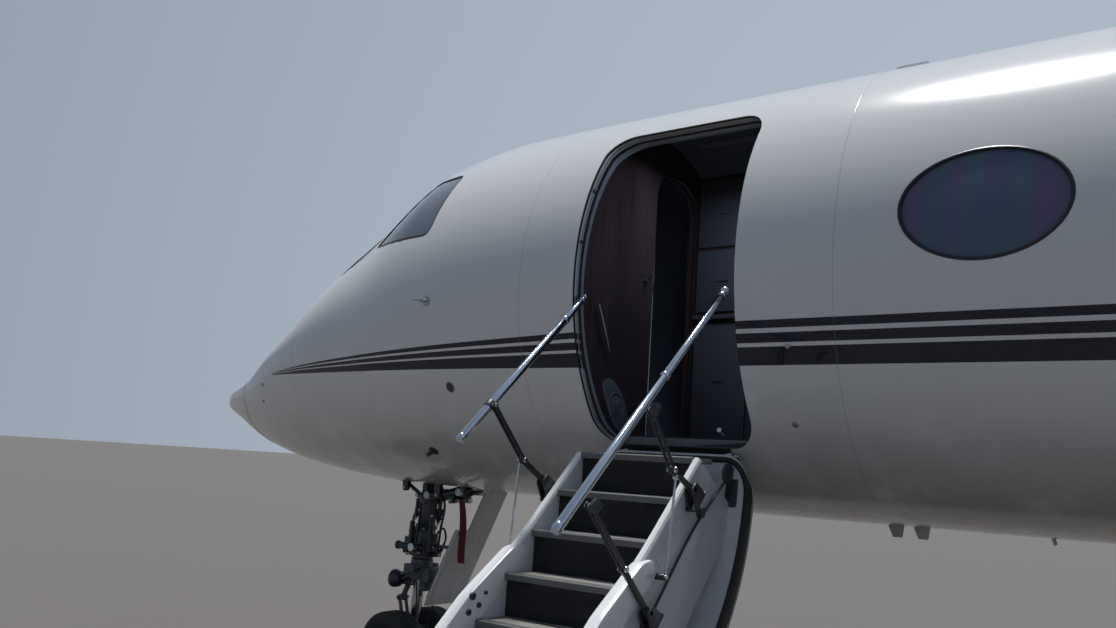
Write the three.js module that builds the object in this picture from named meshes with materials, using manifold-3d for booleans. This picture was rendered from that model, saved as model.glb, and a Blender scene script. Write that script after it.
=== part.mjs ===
// A twin-engine business jet with a T-tail, parked on its wheels with its airstair open.
// Millimetres, +Z up. Stations run aft from the nose tip along X, port is -Y, the ground is Z = 0.
// The finished group is moved so that the origin lies on the ground under the middle of the length.

import * as THREE from 'three';
import { mergeVertices } from 'three/addons/utils/BufferGeometryUtils.js';
import Module from 'manifold-3d';

const wasm = await Module();
wasm.setup();

// Driving dimensions
const LENGTH = 26920;
const AXIS_HEIGHT = 2620;
const CABIN_RADIUS = 1195;
const WALL = 60;
const SEAT_GAP = 0.3;
const RUNNING_GAP = 8;
const FLOOR_TOP = 1810;
const FLOOR_THICKNESS = 50;
const RING_SIDES = 24;

// Joints between the fuselage sections
const RADOME_END = 900;
const COCKPIT_START = 1620;
const FRONT_END = 7100;
const CABIN_END = 15000;
const TAIL_END = 24030;

// Looks
const WHITE_PAINT = { color: 0xe9ebee, roughness: 0.25, metalness: 0 };
const DARK_GLASS = { color: 0x10151d, roughness: 0.08, metalness: 0 };
const CLEAR_GLASS = { color: 0x6b7f95, roughness: 0.05, metalness: 0 };
const BARE_METAL = { color: 0xb8bcc2, roughness: 0.3, metalness: 1 };
const GEAR_METAL = { color: 0x4a4d50, roughness: 0.5, metalness: 0.8 };
const TYRE_RUBBER = { color: 0x18191b, roughness: 0.9, metalness: 0 };
const CARPET = { color: 0x1d2027, roughness: 0.95, metalness: 0 };
const DARK_WOOD = { color: 0x2b1c19, roughness: 0.2, metalness: 0 };
const DARK_TRIM = { color: 0x23262b, roughness: 0.7, metalness: 0 };
const SEAT_LEATHER = { color: 0x5b5048, roughness: 0.6, metalness: 0 };

// Solids

function solidOf(geometry) {
  const bare = geometry.clone();
  bare.deleteAttribute('normal');
  bare.deleteAttribute('uv');
  const merged = mergeVertices(bare, 1e-3);
  const vertProperties = new Float32Array(merged.attributes.position.array);
  const triVerts = new Uint32Array(merged.index.array);
  return new wasm.Manifold(new wasm.Mesh({ numProp: 3, vertProperties, triVerts }));
}

function geometryOf(solid) {
  const mesh = solid.getMesh();
  const geometry = new THREE.BufferGeometry();
  geometry.setAttribute('position', new THREE.BufferAttribute(mesh.vertProperties, 3));
  geometry.setIndex(new THREE.BufferAttribute(mesh.triVerts, 1));
  return geometry.toNonIndexed();
}

function joined(...solids) {
  return solids.reduce((whole, solid) => whole.add(solid));
}

function mirrored(solid) {
  const mesh = solid.getMesh();
  const vertProperties = mesh.vertProperties.map((value, index) => (index % 3 === 1 ? -value : value));
  const triVerts = mesh.triVerts.slice();
  for (let corner = 0; corner < triVerts.length; corner += 3) {
    [triVerts[corner + 1], triVerts[corner + 2]] = [triVerts[corner + 2], triVerts[corner + 1]];
  }
  return new wasm.Manifold(new wasm.Mesh({ numProp: 3, vertProperties, triVerts }));
}

function signedVolume(points, faces) {
  return faces.reduce((sum, [a, b, c]) => sum + points[a].dot(points[b].clone().cross(points[c])) / 6, 0);
}

// A closed solid through rings of points. A ring of one point is a tip.
function loft(rings) {
  const points = rings.flat();
  const starts = rings.map((ring, index) => rings.slice(0, index).reduce((sum, each) => sum + each.length, 0));
  const faces = [];
  for (let index = 0; index + 1 < rings.length; index += 1) {
    const [near, far] = [starts[index], starts[index + 1]];
    const [nearCount, farCount] = [rings[index].length, rings[index + 1].length];
    const count = Math.max(nearCount, farCount);
    for (let step = 0; step < count; step += 1) {
      const next = (step + 1) % count;
      if (farCount > 1) faces.push([near + (step % nearCount), far + step, far + next]);
      if (nearCount > 1) faces.push([near + step, far + (next % farCount), near + next]);
    }
  }
  for (const [ring, start, flip] of [[rings[0], starts[0], true], [rings.at(-1), starts.at(-1), false]]) {
    if (ring.length === 1) continue;
    const centre = ring.reduce((sum, point) => sum.add(point), new THREE.Vector3()).divideScalar(ring.length);
    points.push(centre);
    for (let step = 0; step < ring.length; step += 1) {
      const edge = [start + step, start + ((step + 1) % ring.length)];
      faces.push(flip ? [points.length - 1, edge[0], edge[1]] : [points.length - 1, edge[1], edge[0]]);
    }
  }
  const outward = signedVolume(points, faces) > 0;
  const geometry = new THREE.BufferGeometry().setFromPoints(points);
  geometry.setIndex(faces.flatMap(([a, b, c]) => (outward ? [a, b, c] : [a, c, b])));
  return solidOf(geometry);
}

function shapeOf(corners) {
  return new THREE.Shape(corners.map(([across, up]) => new THREE.Vector2(across, up)));
}

function roundedRect(left, low, right, high, radius) {
  const shape = new THREE.Shape();
  shape.absarc(right - radius, high - radius, radius, 0, Math.PI / 2);
  shape.absarc(left + radius, high - radius, radius, Math.PI / 2, Math.PI);
  shape.absarc(left + radius, low + radius, radius, Math.PI, 1.5 * Math.PI);
  shape.absarc(right - radius, low + radius, radius, 1.5 * Math.PI, 2 * Math.PI);
  return shape;
}

function ellipse(across, up, halfWidth, halfHeight) {
  return new THREE.Shape().absellipse(across, up, halfWidth, halfHeight, 0, 2 * Math.PI);
}

const CURVE_STEPS = 2;

function extruded(shape, depth, steps = CURVE_STEPS) {
  return new THREE.ExtrudeGeometry(shape, { depth, bevelEnabled: false, curveSegments: steps });
}

// Prisms whose outline is seen from the side (X and Z), from above (X and Y) or from ahead (Y and Z)
function sidePrism(shape, from, to, steps) {
  return solidOf(extruded(shape, to - from, steps).rotateX(Math.PI / 2).translate(0, to, 0));
}

function planPrism(shape, from, to, steps) {
  return solidOf(extruded(shape, to - from, steps).translate(0, 0, from));
}

function frontPrism(shape, from, to, steps) {
  const turn = new THREE.Matrix4().makeBasis(
    new THREE.Vector3(0, 1, 0),
    new THREE.Vector3(0, 0, 1),
    new THREE.Vector3(1, 0, 0),
  );
  return solidOf(extruded(shape, to - from, steps).applyMatrix4(turn).translate(from, 0, 0));
}

function block(low, high) {
  const size = low.map((value, axis) => high[axis] - value);
  const centre = low.map((value, axis) => (high[axis] + value) / 2);
  return solidOf(new THREE.BoxGeometry(...size).translate(...centre));
}

// A round bar between two points, tapered where the two radii differ
function bar(from, to, radius, endRadius = radius, sides = 8) {
  const [start, end] = [new THREE.Vector3(...from), new THREE.Vector3(...to)];
  const along = end.clone().sub(start);
  const turn = new THREE.Quaternion().setFromUnitVectors(new THREE.Vector3(0, 1, 0), along.clone().normalize());
  const middle = start.clone().add(end).divideScalar(2);
  const geometry = new THREE.CylinderGeometry(endRadius, radius, along.length(), sides);
  return solidOf(geometry.applyQuaternion(turn).translate(middle.x, middle.y, middle.z));
}

// A solid of revolution about the X axis from [station, radius] pairs that start and end on the axis,
// or close on themselves
function turned(profile, sides) {
  const points = profile.map(([station, radius]) => new THREE.Vector2(radius, station));
  return solidOf(new THREE.LatheGeometry(points, sides).rotateZ(-Math.PI / 2));
}

function closed(profile) {
  return [...profile, profile[0]];
}

// The same, about the Y axis
function turnedAcross(profile, sides) {
  const points = profile.map(([offset, radius]) => new THREE.Vector2(radius, offset));
  return solidOf(new THREE.LatheGeometry(points, sides));
}

function moved(solid, x, y, z) {
  return solid.translate([x, y, z]);
}

// Fuselage. Heights are from the centreline of the cabin.
const FUSELAGE = [
  { at: 0, crown: -615, keel: -615, half: 0, widest: -615 },
  { at: 120, crown: -530, keel: -690, half: 110, widest: -602 },
  { at: 400, crown: -475, keel: -775, half: 295, widest: -566 },
  { at: 900, crown: -350, keel: -974, half: 523, widest: -520 },
  { at: 1500, crown: -16, keel: -1099, half: 763, widest: -346 },
  { at: 2100, crown: 478, keel: -1158, half: 929, widest: -245 },
  { at: 2600, crown: 795, keel: -1186, half: 1021, widest: -205 },
  { at: 3100, crown: 1107, keel: -1192, half: 1108, widest: -130 },
  { at: 3700, crown: 1189, keel: -1195, half: 1168, widest: -62 },
  { at: 4400, crown: 1195, keel: -1195, half: 1190, widest: -15 },
  { at: 5200, crown: 1195, keel: -1195, half: 1195, widest: 0 },
  { at: 15000, crown: 1195, keel: -1195, half: 1195, widest: 0 },
  { at: 17000, crown: 1195, keel: -1150, half: 1180, widest: 20 },
  { at: 18500, crown: 1190, keel: -1010, half: 1120, widest: 80 },
  { at: 20000, crown: 1170, keel: -760, half: 980, widest: 180 },
  { at: 21500, crown: 1120, keel: -420, half: 760, widest: 330 },
  { at: 22800, crown: 1030, keel: -60, half: 500, widest: 480 },
  { at: 23700, crown: 900, keel: 260, half: 270, widest: 580 },
  { at: 24030, crown: 760, keel: 460, half: 130, widest: 610 },
];

// A smooth curve through one column of the table that adds no bumps of its own.
// It runs on the square root of the station, which makes the nose tip round.
function columnCurve(column) {
  const roots = FUSELAGE.map((row) => Math.sqrt(row.at));
  const values = FUSELAGE.map((row) => row[column]);
  const slopes = values.slice(1).map((value, index) => (value - values[index]) / (roots[index + 1] - roots[index]));
  const tangents = values.map((value, index) => {
    if (index === 0) return slopes[0];
    if (index === values.length - 1) return slopes.at(-1);
    const [before, after] = [slopes[index - 1], slopes[index]];
    return before * after <= 0 ? 0 : (2 * before * after) / (before + after);
  });
  return (station) => {
    const root = Math.sqrt(station);
    const index = Math.min(Math.max(roots.findIndex((value) => value > root) - 1, 0), roots.length - 2);
    const last = root >= roots.at(-1) ? roots.length - 2 : index;
    const span = roots[last + 1] - roots[last];
    const t = (root - roots[last]) / span;
    const [t2, t3] = [t * t, t * t * t];
    return (2 * t3 - 3 * t2 + 1) * values[last] + (t3 - 2 * t2 + t) * span * tangents[last]
      + (3 * t2 - 2 * t3) * values[last + 1] + (t3 - t2) * span * tangents[last + 1];
  };
}

const crownAt = columnCurve('crown');
const keelAt = columnCurve('keel');
const halfAt = columnCurve('half');
const widestAt = columnCurve('widest');

function fuselageRing(station, inset) {
  const half = halfAt(station) - inset;
  if (half <= 0) return [new THREE.Vector3(station, 0, AXIS_HEIGHT + widestAt(station))];
  const widest = widestAt(station);
  const upper = crownAt(station) - inset - widest;
  const lower = widest - keelAt(station) - inset;
  return Array.from({ length: RING_SIDES }, (unused, index) => {
    const angle = (2 * Math.PI * index) / RING_SIDES;
    const height = widest + Math.sin(angle) * (Math.sin(angle) > 0 ? upper : lower);
    return new THREE.Vector3(station, half * Math.cos(angle), AXIS_HEIGHT + height);
  });
}

function fuselageSolid(stations, inset = 0) {
  return loft(stations.map((station) => fuselageRing(station, inset)));
}

const NOSE_STATIONS = [0, 15, 80, 230, 500, RADOME_END];
const FRONT_STATIONS = [RADOME_END, 1300, 1700, 2100, 2600, 3100, 3700, 4400, 5200, FRONT_END];
const TAIL_STATIONS = [CABIN_END, 17000, 18500, 20000, 21500, 22800, 23700, TAIL_END];
const CAVITY_STATIONS = [COCKPIT_START, 2100, 2600, 3100, 3700, 4400, 5200, CABIN_END + 100];

// Doorway on the port side. The clear opening is a little larger than the door that fills it.
const DOOR = { front: 4543, aft: 5457, low: -860, high: 830, radius: 140, seam: 12 };
const DOOR_CENTRE = (DOOR.front + DOOR.aft) / 2;

function doorOutline(shrink) {
  return roundedRect(
    DOOR.front + shrink,
    AXIS_HEIGHT + DOOR.low + shrink,
    DOOR.aft - shrink,
    AXIS_HEIGHT + DOOR.high - shrink,
    DOOR.radius - shrink,
  );
}

const OUTSIDE = 2000;

// Cabin windows
const WINDOW = { first: 6517, pitch: 1270, count: 6, height: AXIS_HEIGHT + 153, halfWidth: 330, halfHeight: 241 };
const WINDOW_STEPS = 6;
const GLASS_INSET = 12;
const LINER_THICKNESS = 15;
const windowStations = Array.from({ length: WINDOW.count }, (unused, index) => WINDOW.first + index * WINDOW.pitch);

function windowPrisms(shrink) {
  const prisms = windowStations.map((station) => {
    const shape = ellipse(station, WINDOW.height, WINDOW.halfWidth - shrink, WINDOW.halfHeight - shrink);
    return sidePrism(shape, -OUTSIDE, -CABIN_RADIUS / 2, WINDOW_STEPS);
  });
  return joined(...prisms);
}

// Cockpit glazing. The front panes are outlined from ahead, the side panes from the side.
const FRONT_PANE = [[45, 130], [45, 850], [480, 800], [660, 180]];
const FRONT_PANE_END = 2700;
const SIDE_PANES = [
  [[2200, 220], [2590, 345], [2930, 810], [2860, 780]],
  [[2665, 366], [3345, 352], [3365, 820], [3010, 840]],
];
const SIDE_LINER = [[2560, 330], [2900, 385], [3080, 700], [2870, 700]];
const FRONT_LINER = [[-140, 170], [140, 170], [140, 780], [-140, 780]];

function aboveAxis(corners) {
  return corners.map(([across, up]) => [across, AXIS_HEIGHT + up]);
}

function shrunk(corners, amount) {
  const centre = [0, 1].map((axis) => corners.reduce((sum, corner) => sum + corner[axis], 0) / corners.length);
  return corners.map((corner) => {
    const away = corner.map((value, axis) => value - centre[axis]);
    const scale = 1 - (2 * amount) / Math.hypot(...away);
    return away.map((value, axis) => centre[axis] + value * scale);
  });
}

function frontPanePrism(shrink) {
  return frontPrism(shapeOf(aboveAxis(shrunk(FRONT_PANE, shrink))), RADOME_END, FRONT_PANE_END - shrink);
}

function sidePanePrism(corners, shrink) {
  return sidePrism(shapeOf(aboveAxis(shrunk(corners, shrink))), -OUTSIDE, -300);
}

const outerSkin = fuselageSolid([...NOSE_STATIONS.slice(0, -1), ...FRONT_STATIONS, ...TAIL_STATIONS]);
const seatedSkin = fuselageSolid([...NOSE_STATIONS.slice(0, -1), ...FRONT_STATIONS, ...TAIL_STATIONS], -SEAT_GAP);
const cavity = fuselageSolid(CAVITY_STATIONS, WALL);
const fittedCavity = fuselageSolid(CAVITY_STATIONS, WALL + SEAT_GAP);

// Nose wheel bay: a pocket in the belly that the leg stands in
const BAY = { front: 2330, aft: 3150, half: 185 };
const bayPocket = block(
  [BAY.front, -BAY.half, 1200],
  [BAY.aft, BAY.half, FLOOR_TOP - FLOOR_THICKNESS],
);

// Airstair hinge, just outside the skin under the sill
const HINGE = { y: -820, z: 1720 };
const OPEN_ANGLE = THREE.MathUtils.degToRad(136);
const HINGE_LUGS = [-300, 300];
const LUG_HALF = 15;
const LUG_CLEARANCE = 6;

function fuselageFront() {
  const shell = fuselageSolid(FRONT_STATIONS).subtract(fuselageSolid(CAVITY_STATIONS, WALL));
  const side = joined(...SIDE_PANES.map((corners) => sidePanePrism(corners, 0)));
  const front = frontPanePrism(0);
  const doorway = sidePrism(doorOutline(0), -OUTSIDE, -CABIN_RADIUS / 2);
  const lugs = HINGE_LUGS.map((offset) => {
    const x = DOOR_CENTRE + offset;
    return joined(
      bar([x - LUG_HALF, HINGE.y, HINGE.z], [x + LUG_HALF, HINGE.y, HINGE.z], 16),
      block([x - LUG_HALF, HINGE.y, HINGE.z - 16], [x + LUG_HALF, HINGE.y + 60, HINGE.z + 10]),
    ).subtract(cavity);
  });
  const openings = joined(side, mirrored(side), front, mirrored(front), doorway, windowPrisms(0),
    mirrored(windowPrisms(0)), bayPocket);
  return joined(shell.subtract(openings), ...lugs);
}

function sideLiner(grown) {
  return sidePrism(shapeOf(aboveAxis(shrunk(SIDE_LINER, -grown))), -OUTSIDE, -300);
}

// The two front panes, joined by a strip inside the post between them, and cut to clear the side windows
function windshield() {
  const panes = joined(frontPanePrism(SEAT_GAP), mirrored(frontPanePrism(SEAT_GAP)));
  const strip = frontPrism(shapeOf(aboveAxis(FRONT_LINER)), RADOME_END, 3400);
  const beside = joined(...SIDE_PANES.map((corners) => sidePanePrism(corners, 0)), sideLiner(SEAT_GAP));
  return joined(
    panes.intersect(fuselageSolid(FRONT_STATIONS, 6)),
    strip.intersect(fuselageSolid(CAVITY_STATIONS, WALL + SEAT_GAP)),
  ).subtract(joined(fuselageSolid(CAVITY_STATIONS, WALL + LINER_THICKNESS), beside, mirrored(beside)));
}

function sideWindow() {
  const panes = joined(...SIDE_PANES.map((corners) => sidePanePrism(corners, SEAT_GAP)));
  return joined(
    panes.intersect(fuselageSolid(FRONT_STATIONS, 6)),
    sideLiner(0).intersect(fuselageSolid(CAVITY_STATIONS, WALL + SEAT_GAP)),
  ).subtract(fuselageSolid(CAVITY_STATIONS, WALL + LINER_THICKNESS));
}

function cabinWindows() {
  const reach = WINDOW.halfWidth + 60;
  const ends = [windowStations[0] - reach, windowStations.at(-1) + reach];
  const belt = sidePrism(roundedRect(ends[0], WINDOW.height - 290, ends[1], WINDOW.height + 290, 200),
    -OUTSIDE, -CABIN_RADIUS / 2);
  return joined(
    windowPrisms(SEAT_GAP).intersect(fuselageSolid(ends, GLASS_INSET)),
    belt.intersect(fuselageSolid(ends, WALL + SEAT_GAP)),
  ).subtract(fuselageSolid([ends[0] - 50, ends[1] + 50], WALL + LINER_THICKNESS));
}

// Interior: floor, bulkheads, cabinet, panel and crew seats
const AISLE_HALF = 260;
const SILL_EDGE = -745;

function cabinFloor() {
  const slab = block([COCKPIT_START + 120, -CABIN_RADIUS, FLOOR_TOP - FLOOR_THICKNESS],
    [CABIN_END - 200, CABIN_RADIUS, FLOOR_TOP]);
  const doorEdge = block([DOOR.front - 5, -CABIN_RADIUS, FLOOR_TOP - FLOOR_THICKNESS - 10],
    [DOOR.aft + 5, SILL_EDGE, FLOOR_TOP + 10]);
  return slab.intersect(fittedCavity).subtract(doorEdge);
}

const ENTRY_WALLS = [4330, 5560];
const ENTRY_WALL_THICKNESS = 40;
const CABINET_FACE = 470;

// The two cross walls of the entry and the cabinet that joins them opposite the door
function entryFurniture() {
  const high = AXIS_HEIGHT + CABIN_RADIUS;
  const walls = ENTRY_WALLS.map((station) => {
    const aft = station + ENTRY_WALL_THICKNESS;
    const wall = block([station, -CABIN_RADIUS, FLOOR_TOP + SEAT_GAP], [aft, CABIN_RADIUS, high]);
    const passage = block([station - 10, -AISLE_HALF, FLOOR_TOP - 10], [aft + 10, AISLE_HALF, FLOOR_TOP + 1720]);
    return wall.subtract(passage);
  });
  const cabinet = block([ENTRY_WALLS[0] + 10, CABINET_FACE, FLOOR_TOP + SEAT_GAP],
    [ENTRY_WALLS[1] + 10, CABIN_RADIUS, high]);
  return joined(cabinet, ...walls).intersect(fittedCavity);
}

function instrumentPanel() {
  const shape = shapeOf([[2130, FLOOR_TOP + SEAT_GAP], [2560, FLOOR_TOP + SEAT_GAP], [2620, 2480], [2520, 2760],
    [2250, 2760], [2130, 2500]]);
  const console = block([2500, -130, FLOOR_TOP + SEAT_GAP], [3350, 130, FLOOR_TOP + 480]);
  return joined(sidePrism(shape, -CABIN_RADIUS, CABIN_RADIUS), console).intersect(fittedCavity);
}

function crewSeat() {
  const profile = shapeOf([[3120, 2150], [3150, 2290], [3600, 2270], [3740, 2980], [3800, 3100], [3880, 3080],
    [3870, 2940], [3740, 2150]]);
  const cushion = sidePrism(profile, -690, -230);
  const pedestal = block([3280, -560, FLOOR_TOP + SEAT_GAP], [3620, -360, 2160]);
  return joined(cushion, pedestal).intersect(fittedCavity);
}

// Fairing under the wing joint. The flat flanks carry the wing roots.
const FAIRING_HALF = 1300;
const FAIRING = [
  { at: 7500, half: 700, low: 1560, shoulder: 1700, top: 1900 },
  { at: 8400, half: 1030, low: 1330, shoulder: 1760, top: 2250 },
  { at: 9650, half: FAIRING_HALF, low: 1225, shoulder: 1985, top: 2500 },
  { at: 15300, half: FAIRING_HALF, low: 1225, shoulder: 1985, top: 2500 },
  { at: 16200, half: 1080, low: 1340, shoulder: 1850, top: 2350 },
  { at: 17100, half: 760, low: 1600, shoulder: 1760, top: 2000 },
];

function fairingRing({ at, half, low, shoulder, top }) {
  const bend = Math.min(240, half / 3);
  const side = [[0, low], [half - 2 * bend, low + 10], [half - bend, low + 45], [half - 0.3 * bend, low + 0.35 * bend],
    [half, Math.min(low + bend, shoulder - 20)], [half, shoulder], [half * 0.84, top]];
  const other = side.slice(1).reverse().map(([y, z]) => [-y, z]);
  return [...side, ...other].map(([y, z]) => new THREE.Vector3(at, y, z));
}

function bellyFairing() {
  return loft(FAIRING.map(fairingRing)).subtract(seatedSkin);
}

// Aerofoil sections. Each row gives the section's place, leading edge, chord, thickness ratio and cant.
const DIHEDRAL = Math.tan(THREE.MathUtils.degToRad(3));
const WING_PLANE = 1620;
const SWEEP_FRONT = 0.6147;
const SWEEP_BACK = 0.2533;
const WING_ROOT = { front: 8950, back: 14890 };

function wingRow(y, ratio) {
  const le = WING_ROOT.front + SWEEP_FRONT * y;
  return { y, z: WING_PLANE + DIHEDRAL * y, le, chord: WING_ROOT.back + SWEEP_BACK * y - le, ratio, cant: 0 };
}

const WING_START = FAIRING_HALF + SEAT_GAP;
const WING = [
  wingRow(WING_START, 0.1),
  wingRow(6300, 0.093),
  wingRow(11250, 0.086),
  { y: 11500, z: 2250, le: 16100, chord: 1690, ratio: 0.086, cant: 25 },
  { y: 11640, z: 2370, le: 16290, chord: 1520, ratio: 0.086, cant: 60 },
  { y: 11735, z: 2620, le: 16560, chord: 1330, ratio: 0.08, cant: 79 },
  { y: 11860 - 22, z: 3720, le: 17560, chord: 690, ratio: 0.07, cant: 82 },
];

const CHORD_STEPS = [1, 0.8, 0.58, 0.36, 0.18, 0.06, 0.012];

function halfThickness(x, ratio) {
  const curve = 0.2969 * Math.sqrt(x) - 0.126 * x - 0.3516 * x ** 2 + 0.2843 * x ** 3 - 0.1015 * x ** 4;
  return 5 * ratio * curve;
}

// The section's loop: over the top from the trailing edge, round the nose and back below
function aerofoilLoop(chord, ratio) {
  const top = CHORD_STEPS.map((x) => [x * chord, halfThickness(x, ratio) * chord]);
  const bottom = top.map(([x, up]) => [x, -up]).reverse();
  return [...top, [0, 0], ...bottom];
}

function wingRing({ y, z, le, chord, ratio, cant }) {
  const angle = THREE.MathUtils.degToRad(cant);
  return aerofoilLoop(chord, ratio).map(([x, up]) => (
    new THREE.Vector3(le + x, y - up * Math.sin(angle), z + up * Math.cos(angle))
  ));
}

function finRing({ z, le, chord, ratio }) {
  return aerofoilLoop(chord, ratio).map(([x, side]) => new THREE.Vector3(le + x, side, z));
}

// A control surface cut out of its host. The nose is a round bar on the hinge line, in a matching cove.
// line: the two hinge points; radii: the bar's radii there; ends: directions in which the end cuts run aft;
// gaps: clearances at the two ends; prism: which view the cuts are drawn in.
// pin: radius of the two pins that meet end to end in the first gap, one on the host and one on the surface.
const SURFACE_REACH = 2500;
const PIN_DEPTH = 60;

function hingedSurface(host, { line, radii, ends, gaps, view, pin }) {
  const [first, second] = line.map((point) => new THREE.Vector3(...point));
  const along = second.clone().sub(first).normalize();
  const flat = (point) => (view === 'plan' ? [point.x, point.y] : [point.x, point.z]);
  const prism = (corners) => {
    const shape = shapeOf(corners);
    return view === 'plan' ? planPrism(shape, -500, 9000) : sidePrism(shape, -2000, 2000);
  };
  const corner = (point, direction, distance) => {
    const [across, up] = flat(point);
    return [across + direction[0] * distance, up + direction[1] * distance];
  };
  const outline = (from, to, ahead) => prism([
    corner(from, ends[0], -ahead),
    corner(to, ends[1], -ahead),
    corner(to, ends[1], SURFACE_REACH),
    corner(from, ends[0], SURFACE_REACH),
  ]);
  const stretch = 400;
  const slope = (radii[1] - radii[0]) / second.distanceTo(first);
  const nose = (extra) => bar(
    first.clone().addScaledVector(along, -stretch).toArray(),
    second.clone().addScaledVector(along, stretch).toArray(),
    radii[0] - slope * stretch + extra,
    radii[1] + slope * stretch + extra,
    16,
  );
  const wideFirst = first.clone().addScaledVector(along, -gaps[0]);
  const wideSecond = second.clone().addScaledVector(along, gaps[1]);
  const noseClip = 400;
  let surface = joined(
    host.intersect(outline(first, second, 0)),
    nose(0).intersect(outline(first, second, noseClip)),
  );
  const pinFrom = (start, end) => bar(
    first.clone().addScaledVector(along, start).toArray(),
    first.clone().addScaledVector(along, end).toArray(),
    pin,
  );
  const middle = -gaps[0] / 2;
  surface = joined(surface, pinFrom(middle + SEAT_GAP, PIN_DEPTH));
  const recess = joined(
    outline(wideFirst, wideSecond, 0),
    nose(RUNNING_GAP).intersect(outline(wideFirst, wideSecond, noseClip)),
  );
  const hostPin = pinFrom(middle - gaps[0] / 2 - PIN_DEPTH, middle - SEAT_GAP);
  return { surface, host: joined(host.subtract(recess), hostPin) };
}

function planDirection(line) {
  const [from, to] = line;
  const [dx, dy] = [to[0] - from[0], to[1] - from[1]];
  const length = Math.hypot(dx, dy);
  return [dy / length, -dx / length];
}

function wingPoint(station, y) {
  return [station, y, WING_PLANE + DIHEDRAL * y];
}

// Half thickness of the wing at a point of its plan
function wingHalfThickness(station, y) {
  const { le, chord } = wingRow(y, 0);
  const ratio = THREE.MathUtils.mapLinear(y, WING_START, 11250, 0.1, 0.086);
  return halfThickness((station - le) / chord, ratio) * chord;
}

const AILERON_LINE = [wingPoint(16240, 8150), wingPoint(17150, 10850)];
const FLAP_LINE = [wingPoint(14390, 1620), wingPoint(16090, 7880)];
const FLAP_DROP = 250;
const FLAP_BRACKETS = [0.22, 0.78];
const FLAP_GAP = 12;
const BRACKET_HEAD = 60;

function aileronCut(wing) {
  const ends = planDirection(AILERON_LINE);
  const radii = AILERON_LINE.map(([station, y]) => wingHalfThickness(station, y) * 0.98);
  return hingedSurface(wing, {
    line: AILERON_LINE,
    radii,
    ends: [ends, ends],
    gaps: [RUNNING_GAP, RUNNING_GAP],
    view: 'plan',
    pin: 16,
  });
}

// The flap swings about pivots that hang below its nose, one bracket pair at each station
function flapCut(wing) {
  const aft = planDirection(FLAP_LINE);
  const [first, second] = FLAP_LINE.map((point) => new THREE.Vector3(...point));
  const along = second.clone().sub(first).normalize();
  const back = new THREE.Vector3(aft[0], aft[1], 0);
  const inward = along.clone().negate();
  const upright = inward.clone().cross(back);
  const outline = (gap) => planPrism(shapeOf([
    first.clone().addScaledVector(along, -gap).addScaledVector(back, -gap),
    second.clone().addScaledVector(along, gap).addScaledVector(back, -gap),
    second.clone().addScaledVector(along, gap).addScaledVector(back, SURFACE_REACH),
    first.clone().addScaledVector(along, -gap).addScaledVector(back, SURFACE_REACH),
  ].map((point) => [point.x, point.y])), -500, 9000);
  let flap = wing.intersect(outline(0));
  let rest = wing.subtract(outline(FLAP_GAP));
  for (const share of FLAP_BRACKETS) {
    const top = first.clone().lerp(second, share);
    const pivot = top.clone().add(new THREE.Vector3(0, 0, -FLAP_DROP));
    const plate = (offset, half, corners) => {
      const centre = pivot.clone().addScaledVector(along, offset);
      const geometry = extruded(shapeOf(corners), 2 * half).translate(0, 0, -half);
      const turn = new THREE.Matrix4().makeBasis(back, upright, inward);
      return solidOf(geometry.applyMatrix4(turn).translate(centre.x, centre.y, centre.z));
    };
    const inboard = plate(-29, 22, [[-620, 190], [-560, 90], [-120, -30], [30, -40], [45, 0], [30, 40], [-60, 330],
      [-600, 330]]);
    const outboard = plate(23, 20, [[-40, 0], [-28, -28], [0, -40], [28, -28], [250, 120], [420, 215], [300, 240],
      [14, 200]]);
    const boss = bar(
      pivot.clone().addScaledVector(along, 6).toArray(),
      pivot.clone().addScaledVector(along, -7 + SEAT_GAP).toArray(),
      26,
    );
    flap = joined(flap, outboard, boss);
    const clearOfFlap = outline(FLAP_GAP).trimByPlane([0, 0, 1], pivot.z + BRACKET_HEAD);
    rest = joined(rest, inboard.subtract(clearOfFlap));
  }
  return { surface: flap, host: rest };
}

// Fin, rudder, tailplane and elevators
const FIN = [
  { z: 3500, le: 17000, chord: 6320, ratio: 0.075 },
  { z: 3990, le: 18700, chord: 4750, ratio: 0.1 },
  { z: 7120, le: 22480, chord: 2880, ratio: 0.1 },
];
const RUDDER_LINE = [[22180, 0, 3830], [24560, 0, 6990]];
const RUDDER_GAPS = [44, 60];

function finHalfThickness(station, z) {
  const share = (z - FIN[1].z) / (FIN[2].z - FIN[1].z);
  const le = THREE.MathUtils.lerp(FIN[1].le, FIN[2].le, share);
  const chord = THREE.MathUtils.lerp(FIN[1].chord, FIN[2].chord, share);
  return halfThickness((station - le) / chord, FIN[1].ratio) * chord;
}

const TAILPLANE_HEIGHT = 7270;
const TAILPLANE = [
  { y: 0, z: TAILPLANE_HEIGHT, le: 22900, chord: 2740, ratio: 0.09, cant: 0 },
  { y: 4700, z: TAILPLANE_HEIGHT, le: 25560, chord: 1270, ratio: 0.09, cant: 0 },
  { y: 4875, z: TAILPLANE_HEIGHT, le: 25960, chord: LENGTH - 25960, ratio: 0.06, cant: 0 },
];
const ELEVATOR_LINE = [[24880, 330, TAILPLANE_HEIGHT], [26480, 4560, TAILPLANE_HEIGHT]];
const ELEVATOR_GAPS = [16, 16];

function tailplaneHalfThickness(station, y) {
  const share = y / TAILPLANE[1].y;
  const le = THREE.MathUtils.lerp(TAILPLANE[0].le, TAILPLANE[1].le, share);
  const chord = THREE.MathUtils.lerp(TAILPLANE[0].chord, TAILPLANE[1].chord, share);
  return halfThickness((station - le) / chord, TAILPLANE[0].ratio) * chord;
}

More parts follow.
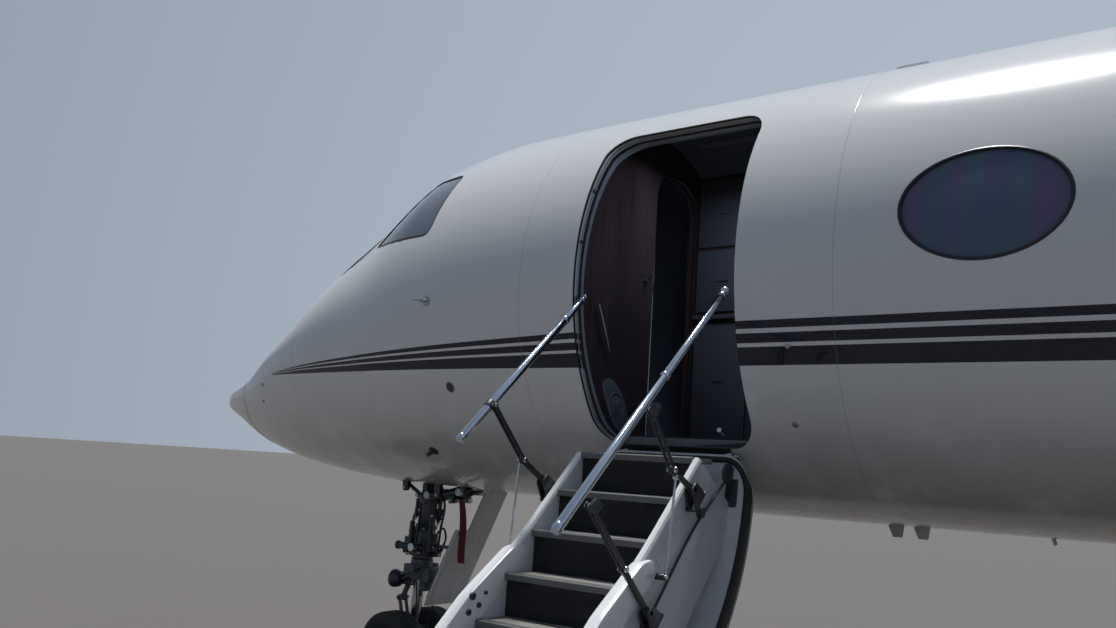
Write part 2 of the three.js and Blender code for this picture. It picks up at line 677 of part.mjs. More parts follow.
const BULLET_HEIGHT = 7250;
const BULLET = [[22150, 0], [22300, 90], [22800, 165], [23800, 200], [25000, 170], [25800, 95], [26250, 0]];

function tailSurfaces() {
  const bulletSolid = moved(turned(BULLET, 14), 0, 0, BULLET_HEIGHT);
  const halfPlane = loft(TAILPLANE.map(wingRing));
  const elevator = hingedSurface(halfPlane, {
    line: ELEVATOR_LINE,
    radii: ELEVATOR_LINE.map(([station, y]) => tailplaneHalfThickness(station, y) * 0.98),
    ends: [[1, 0], planDirection(ELEVATOR_LINE)],
    gaps: ELEVATOR_GAPS,
    view: 'plan',
    pin: 12,
  });
  const tailplane = joined(elevator.host, mirrored(elevator.host), bulletSolid);
  const fin = loft(FIN.map(finRing)).subtract(seatedSkin);
  const rudder = hingedSurface(fin, {
    line: RUDDER_LINE,
    radii: RUDDER_LINE.map(([station, , z]) => finHalfThickness(station, z) * 0.98),
    ends: [[1, 0], [1, 0]],
    gaps: RUDDER_GAPS,
    view: 'side',
    pin: 12,
  });
  const tailplaneSeat = joined(
    loft(TAILPLANE.map((row) => wingRing({ ...row, z: row.z - SEAT_GAP }))),
    loft(TAILPLANE.map((row) => wingRing({ ...row, z: row.z - SEAT_GAP, y: -row.y }))),
    moved(turned(BULLET.map(([station, radius]) => [station, radius && radius + SEAT_GAP]), 14), 0, 0, BULLET_HEIGHT),
  );
  return {
    tailplane,
    elevator: elevator.surface,
    fin: rudder.host.subtract(tailplaneSeat),
    rudder: rudder.surface,
  };
}

// Engines. Profiles are [station, radius] about the nacelle's own axis.
const ENGINE = { y: 2290, z: AXIS_HEIGHT + 450 };
const COWL_INSET = 20;
const NACELLE_SIDES = 20;
const NACELLE_OUTER = [[16480, 605], [16540, 655], [16950, 715], [18300, 738], [19900, 690], [21500, 520]];
const NACELLE_INNER = [[21500, 500], [19600, 600], [18000, 600], [17250, 575], [16700, 540]];
const CORE = [[17480 + SEAT_GAP, 0], [17480 + SEAT_GAP, 150], [18300, 380], [20400, 380], [21100, 250], [21800, 0]];
const FAN = { front: 17260, hubRadius: 170, bladeRadius: 556, blades: 12 };

// The cowl with the pylon that carries it from the side of the fuselage
function nacelle() {
  const cowl = moved(turned(closed([...NACELLE_OUTER, ...NACELLE_INNER]), NACELLE_SIDES), 0, ENGINE.y, ENGINE.z);
  const middle = NACELLE_OUTER.map(([station, radius]) => [station, radius - COWL_INSET]);
  const solidCowl = turned([[NACELLE_OUTER[0][0], 0], ...middle, [NACELLE_OUTER.at(-1)[0], 0]], NACELLE_SIDES);
  return joined(cowl, pylon().subtract(moved(solidCowl, 0, ENGINE.y, ENGINE.z)));
}

function engineCore() {
  const ductRadius = 600 * Math.cos(Math.PI / NACELLE_SIDES) - SEAT_GAP;
  const struts = [45, 135, 225, 315].map((degrees) => {
    const strut = new THREE.BoxGeometry(260, 24, ductRadius - 250).translate(18560, 0, (ductRadius + 250) / 2);
    return solidOf(strut.rotateX(THREE.MathUtils.degToRad(degrees)));
  });
  return joined(turned(CORE, 12), ...struts);
}

function fan() {
  const hub = turned([[17050, 0], [17090, 60], [FAN.front, FAN.hubRadius], [17480, FAN.hubRadius],
    [17480, 0]], FAN.blades);
  const blades = Array.from({ length: FAN.blades }, (unused, index) => {
    const blade = new THREE.BoxGeometry(16, 190, FAN.bladeRadius - 120)
      .rotateZ(THREE.MathUtils.degToRad(38))
      .translate((FAN.front + 17480) / 2, 0, (FAN.bladeRadius + 120) / 2);
    return solidOf(blade.rotateX((2 * Math.PI * index) / FAN.blades));
  });
  return joined(hub, ...blades);
}

function pylon() {
  const rows = [{ y: 800, le: 17300, chord: 4100 }, { y: 2100, le: 17700, chord: 3500 }];
  const stub = loft(rows.map(({ y, le, chord }) => wingRing({ y, z: ENGINE.z, le, chord, ratio: 0.075, cant: 0 })));
  return stub.subtract(seatedSkin);
}

// Baggage door on the port side under the engine: a panel set into its own opening
const BAGGAGE = { front: 15700, aft: 16420, low: -320, high: 480, radius: 70 };

function baggageOutline(shrink) {
  return roundedRect(BAGGAGE.front + shrink, AXIS_HEIGHT + BAGGAGE.low + shrink, BAGGAGE.aft - shrink,
    AXIS_HEIGHT + BAGGAGE.high - shrink, BAGGAGE.radius);
}

const TAIL_CAVITY_STATIONS = [CABIN_END - 100, 17000, 18500, 20000, 21500, 22400];

function fuselageTail() {
  const shell = fuselageSolid(TAIL_STATIONS).subtract(fuselageSolid(TAIL_CAVITY_STATIONS, WALL));
  return shell.subtract(sidePrism(baggageOutline(0), -OUTSIDE, -CABIN_RADIUS / 2));
}

function baggageDoor() {
  const outer = fuselageSolid(TAIL_STATIONS);
  const inner = fuselageSolid(TAIL_CAVITY_STATIONS, WALL);
  return sidePrism(baggageOutline(SEAT_GAP), -OUTSIDE, -CABIN_RADIUS / 2).intersect(outer).subtract(inner);
}

// Wheels. Each pair of rims turns with the axle between them. A flat of each tyre lies on the ground.
const TYRE_SIDES = 20;
const RIM_SIDES = 14;
const AXLE_SIDES = 24;
const AXLE_CLEARANCE = 0.8;
const NOSE_GEAR = { station: 2446, half: 190, radius: 266.5, width: 184, rim: 130, axle: 32 };
const MAIN_GEAR = { station: 14060, y: 2085, half: 235, radius: 432, width: 235, rim: 225, axle: 52 };

function tyre({ radius, width, rim }) {
  const half = width / 2;
  const corner = radius / Math.cos(Math.PI / TYRE_SIDES);
  const depth = corner - rim - SEAT_GAP;
  const crown = [[-0.8, 0], [-1, 0.36], [-0.92, 0.76], [-0.5, 1]];
  const side = crown.map(([across, up]) => [across * half, rim + SEAT_GAP + up * depth]);
  const other = side.map(([across, up]) => [-across, up]).reverse();
  return turnedAcross(closed([...side, ...other]), TYRE_SIDES).rotate([0, 180 / TYRE_SIDES, 0]);
}

function rimPair({ half, width, rim, axle }) {
  const bead = rim * Math.cos(Math.PI / TYRE_SIDES) - SEAT_GAP;
  const one = turnedAcross([
    [-0.42 * width, 0], [-0.42 * width, bead], [0.42 * width, bead], [0.42 * width, rim * 0.88],
    [0.22 * width, rim * 0.8], [0.22 * width, rim * 0.45], [0.4 * width, rim * 0.4], [0.4 * width, 0],
  ], RIM_SIDES);
  const outer = moved(one, 0, half, 0);
  return joined(outer, mirrored(outer), bar([0, -half, 0], [0, half, 0], axle, axle, AXLE_SIDES));
}

function axleHousing({ half, width, axle }, x, y, z) {
  const reach = half - 0.42 * width - 8;
  const outer = bar([x, y - reach, z], [x, y + reach, z], axle + 28, axle + 28, 12);
  return outer.subtract(axleBore({ half, axle }, x, y, z));
}

function axleBore({ half, axle }, x, y, z) {
  const bore = axle + AXLE_CLEARANCE;
  return bar([x, y - half, z], [x, y + half, z], bore, bore, AXLE_SIDES);
}

// Nose leg: a fixed upper strut in the bay, and a lower part that steers about the strut's axis
const NOSE_TOP = [2530, 0, 1482];
const NOSE_FOOT = [NOSE_GEAR.station, 0, NOSE_GEAR.radius];
const NOSE_AXIS = new THREE.Vector3(...NOSE_TOP).sub(new THREE.Vector3(...NOSE_FOOT)).normalize();

function alongNoseLeg(height) {
  const foot = new THREE.Vector3(...NOSE_FOOT);
  return foot.addScaledVector(NOSE_AXIS, (height - NOSE_GEAR.radius) / NOSE_AXIS.z).toArray();
}

const STEERING_SPLIT = 900;
const NOSE_COLLAR = 78;
const LEG_SIDES = 10;

function noseLeg() {
  const strut = joined(
    bar(alongNoseLeg(STEERING_SPLIT), alongNoseLeg(1120), NOSE_COLLAR, NOSE_COLLAR, LEG_SIDES),
    bar(alongNoseLeg(1100), alongNoseLeg(1560), 66, 66, LEG_SIDES),
    bar([NOSE_TOP[0], -BAY.half + SEAT_GAP, NOSE_TOP[2]], [NOSE_TOP[0], BAY.half - SEAT_GAP, NOSE_TOP[2]], 26),
  );
  const brace = joined(
    bar([2530, -70, 1330], [3060, -70, 1480], 22),
    bar([2530, 70, 1330], [3060, 70, 1480], 22),
    bar([2530, -92, 1330], [2530, 92, 1330], 30),
    bar([3060, -BAY.half + SEAT_GAP, 1480], [3060, BAY.half - SEAT_GAP, 1480], 24),
  );
  return joined(strut, brace);
}

function noseSteering() {
  const collarTop = STEERING_SPLIT - SEAT_GAP;
  const forward = (height, distance) => {
    const [x, , z] = alongNoseLeg(height);
    return [x - distance, 0, z];
  };
  const piston = joined(
    bar(alongNoseLeg(760), alongNoseLeg(collarTop), 84, 84, LEG_SIDES),
    bar(alongNoseLeg(NOSE_GEAR.radius), alongNoseLeg(780), 46, 46, LEG_SIDES),
  );
  const links = joined(
    bar(forward(800, 60), forward(600, 210), 24),
    bar(forward(600, 210), forward(330, 30), 22),
    bar([forward(600, 210)[0], -60, forward(600, 210)[2]], [forward(600, 210)[0], 60, forward(600, 210)[2]], 20),
  );
  return joined(piston, links, axleHousing(NOSE_GEAR, ...NOSE_FOOT)).subtract(axleBore(NOSE_GEAR, ...NOSE_FOOT));
}

// The door behind the leg hangs from the end of the bay and runs forward to the strut
const NOSE_DOOR = { half: 180, top: [3115, 1500], low: [2700, 600], thickness: 22 };

function noseGearDoor() {
  const { half, top, low, thickness } = NOSE_DOOR;
  const plate = sidePrism(shapeOf([top, [top[0] + thickness, top[1]], [low[0] + thickness, low[1]], low]), -half, half);
  const notch = block([2900, -half - 1, 1150], [3300, -half + 130, 1430]);
  const collar = NOSE_COLLAR + SEAT_GAP;
  const arm = bar(alongNoseLeg(1000), [2890, 0, 1000], 16)
    .subtract(bar(alongNoseLeg(STEERING_SPLIT), alongNoseLeg(1120), collar, collar, LEG_SIDES));
  const hanger = block([top[0], -BAY.half + SEAT_GAP, 1440], [BAY.aft - SEAT_GAP, BAY.half - SEAT_GAP, 1500]);
  return joined(plate.subtract(notch), arm, hanger.subtract(block([0, -300, 1400], [9000, -half + 130, 1430])));
}

// Main leg: a strut from the rear of the wing, a side brace to the fairing and links ahead of the piston
const MAIN_TOP_HEIGHT = 1700;
const MAIN_STRUT = 92;

function mainLeg(wing) {
  const { station, y, radius } = MAIN_GEAR;
  const strut = joined(
    bar([station, y, 760], [station, y, MAIN_TOP_HEIGHT], MAIN_STRUT, MAIN_STRUT, LEG_SIDES),
    bar([station, y, radius], [station, y, 780], 62, 62, LEG_SIDES),
    bar([station - 130, y, 1480], [station + 130, y, 1480], 50),
  );
  const brace = joined(
    bar([station, y, 1120], [station - 60, FAIRING_HALF + 30, 1380], 40),
    block([station - 130, FAIRING_HALF + SEAT_GAP, 1330], [station + 10, FAIRING_HALF + 60, 1450]),
  );
  const links = joined(
    bar([station + 60, y, 860], [station + 250, y, 690], 26),
    bar([station + 250, y, 690], [station + 30, y, 470], 24),
    bar([station + 250, y - 55, 690], [station + 250, y + 55, 690], 22),
  );
  const whole = joined(strut, brace, links, axleHousing(MAIN_GEAR, station, y, radius));
  return whole.subtract(axleBore(MAIN_GEAR, station, y, radius)).subtract(wing);
}

// Leg door: a plate outboard of the strut, closed against the wing when the gear is up
function mainLegDoor(wing) {
  const { station, y } = MAIN_GEAR;
  const outline = shapeOf([[station - 260, 1640], [station + 260, 1640], [station + 240, 980], [station + 150, 900],
    [station - 150, 900], [station - 240, 980]]);
  const plate = sidePrism(outline, y + 130, y + 156);
  const strut = MAIN_STRUT + SEAT_GAP;
  const stay = bar([station, y, 1100], [station, y + 140, 1100], 30)
    .subtract(bar([station, y, 760], [station, y, MAIN_TOP_HEIGHT], strut, strut, LEG_SIDES));
  return joined(plate, stay).subtract(wing);
}

// Airstair. Its parts are drawn as with the door shut, with the hinge as the origin:
// Y runs into the cabin and Z up the door. The group that holds them is then turned open.
const STEP = { rise: 187.5, first: -20, count: 6, line: 285, depth: 205, thickness: 26, overhang: 20 };
const STRINGER = { inner: 310, outer: 345 };
const STRINGER_OUTLINE = [[-30, 110], [262, 300], [300, 950], [368, 1320], [378, 1560], [280, 1640], [-60, 1660],
  [-600, 1500], [-600, 300]];

function fromHinge(solid) {
  return moved(solid, -DOOR_CENTRE, -HINGE.y, -HINGE.z);
}

function airstairDoor() {
  const panel = sidePrism(doorOutline(DOOR.seam), -OUTSIDE, -CABIN_RADIUS / 2)
    .intersect(outerSkin).subtract(cavity);
  const panelFoot = AXIS_HEIGHT + DOOR.low + DOOR.seam - HINGE.z;
  const skinBelowDoor = fromHinge(fuselageSolid(FRONT_STATIONS, -LUG_CLEARANCE)).trimByPlane([0, 0, -1], -panelFoot);
  const lugs = HINGE_LUGS.map((offset) => {
    const side = Math.sign(offset);
    const near = offset - side * (LUG_HALF + SEAT_GAP);
    const far = near - side * 30;
    const [low, high] = [Math.min(near, far), Math.max(near, far)];
    return joined(
      bar([low, 0, 0], [high, 0, 0], 16),
      block([low, -48, -10], [high, 14, 110]).subtract(skinBelowDoor),
    );
  });
  return joined(fromHinge(panel), ...lugs);
}

// Turn a point given in the open position into the door's own axes
function shutPoint(y, z) {
  const [sine, cosine] = [Math.sin(-OPEN_ANGLE), Math.cos(-OPEN_ANGLE)];
  return [y * cosine - z * sine, y * sine + z * cosine];
}

// The flight's outline in the open position, from the back of the top tread down and back up underneath
function flightOutline() {
  const { rise, first, count, line, depth, thickness, overhang } = STEP;
  const nosings = Array.from({ length: count }, (unused, index) => {
    const height = first - index * rise;
    const along = (line * Math.sin(OPEN_ANGLE) - height) / -Math.cos(OPEN_ANGLE);
    return [line * Math.cos(OPEN_ANGLE) - along * Math.sin(OPEN_ANGLE), height];
  });
  const top = nosings[0][0] + depth;
  const over = nosings.flatMap(([y, z], index) => {
    const back = index === 0 ? top : nosings[index - 1][0] + overhang;
    const tread = [[back, z], [y, z], [y, z - thickness]];
    return index === count - 1 ? tread : [...tread, [y + overhang, z - thickness]];
  });
  const under = nosings.map(([, z], index) => {
    const back = index === 0 ? top : nosings[index - 1][0] + overhang + thickness;
    const front = nosings[index][0] + overhang + thickness;
    return index === count - 1 ? [[back, z - thickness]] : [[front, z - thickness], [back, z - thickness]];
  });
  return [...over, ...under.reverse().flat()];
}

function airstairSteps() {
  const doorSpace = fromHinge(fittedCavity);
  const { inner, outer } = STRINGER;
  const stringers = [[inner, outer], [-outer, -inner]].map(([from, to]) => (
    frontPrism(shapeOf(STRINGER_OUTLINE), from, to).intersect(doorSpace)
  ));
  const profile = flightOutline().map(([y, z]) => shutPoint(y, z));
  return joined(frontPrism(shapeOf(profile), -inner - 1, inner + 1), ...stringers);
}

// Handrails: a tube on arms that pivot together on the stringers. Places are [into cabin, up door].
const RAIL = { offset: 403, radius: 19, armOffset: 372, armRadius: 13, pivot: [240, 500], bossRadius: 26 };
const HANDRAILS = [
  { name: 'handrail_forward', side: -1, top: [778, -330], low: [866, 855], arms: [[[240, 500], [848, 590]]] },
  { name: 'handrail_aft', side: 1, top: [778, -304], low: [909, 1336],
    arms: [[[240, 500], [846, 540]], [[170, 1085], [889, 1100]]] },
];

function handrail({ side, top, low, arms }) {
  const place = (offset, [into, up]) => [side * offset, into - RAIL.pivot[0], up - RAIL.pivot[1]];
  const tube = bar(place(RAIL.offset, top), place(RAIL.offset, low), RAIL.radius);
  const struts = arms.map(([foot, head]) => (
    bar(place(RAIL.armOffset, foot), place(RAIL.offset, head), RAIL.armRadius)
  ));
  const boss = bar(place(STRINGER.outer + SEAT_GAP, RAIL.pivot), place(RAIL.armOffset + 14, RAIL.pivot),
    RAIL.bossRadius);
  const feet = arms.slice(1).map(([foot]) => (
    bar(place(STRINGER.outer + 3, foot), place(RAIL.armOffset + 12, foot), 22)
  ));
  return joined(tube, boss, ...struts, ...feet);
}

// Assembly
const aircraft = new THREE.Group();
const airframe = new THREE.Group();
airframe.position.x = -LENGTH / 2;
aircraft.add(airframe);

function addPiece(parent, name, solid, look, place = [0, 0, 0]) {
  const mesh = new THREE.Mesh(geometryOf(solid), new THREE.MeshStandardMaterial(look));
  mesh.name = name;
  mesh.position.set(...place);
  parent.add(mesh);
  return mesh;
}

function addPair(name, solid, look) {
  addPiece(airframe, `${name}_right`, solid, look);
  addPiece(airframe, `${name}_left`, mirrored(solid), look);
}

addPiece(airframe, 'radome', fuselageSolid(NOSE_STATIONS.with(-1, RADOME_END - SEAT_GAP)), WHITE_PAINT);
addPiece(airframe, 'fuselage_front', fuselageFront(), WHITE_PAINT);
const cabinStations = [FRONT_END + SEAT_GAP, CABIN_END - SEAT_GAP];
const cabinShell = fuselageSolid(cabinStations)
  .subtract(cavity)
  .subtract(joined(windowPrisms(0), mirrored(windowPrisms(0))));
addPiece(airframe, 'fuselage_cabin', cabinShell, WHITE_PAINT);
addPiece(airframe, 'fuselage_tail', fuselageTail(), WHITE_PAINT);
addPiece(airframe, 'baggage_door', baggageDoor(), WHITE_PAINT);
addPiece(airframe, 'windshield', windshield(), CLEAR_GLASS);
addPiece(airframe, 'side_window_left', sideWindow(), CLEAR_GLASS);
addPiece(airframe, 'side_window_right', mirrored(sideWindow()), CLEAR_GLASS);
addPiece(airframe, 'cabin_windows_left', cabinWindows(), DARK_GLASS);
addPiece(airframe, 'cabin_windows_right', mirrored(cabinWindows()), DARK_GLASS);

addPiece(airframe, 'cabin_floor', cabinFloor(), CARPET);
addPiece(airframe, 'entry_furniture', entryFurniture(), DARK_WOOD);
addPiece(airframe, 'instrument_panel', instrumentPanel(), DARK_TRIM);
addPiece(airframe, 'pilot_seat', crewSeat(), SEAT_LEATHER);
addPiece(airframe, 'copilot_seat', mirrored(crewSeat()), SEAT_LEATHER);

addPiece(airframe, 'belly_fairing', bellyFairing(), WHITE_PAINT);

const bareWing = loft(WING.map(wingRing));
const withAileron = aileronCut(bareWing);
const withFlap = flapCut(withAileron.host);
const legSocket = bar(
  [MAIN_GEAR.station, MAIN_GEAR.y, 1000],
  [MAIN_GEAR.station, MAIN_GEAR.y, MAIN_TOP_HEIGHT + SEAT_GAP],
  MAIN_STRUT + SEAT_GAP,
  MAIN_STRUT + SEAT_GAP,
  LEG_SIDES,
);
const wing = withFlap.host.subtract(legSocket);
addPair('wing', wing, WHITE_PAINT);
addPair('aileron', withAileron.surface, WHITE_PAINT);
addPair('flap', withFlap.surface, WHITE_PAINT);

const tail = tailSurfaces();
addPiece(airframe, 'fin', tail.fin, WHITE_PAINT);
addPiece(airframe, 'rudder', tail.rudder, WHITE_PAINT);
addPiece(airframe, 'tailplane', tail.tailplane, WHITE_PAINT);
addPair('elevator', tail.elevator, WHITE_PAINT);

for (const [side, sign] of [['right', 1], ['left', -1]]) {
  const place = [0, sign * ENGINE.y, ENGINE.z];
  addPiece(airframe, `engine_core_${side}`, engineCore(), GEAR_METAL, place);
  addPiece(airframe, `fan_${side}`, fan(), BARE_METAL, place);
}
addPair('nacelle', nacelle(), WHITE_PAINT);

addPiece(airframe, 'nose_leg', noseLeg(), GEAR_METAL);
addPiece(airframe, 'nose_steering', noseSteering(), GEAR_METAL);
addPiece(airframe, 'nose_rims', rimPair(NOSE_GEAR), BARE_METAL, NOSE_FOOT);
addPiece(airframe, 'nose_gear_door', noseGearDoor(), WHITE_PAINT);
for (const [side, sign] of [['left', -1], ['right', 1]]) {
  addPiece(airframe, `nose_tyre_${side}`, tyre(NOSE_GEAR), TYRE_RUBBER,
    [NOSE_FOOT[0], sign * NOSE_GEAR.half, NOSE_FOOT[2]]);
}

const wingSeat = moved(bareWing, 0, 0, -SEAT_GAP);
const leg = mainLeg(joined(wingSeat.subtract(legSocket), withFlap.host.subtract(legSocket)));
const legDoor = mainLegDoor(joined(wingSeat, withFlap.host));
addPair('main_leg', leg, GEAR_METAL);
addPair('main_leg_door', legDoor, WHITE_PAINT);
for (const [side, sign] of [['left', -1], ['right', 1]]) {
  const place = [MAIN_GEAR.station, sign * MAIN_GEAR.y, MAIN_GEAR.radius];
  addPiece(airframe, `main_rims_${side}`, rimPair(MAIN_GEAR), BARE_METAL, place);
  for (const [label, offset] of [['inner', -MAIN_GEAR.half], ['outer', MAIN_GEAR.half]]) {
    addPiece(airframe, `main_tyre_${side}_${label}`, tyre(MAIN_GEAR), TYRE_RUBBER,
      [place[0], place[1] + sign * offset, place[2]]);
  }
}

const airstair = new THREE.Group();
airstair.position.set(DOOR_CENTRE, HINGE.y, HINGE.z);
airstair.rotation.x = OPEN_ANGLE;
airframe.add(airstair);
addPiece(airstair, 'airstair_door', airstairDoor(), WHITE_PAINT);
addPiece(airstair, 'airstair_steps', airstairSteps(), CARPET);
for (const rail of HANDRAILS) {
  addPiece(airstair, rail.name, handrail(rail), BARE_METAL, [0, ...RAIL.pivot]);
}

export default aircraft;
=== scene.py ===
"""Finishes and fine pieces for a twin-engine business jet with its airstair open.

The frame holds the aircraft in metres: the nose points to -X, port is -Y and the apron is Z = 0.
Stations are distances aft of the nose tip, so a station less MID is a place on the X axis.
"""

import math

import bmesh
import bpy
from mathutils import Matrix, Vector
from mathutils.bvhtree import BVHTree


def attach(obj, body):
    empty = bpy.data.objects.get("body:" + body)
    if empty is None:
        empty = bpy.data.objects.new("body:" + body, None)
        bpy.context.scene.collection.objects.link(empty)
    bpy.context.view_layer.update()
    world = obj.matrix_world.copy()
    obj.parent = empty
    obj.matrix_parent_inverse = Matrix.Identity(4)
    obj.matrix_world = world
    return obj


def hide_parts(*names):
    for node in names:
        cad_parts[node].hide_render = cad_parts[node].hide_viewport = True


# Driving sizes in metres: station of the middle, height of the centreline, wall, floor, and where skins meet
MID = 13.46
AXIS = 2.62
WALL = 0.06
FLOOR = 1.81
NOSE_JOINT = 0.9
FRONT_JOINT = 7.1
CABIN_JOINT = 15.0
TAIL_END = 24.03
HULL_SIDES = 96

# The fuselage: station, then crown, keel, half width and height of the widest line, from the centreline
HULL = [
    (0.0, -0.615, -0.615, 0.0, -0.615),
    (0.12, -0.530, -0.690, 0.110, -0.602),
    (0.4, -0.475, -0.775, 0.295, -0.566),
    (0.9, -0.350, -0.974, 0.523, -0.520),
    (1.5, -0.016, -1.099, 0.763, -0.346),
    (2.1, 0.478, -1.158, 0.929, -0.245),
    (2.6, 0.795, -1.186, 1.021, -0.205),
    (3.1, 1.107, -1.192, 1.108, -0.130),
    (3.7, 1.189, -1.195, 1.168, -0.062),
    (4.4, 1.195, -1.195, 1.190, -0.015),
    (5.2, 1.195, -1.195, 1.195, 0.0),
    (15.0, 1.195, -1.195, 1.195, 0.0),
    (17.0, 1.195, -1.150, 1.180, 0.020),
    (18.5, 1.190, -1.010, 1.120, 0.080),
    (20.0, 1.170, -0.760, 0.980, 0.180),
    (21.5, 1.120, -0.420, 0.760, 0.330),
    (22.8, 1.030, -0.060, 0.500, 0.480),
    (23.7, 0.900, 0.260, 0.270, 0.580),
    (24.03, 0.760, 0.460, 0.130, 0.610),
]

# The doorway in the port side, and the hinge line and angle of the stair that fills it
DOOR_FRONT, DOOR_AFT = 4.543, 5.457
DOOR_LOW, DOOR_HIGH = AXIS - 0.86, AXIS + 0.83
DOOR_CORNER = 0.14
HINGE = Vector((5.0 - MID, -0.82, 1.72))
OPEN_ANGLE = math.radians(136)

# Cabin windows
WINDOW_FIRST, WINDOW_PITCH, WINDOW_COUNT = 6.517, 1.27, 6
WINDOW_HEIGHT = AXIS + 0.153
WINDOW_HALF_WIDTH, WINDOW_HALF_HEIGHT = 0.33, 0.241

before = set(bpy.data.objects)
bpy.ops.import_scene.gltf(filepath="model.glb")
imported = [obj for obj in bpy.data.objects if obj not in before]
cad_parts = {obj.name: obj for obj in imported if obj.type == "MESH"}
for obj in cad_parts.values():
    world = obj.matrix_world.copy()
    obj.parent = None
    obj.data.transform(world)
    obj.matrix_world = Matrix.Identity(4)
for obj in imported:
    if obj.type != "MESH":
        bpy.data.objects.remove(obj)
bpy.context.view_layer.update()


def at(station, y, z):
    """A place given by its station."""
    return (station - MID, y, z)


def linked(name, data):
    """A new object in the scene."""
    item = bpy.data.objects.new(name, data)
    bpy.context.scene.collection.objects.link(item)
    return item


def mesh_of(bm, name):
    """The mesh of a bmesh, which is freed."""
    mesh = bpy.data.meshes.new(name)
    bm.to_mesh(mesh)
    bm.free()
    return mesh


# Camera, floor and light

CAMERA_TURNS = (0.6332, 0.1047, 0.0627)
CAMERA_PLACE = at(7.3435, -5.0868, 1.6089)
SKY_BEHIND, SKY_BEYOND = (0.150, 0.190, 0.250), (0.42, 0.48, 0.56)
SUN_WAY = Vector((0.16, -0.16, -1.0))
FLOOR_REACH = 1200


def aim_camera():
    """The photograph's camera: its place, its three turns and its shift."""
    yaw, pitch, roll = CAMERA_TURNS
    view = Vector((-math.sin(yaw) * math.cos(pitch), math.cos(yaw) * math.cos(pitch), math.sin(pitch)))
    level = Vector((math.cos(yaw), math.sin(yaw), 0))
    upright = level.cross(view)
    right = level * math.cos(roll) + upright * math.sin(roll)
    top = upright * math.cos(roll) - level * math.sin(roll)
    camera = linked("camera", bpy.data.cameras.new("camera"))
    camera.data.sensor_width = 36
    camera.data.lens = 30.27
    camera.data.shift_y = 0.0503
    camera.data.clip_start = 0.05
    camera.data.clip_end = 2000
    turn = Matrix((right, top, -view)).transposed().to_4x4()
    camera.matrix_world = Matrix.Translation(CAMERA_PLACE) @ turn
    bpy.context.scene.camera = camera


def light_studio():
    """A soft high sun, a sky that is paler beyond the aircraft than behind the camera, a dim entry lamp."""
    world = bpy.data.worlds.new("studio")
    bpy.context.scene.world = world
    world.use_nodes = True
    bpy.context.scene.view_settings.view_transform = "Standard"
    sky = world.node_tree.nodes["Background"]
    g = Graph(world.node_tree)
    bearing = g.add("ShaderNodeTexCoord").outputs["Generated"]
    across = g.add("ShaderNodeSeparateXYZ", Vector=bearing).outputs["Y"]
    share = g.add("ShaderNodeMapRange", Value=across, From_Min=-0.5, From_Max=0.9)
    g.feed(sky.inputs["Color"], g.mix(share.outputs["Result"], SKY_BEHIND, SKY_BEYOND))
    g.feed(sky.inputs["Strength"], 1.0)
    sun = bpy.data.lights.new("high_sun", "SUN")
    sun.energy = 3.3
    sun.angle = math.radians(9)
    sun.color = (1.0, 0.98, 0.95)
    high = linked("high_sun", sun)
    high.rotation_mode = "QUATERNION"
    high.rotation_quaternion = SUN_WAY.to_track_quat("-Z", "Y")
    lamp = bpy.data.lights.new("entry_lamp", "AREA")
    lamp.shape = "RECTANGLE"
    lamp.size, lamp.size_y = 0.5, 0.5
    lamp.energy = 5.0
    lamp.color = (0.72, 0.80, 1.0)
    hung = linked("entry_lamp", lamp)
    hung.location = at(4.95, -0.25, FLOOR + 1.72)
    hung.visible_camera = False
    hung.visible_glossy = False


def lay_floor():
    bm = bmesh.new()
    bmesh.ops.create_grid(bm, x_segments=1, y_segments=1, size=FLOOR_REACH)
    floor = linked("floor", mesh_of(bm, "floor"))
    floor.data.materials.append(plain("floor_pale", (0.145, 0.134, 0.126), 0.92))


# Materials

class Graph:
    """A short way to add nodes to a tree and join them by socket name."""

    def __init__(self, tree):
        self.tree = tree

    def add(self, kind, settings=None, **inputs):
        node = self.tree.nodes.new(kind)
        for name, value in (settings or {}).items():
            setattr(node, name, value)
        for name, value in inputs.items():
            index = int(name[1:]) if name[0] == "i" and name[1:].isdigit() else name.replace("_", " ")
            self.feed(node.inputs[index], value)
        return node

    def feed(self, socket, value):
        if isinstance(value, bpy.types.NodeSocket):
            self.tree.links.new(value, socket)
        elif isinstance(value, bpy.types.Node):
            self.tree.links.new(value.outputs[0], socket)
        elif isinstance(value, (tuple, list)) and len(value) == 3 and socket.type == "RGBA":
            socket.default_value = (*value, 1)
        else:
            socket.default_value = value

    def maths(self, operation, first, second=0.0, clamp=False):
        return self.add("ShaderNodeMath", {"operation": operation, "use_clamp": clamp}, i0=first,
                        i1=second).outputs[0]

    def mix(self, factor, first, second):
        node = self.add("ShaderNodeMix", {"data_type": "RGBA"})
        self.feed(node.inputs["Factor"], factor)
        self.feed(node.inputs[6], first)
        self.feed(node.inputs[7], second)
        return node.outputs[2]

    def ramp(self, value, low, high, start=0.0, end=1.0):
        return self.add("ShaderNodeMapRange", {"interpolation_type": "SMOOTHSTEP"}, Value=value,
                        From_Min=low, From_Max=high, To_Min=start, To_Max=end).outputs[0]

    def place(self):
        return self.add("ShaderNodeTexCoord").outputs["Object"]

    def noise(self, place, scale, detail=4.0, roughness=0.6, stretch=None):
        if stretch:
            place = self.add("ShaderNodeMapping", Vector=place, Scale=stretch).outputs[0]
        return self.add("ShaderNodeTexNoise", Vector=place, Scale=scale, Detail=detail,
                        Roughness=roughness).outputs["Fac"]


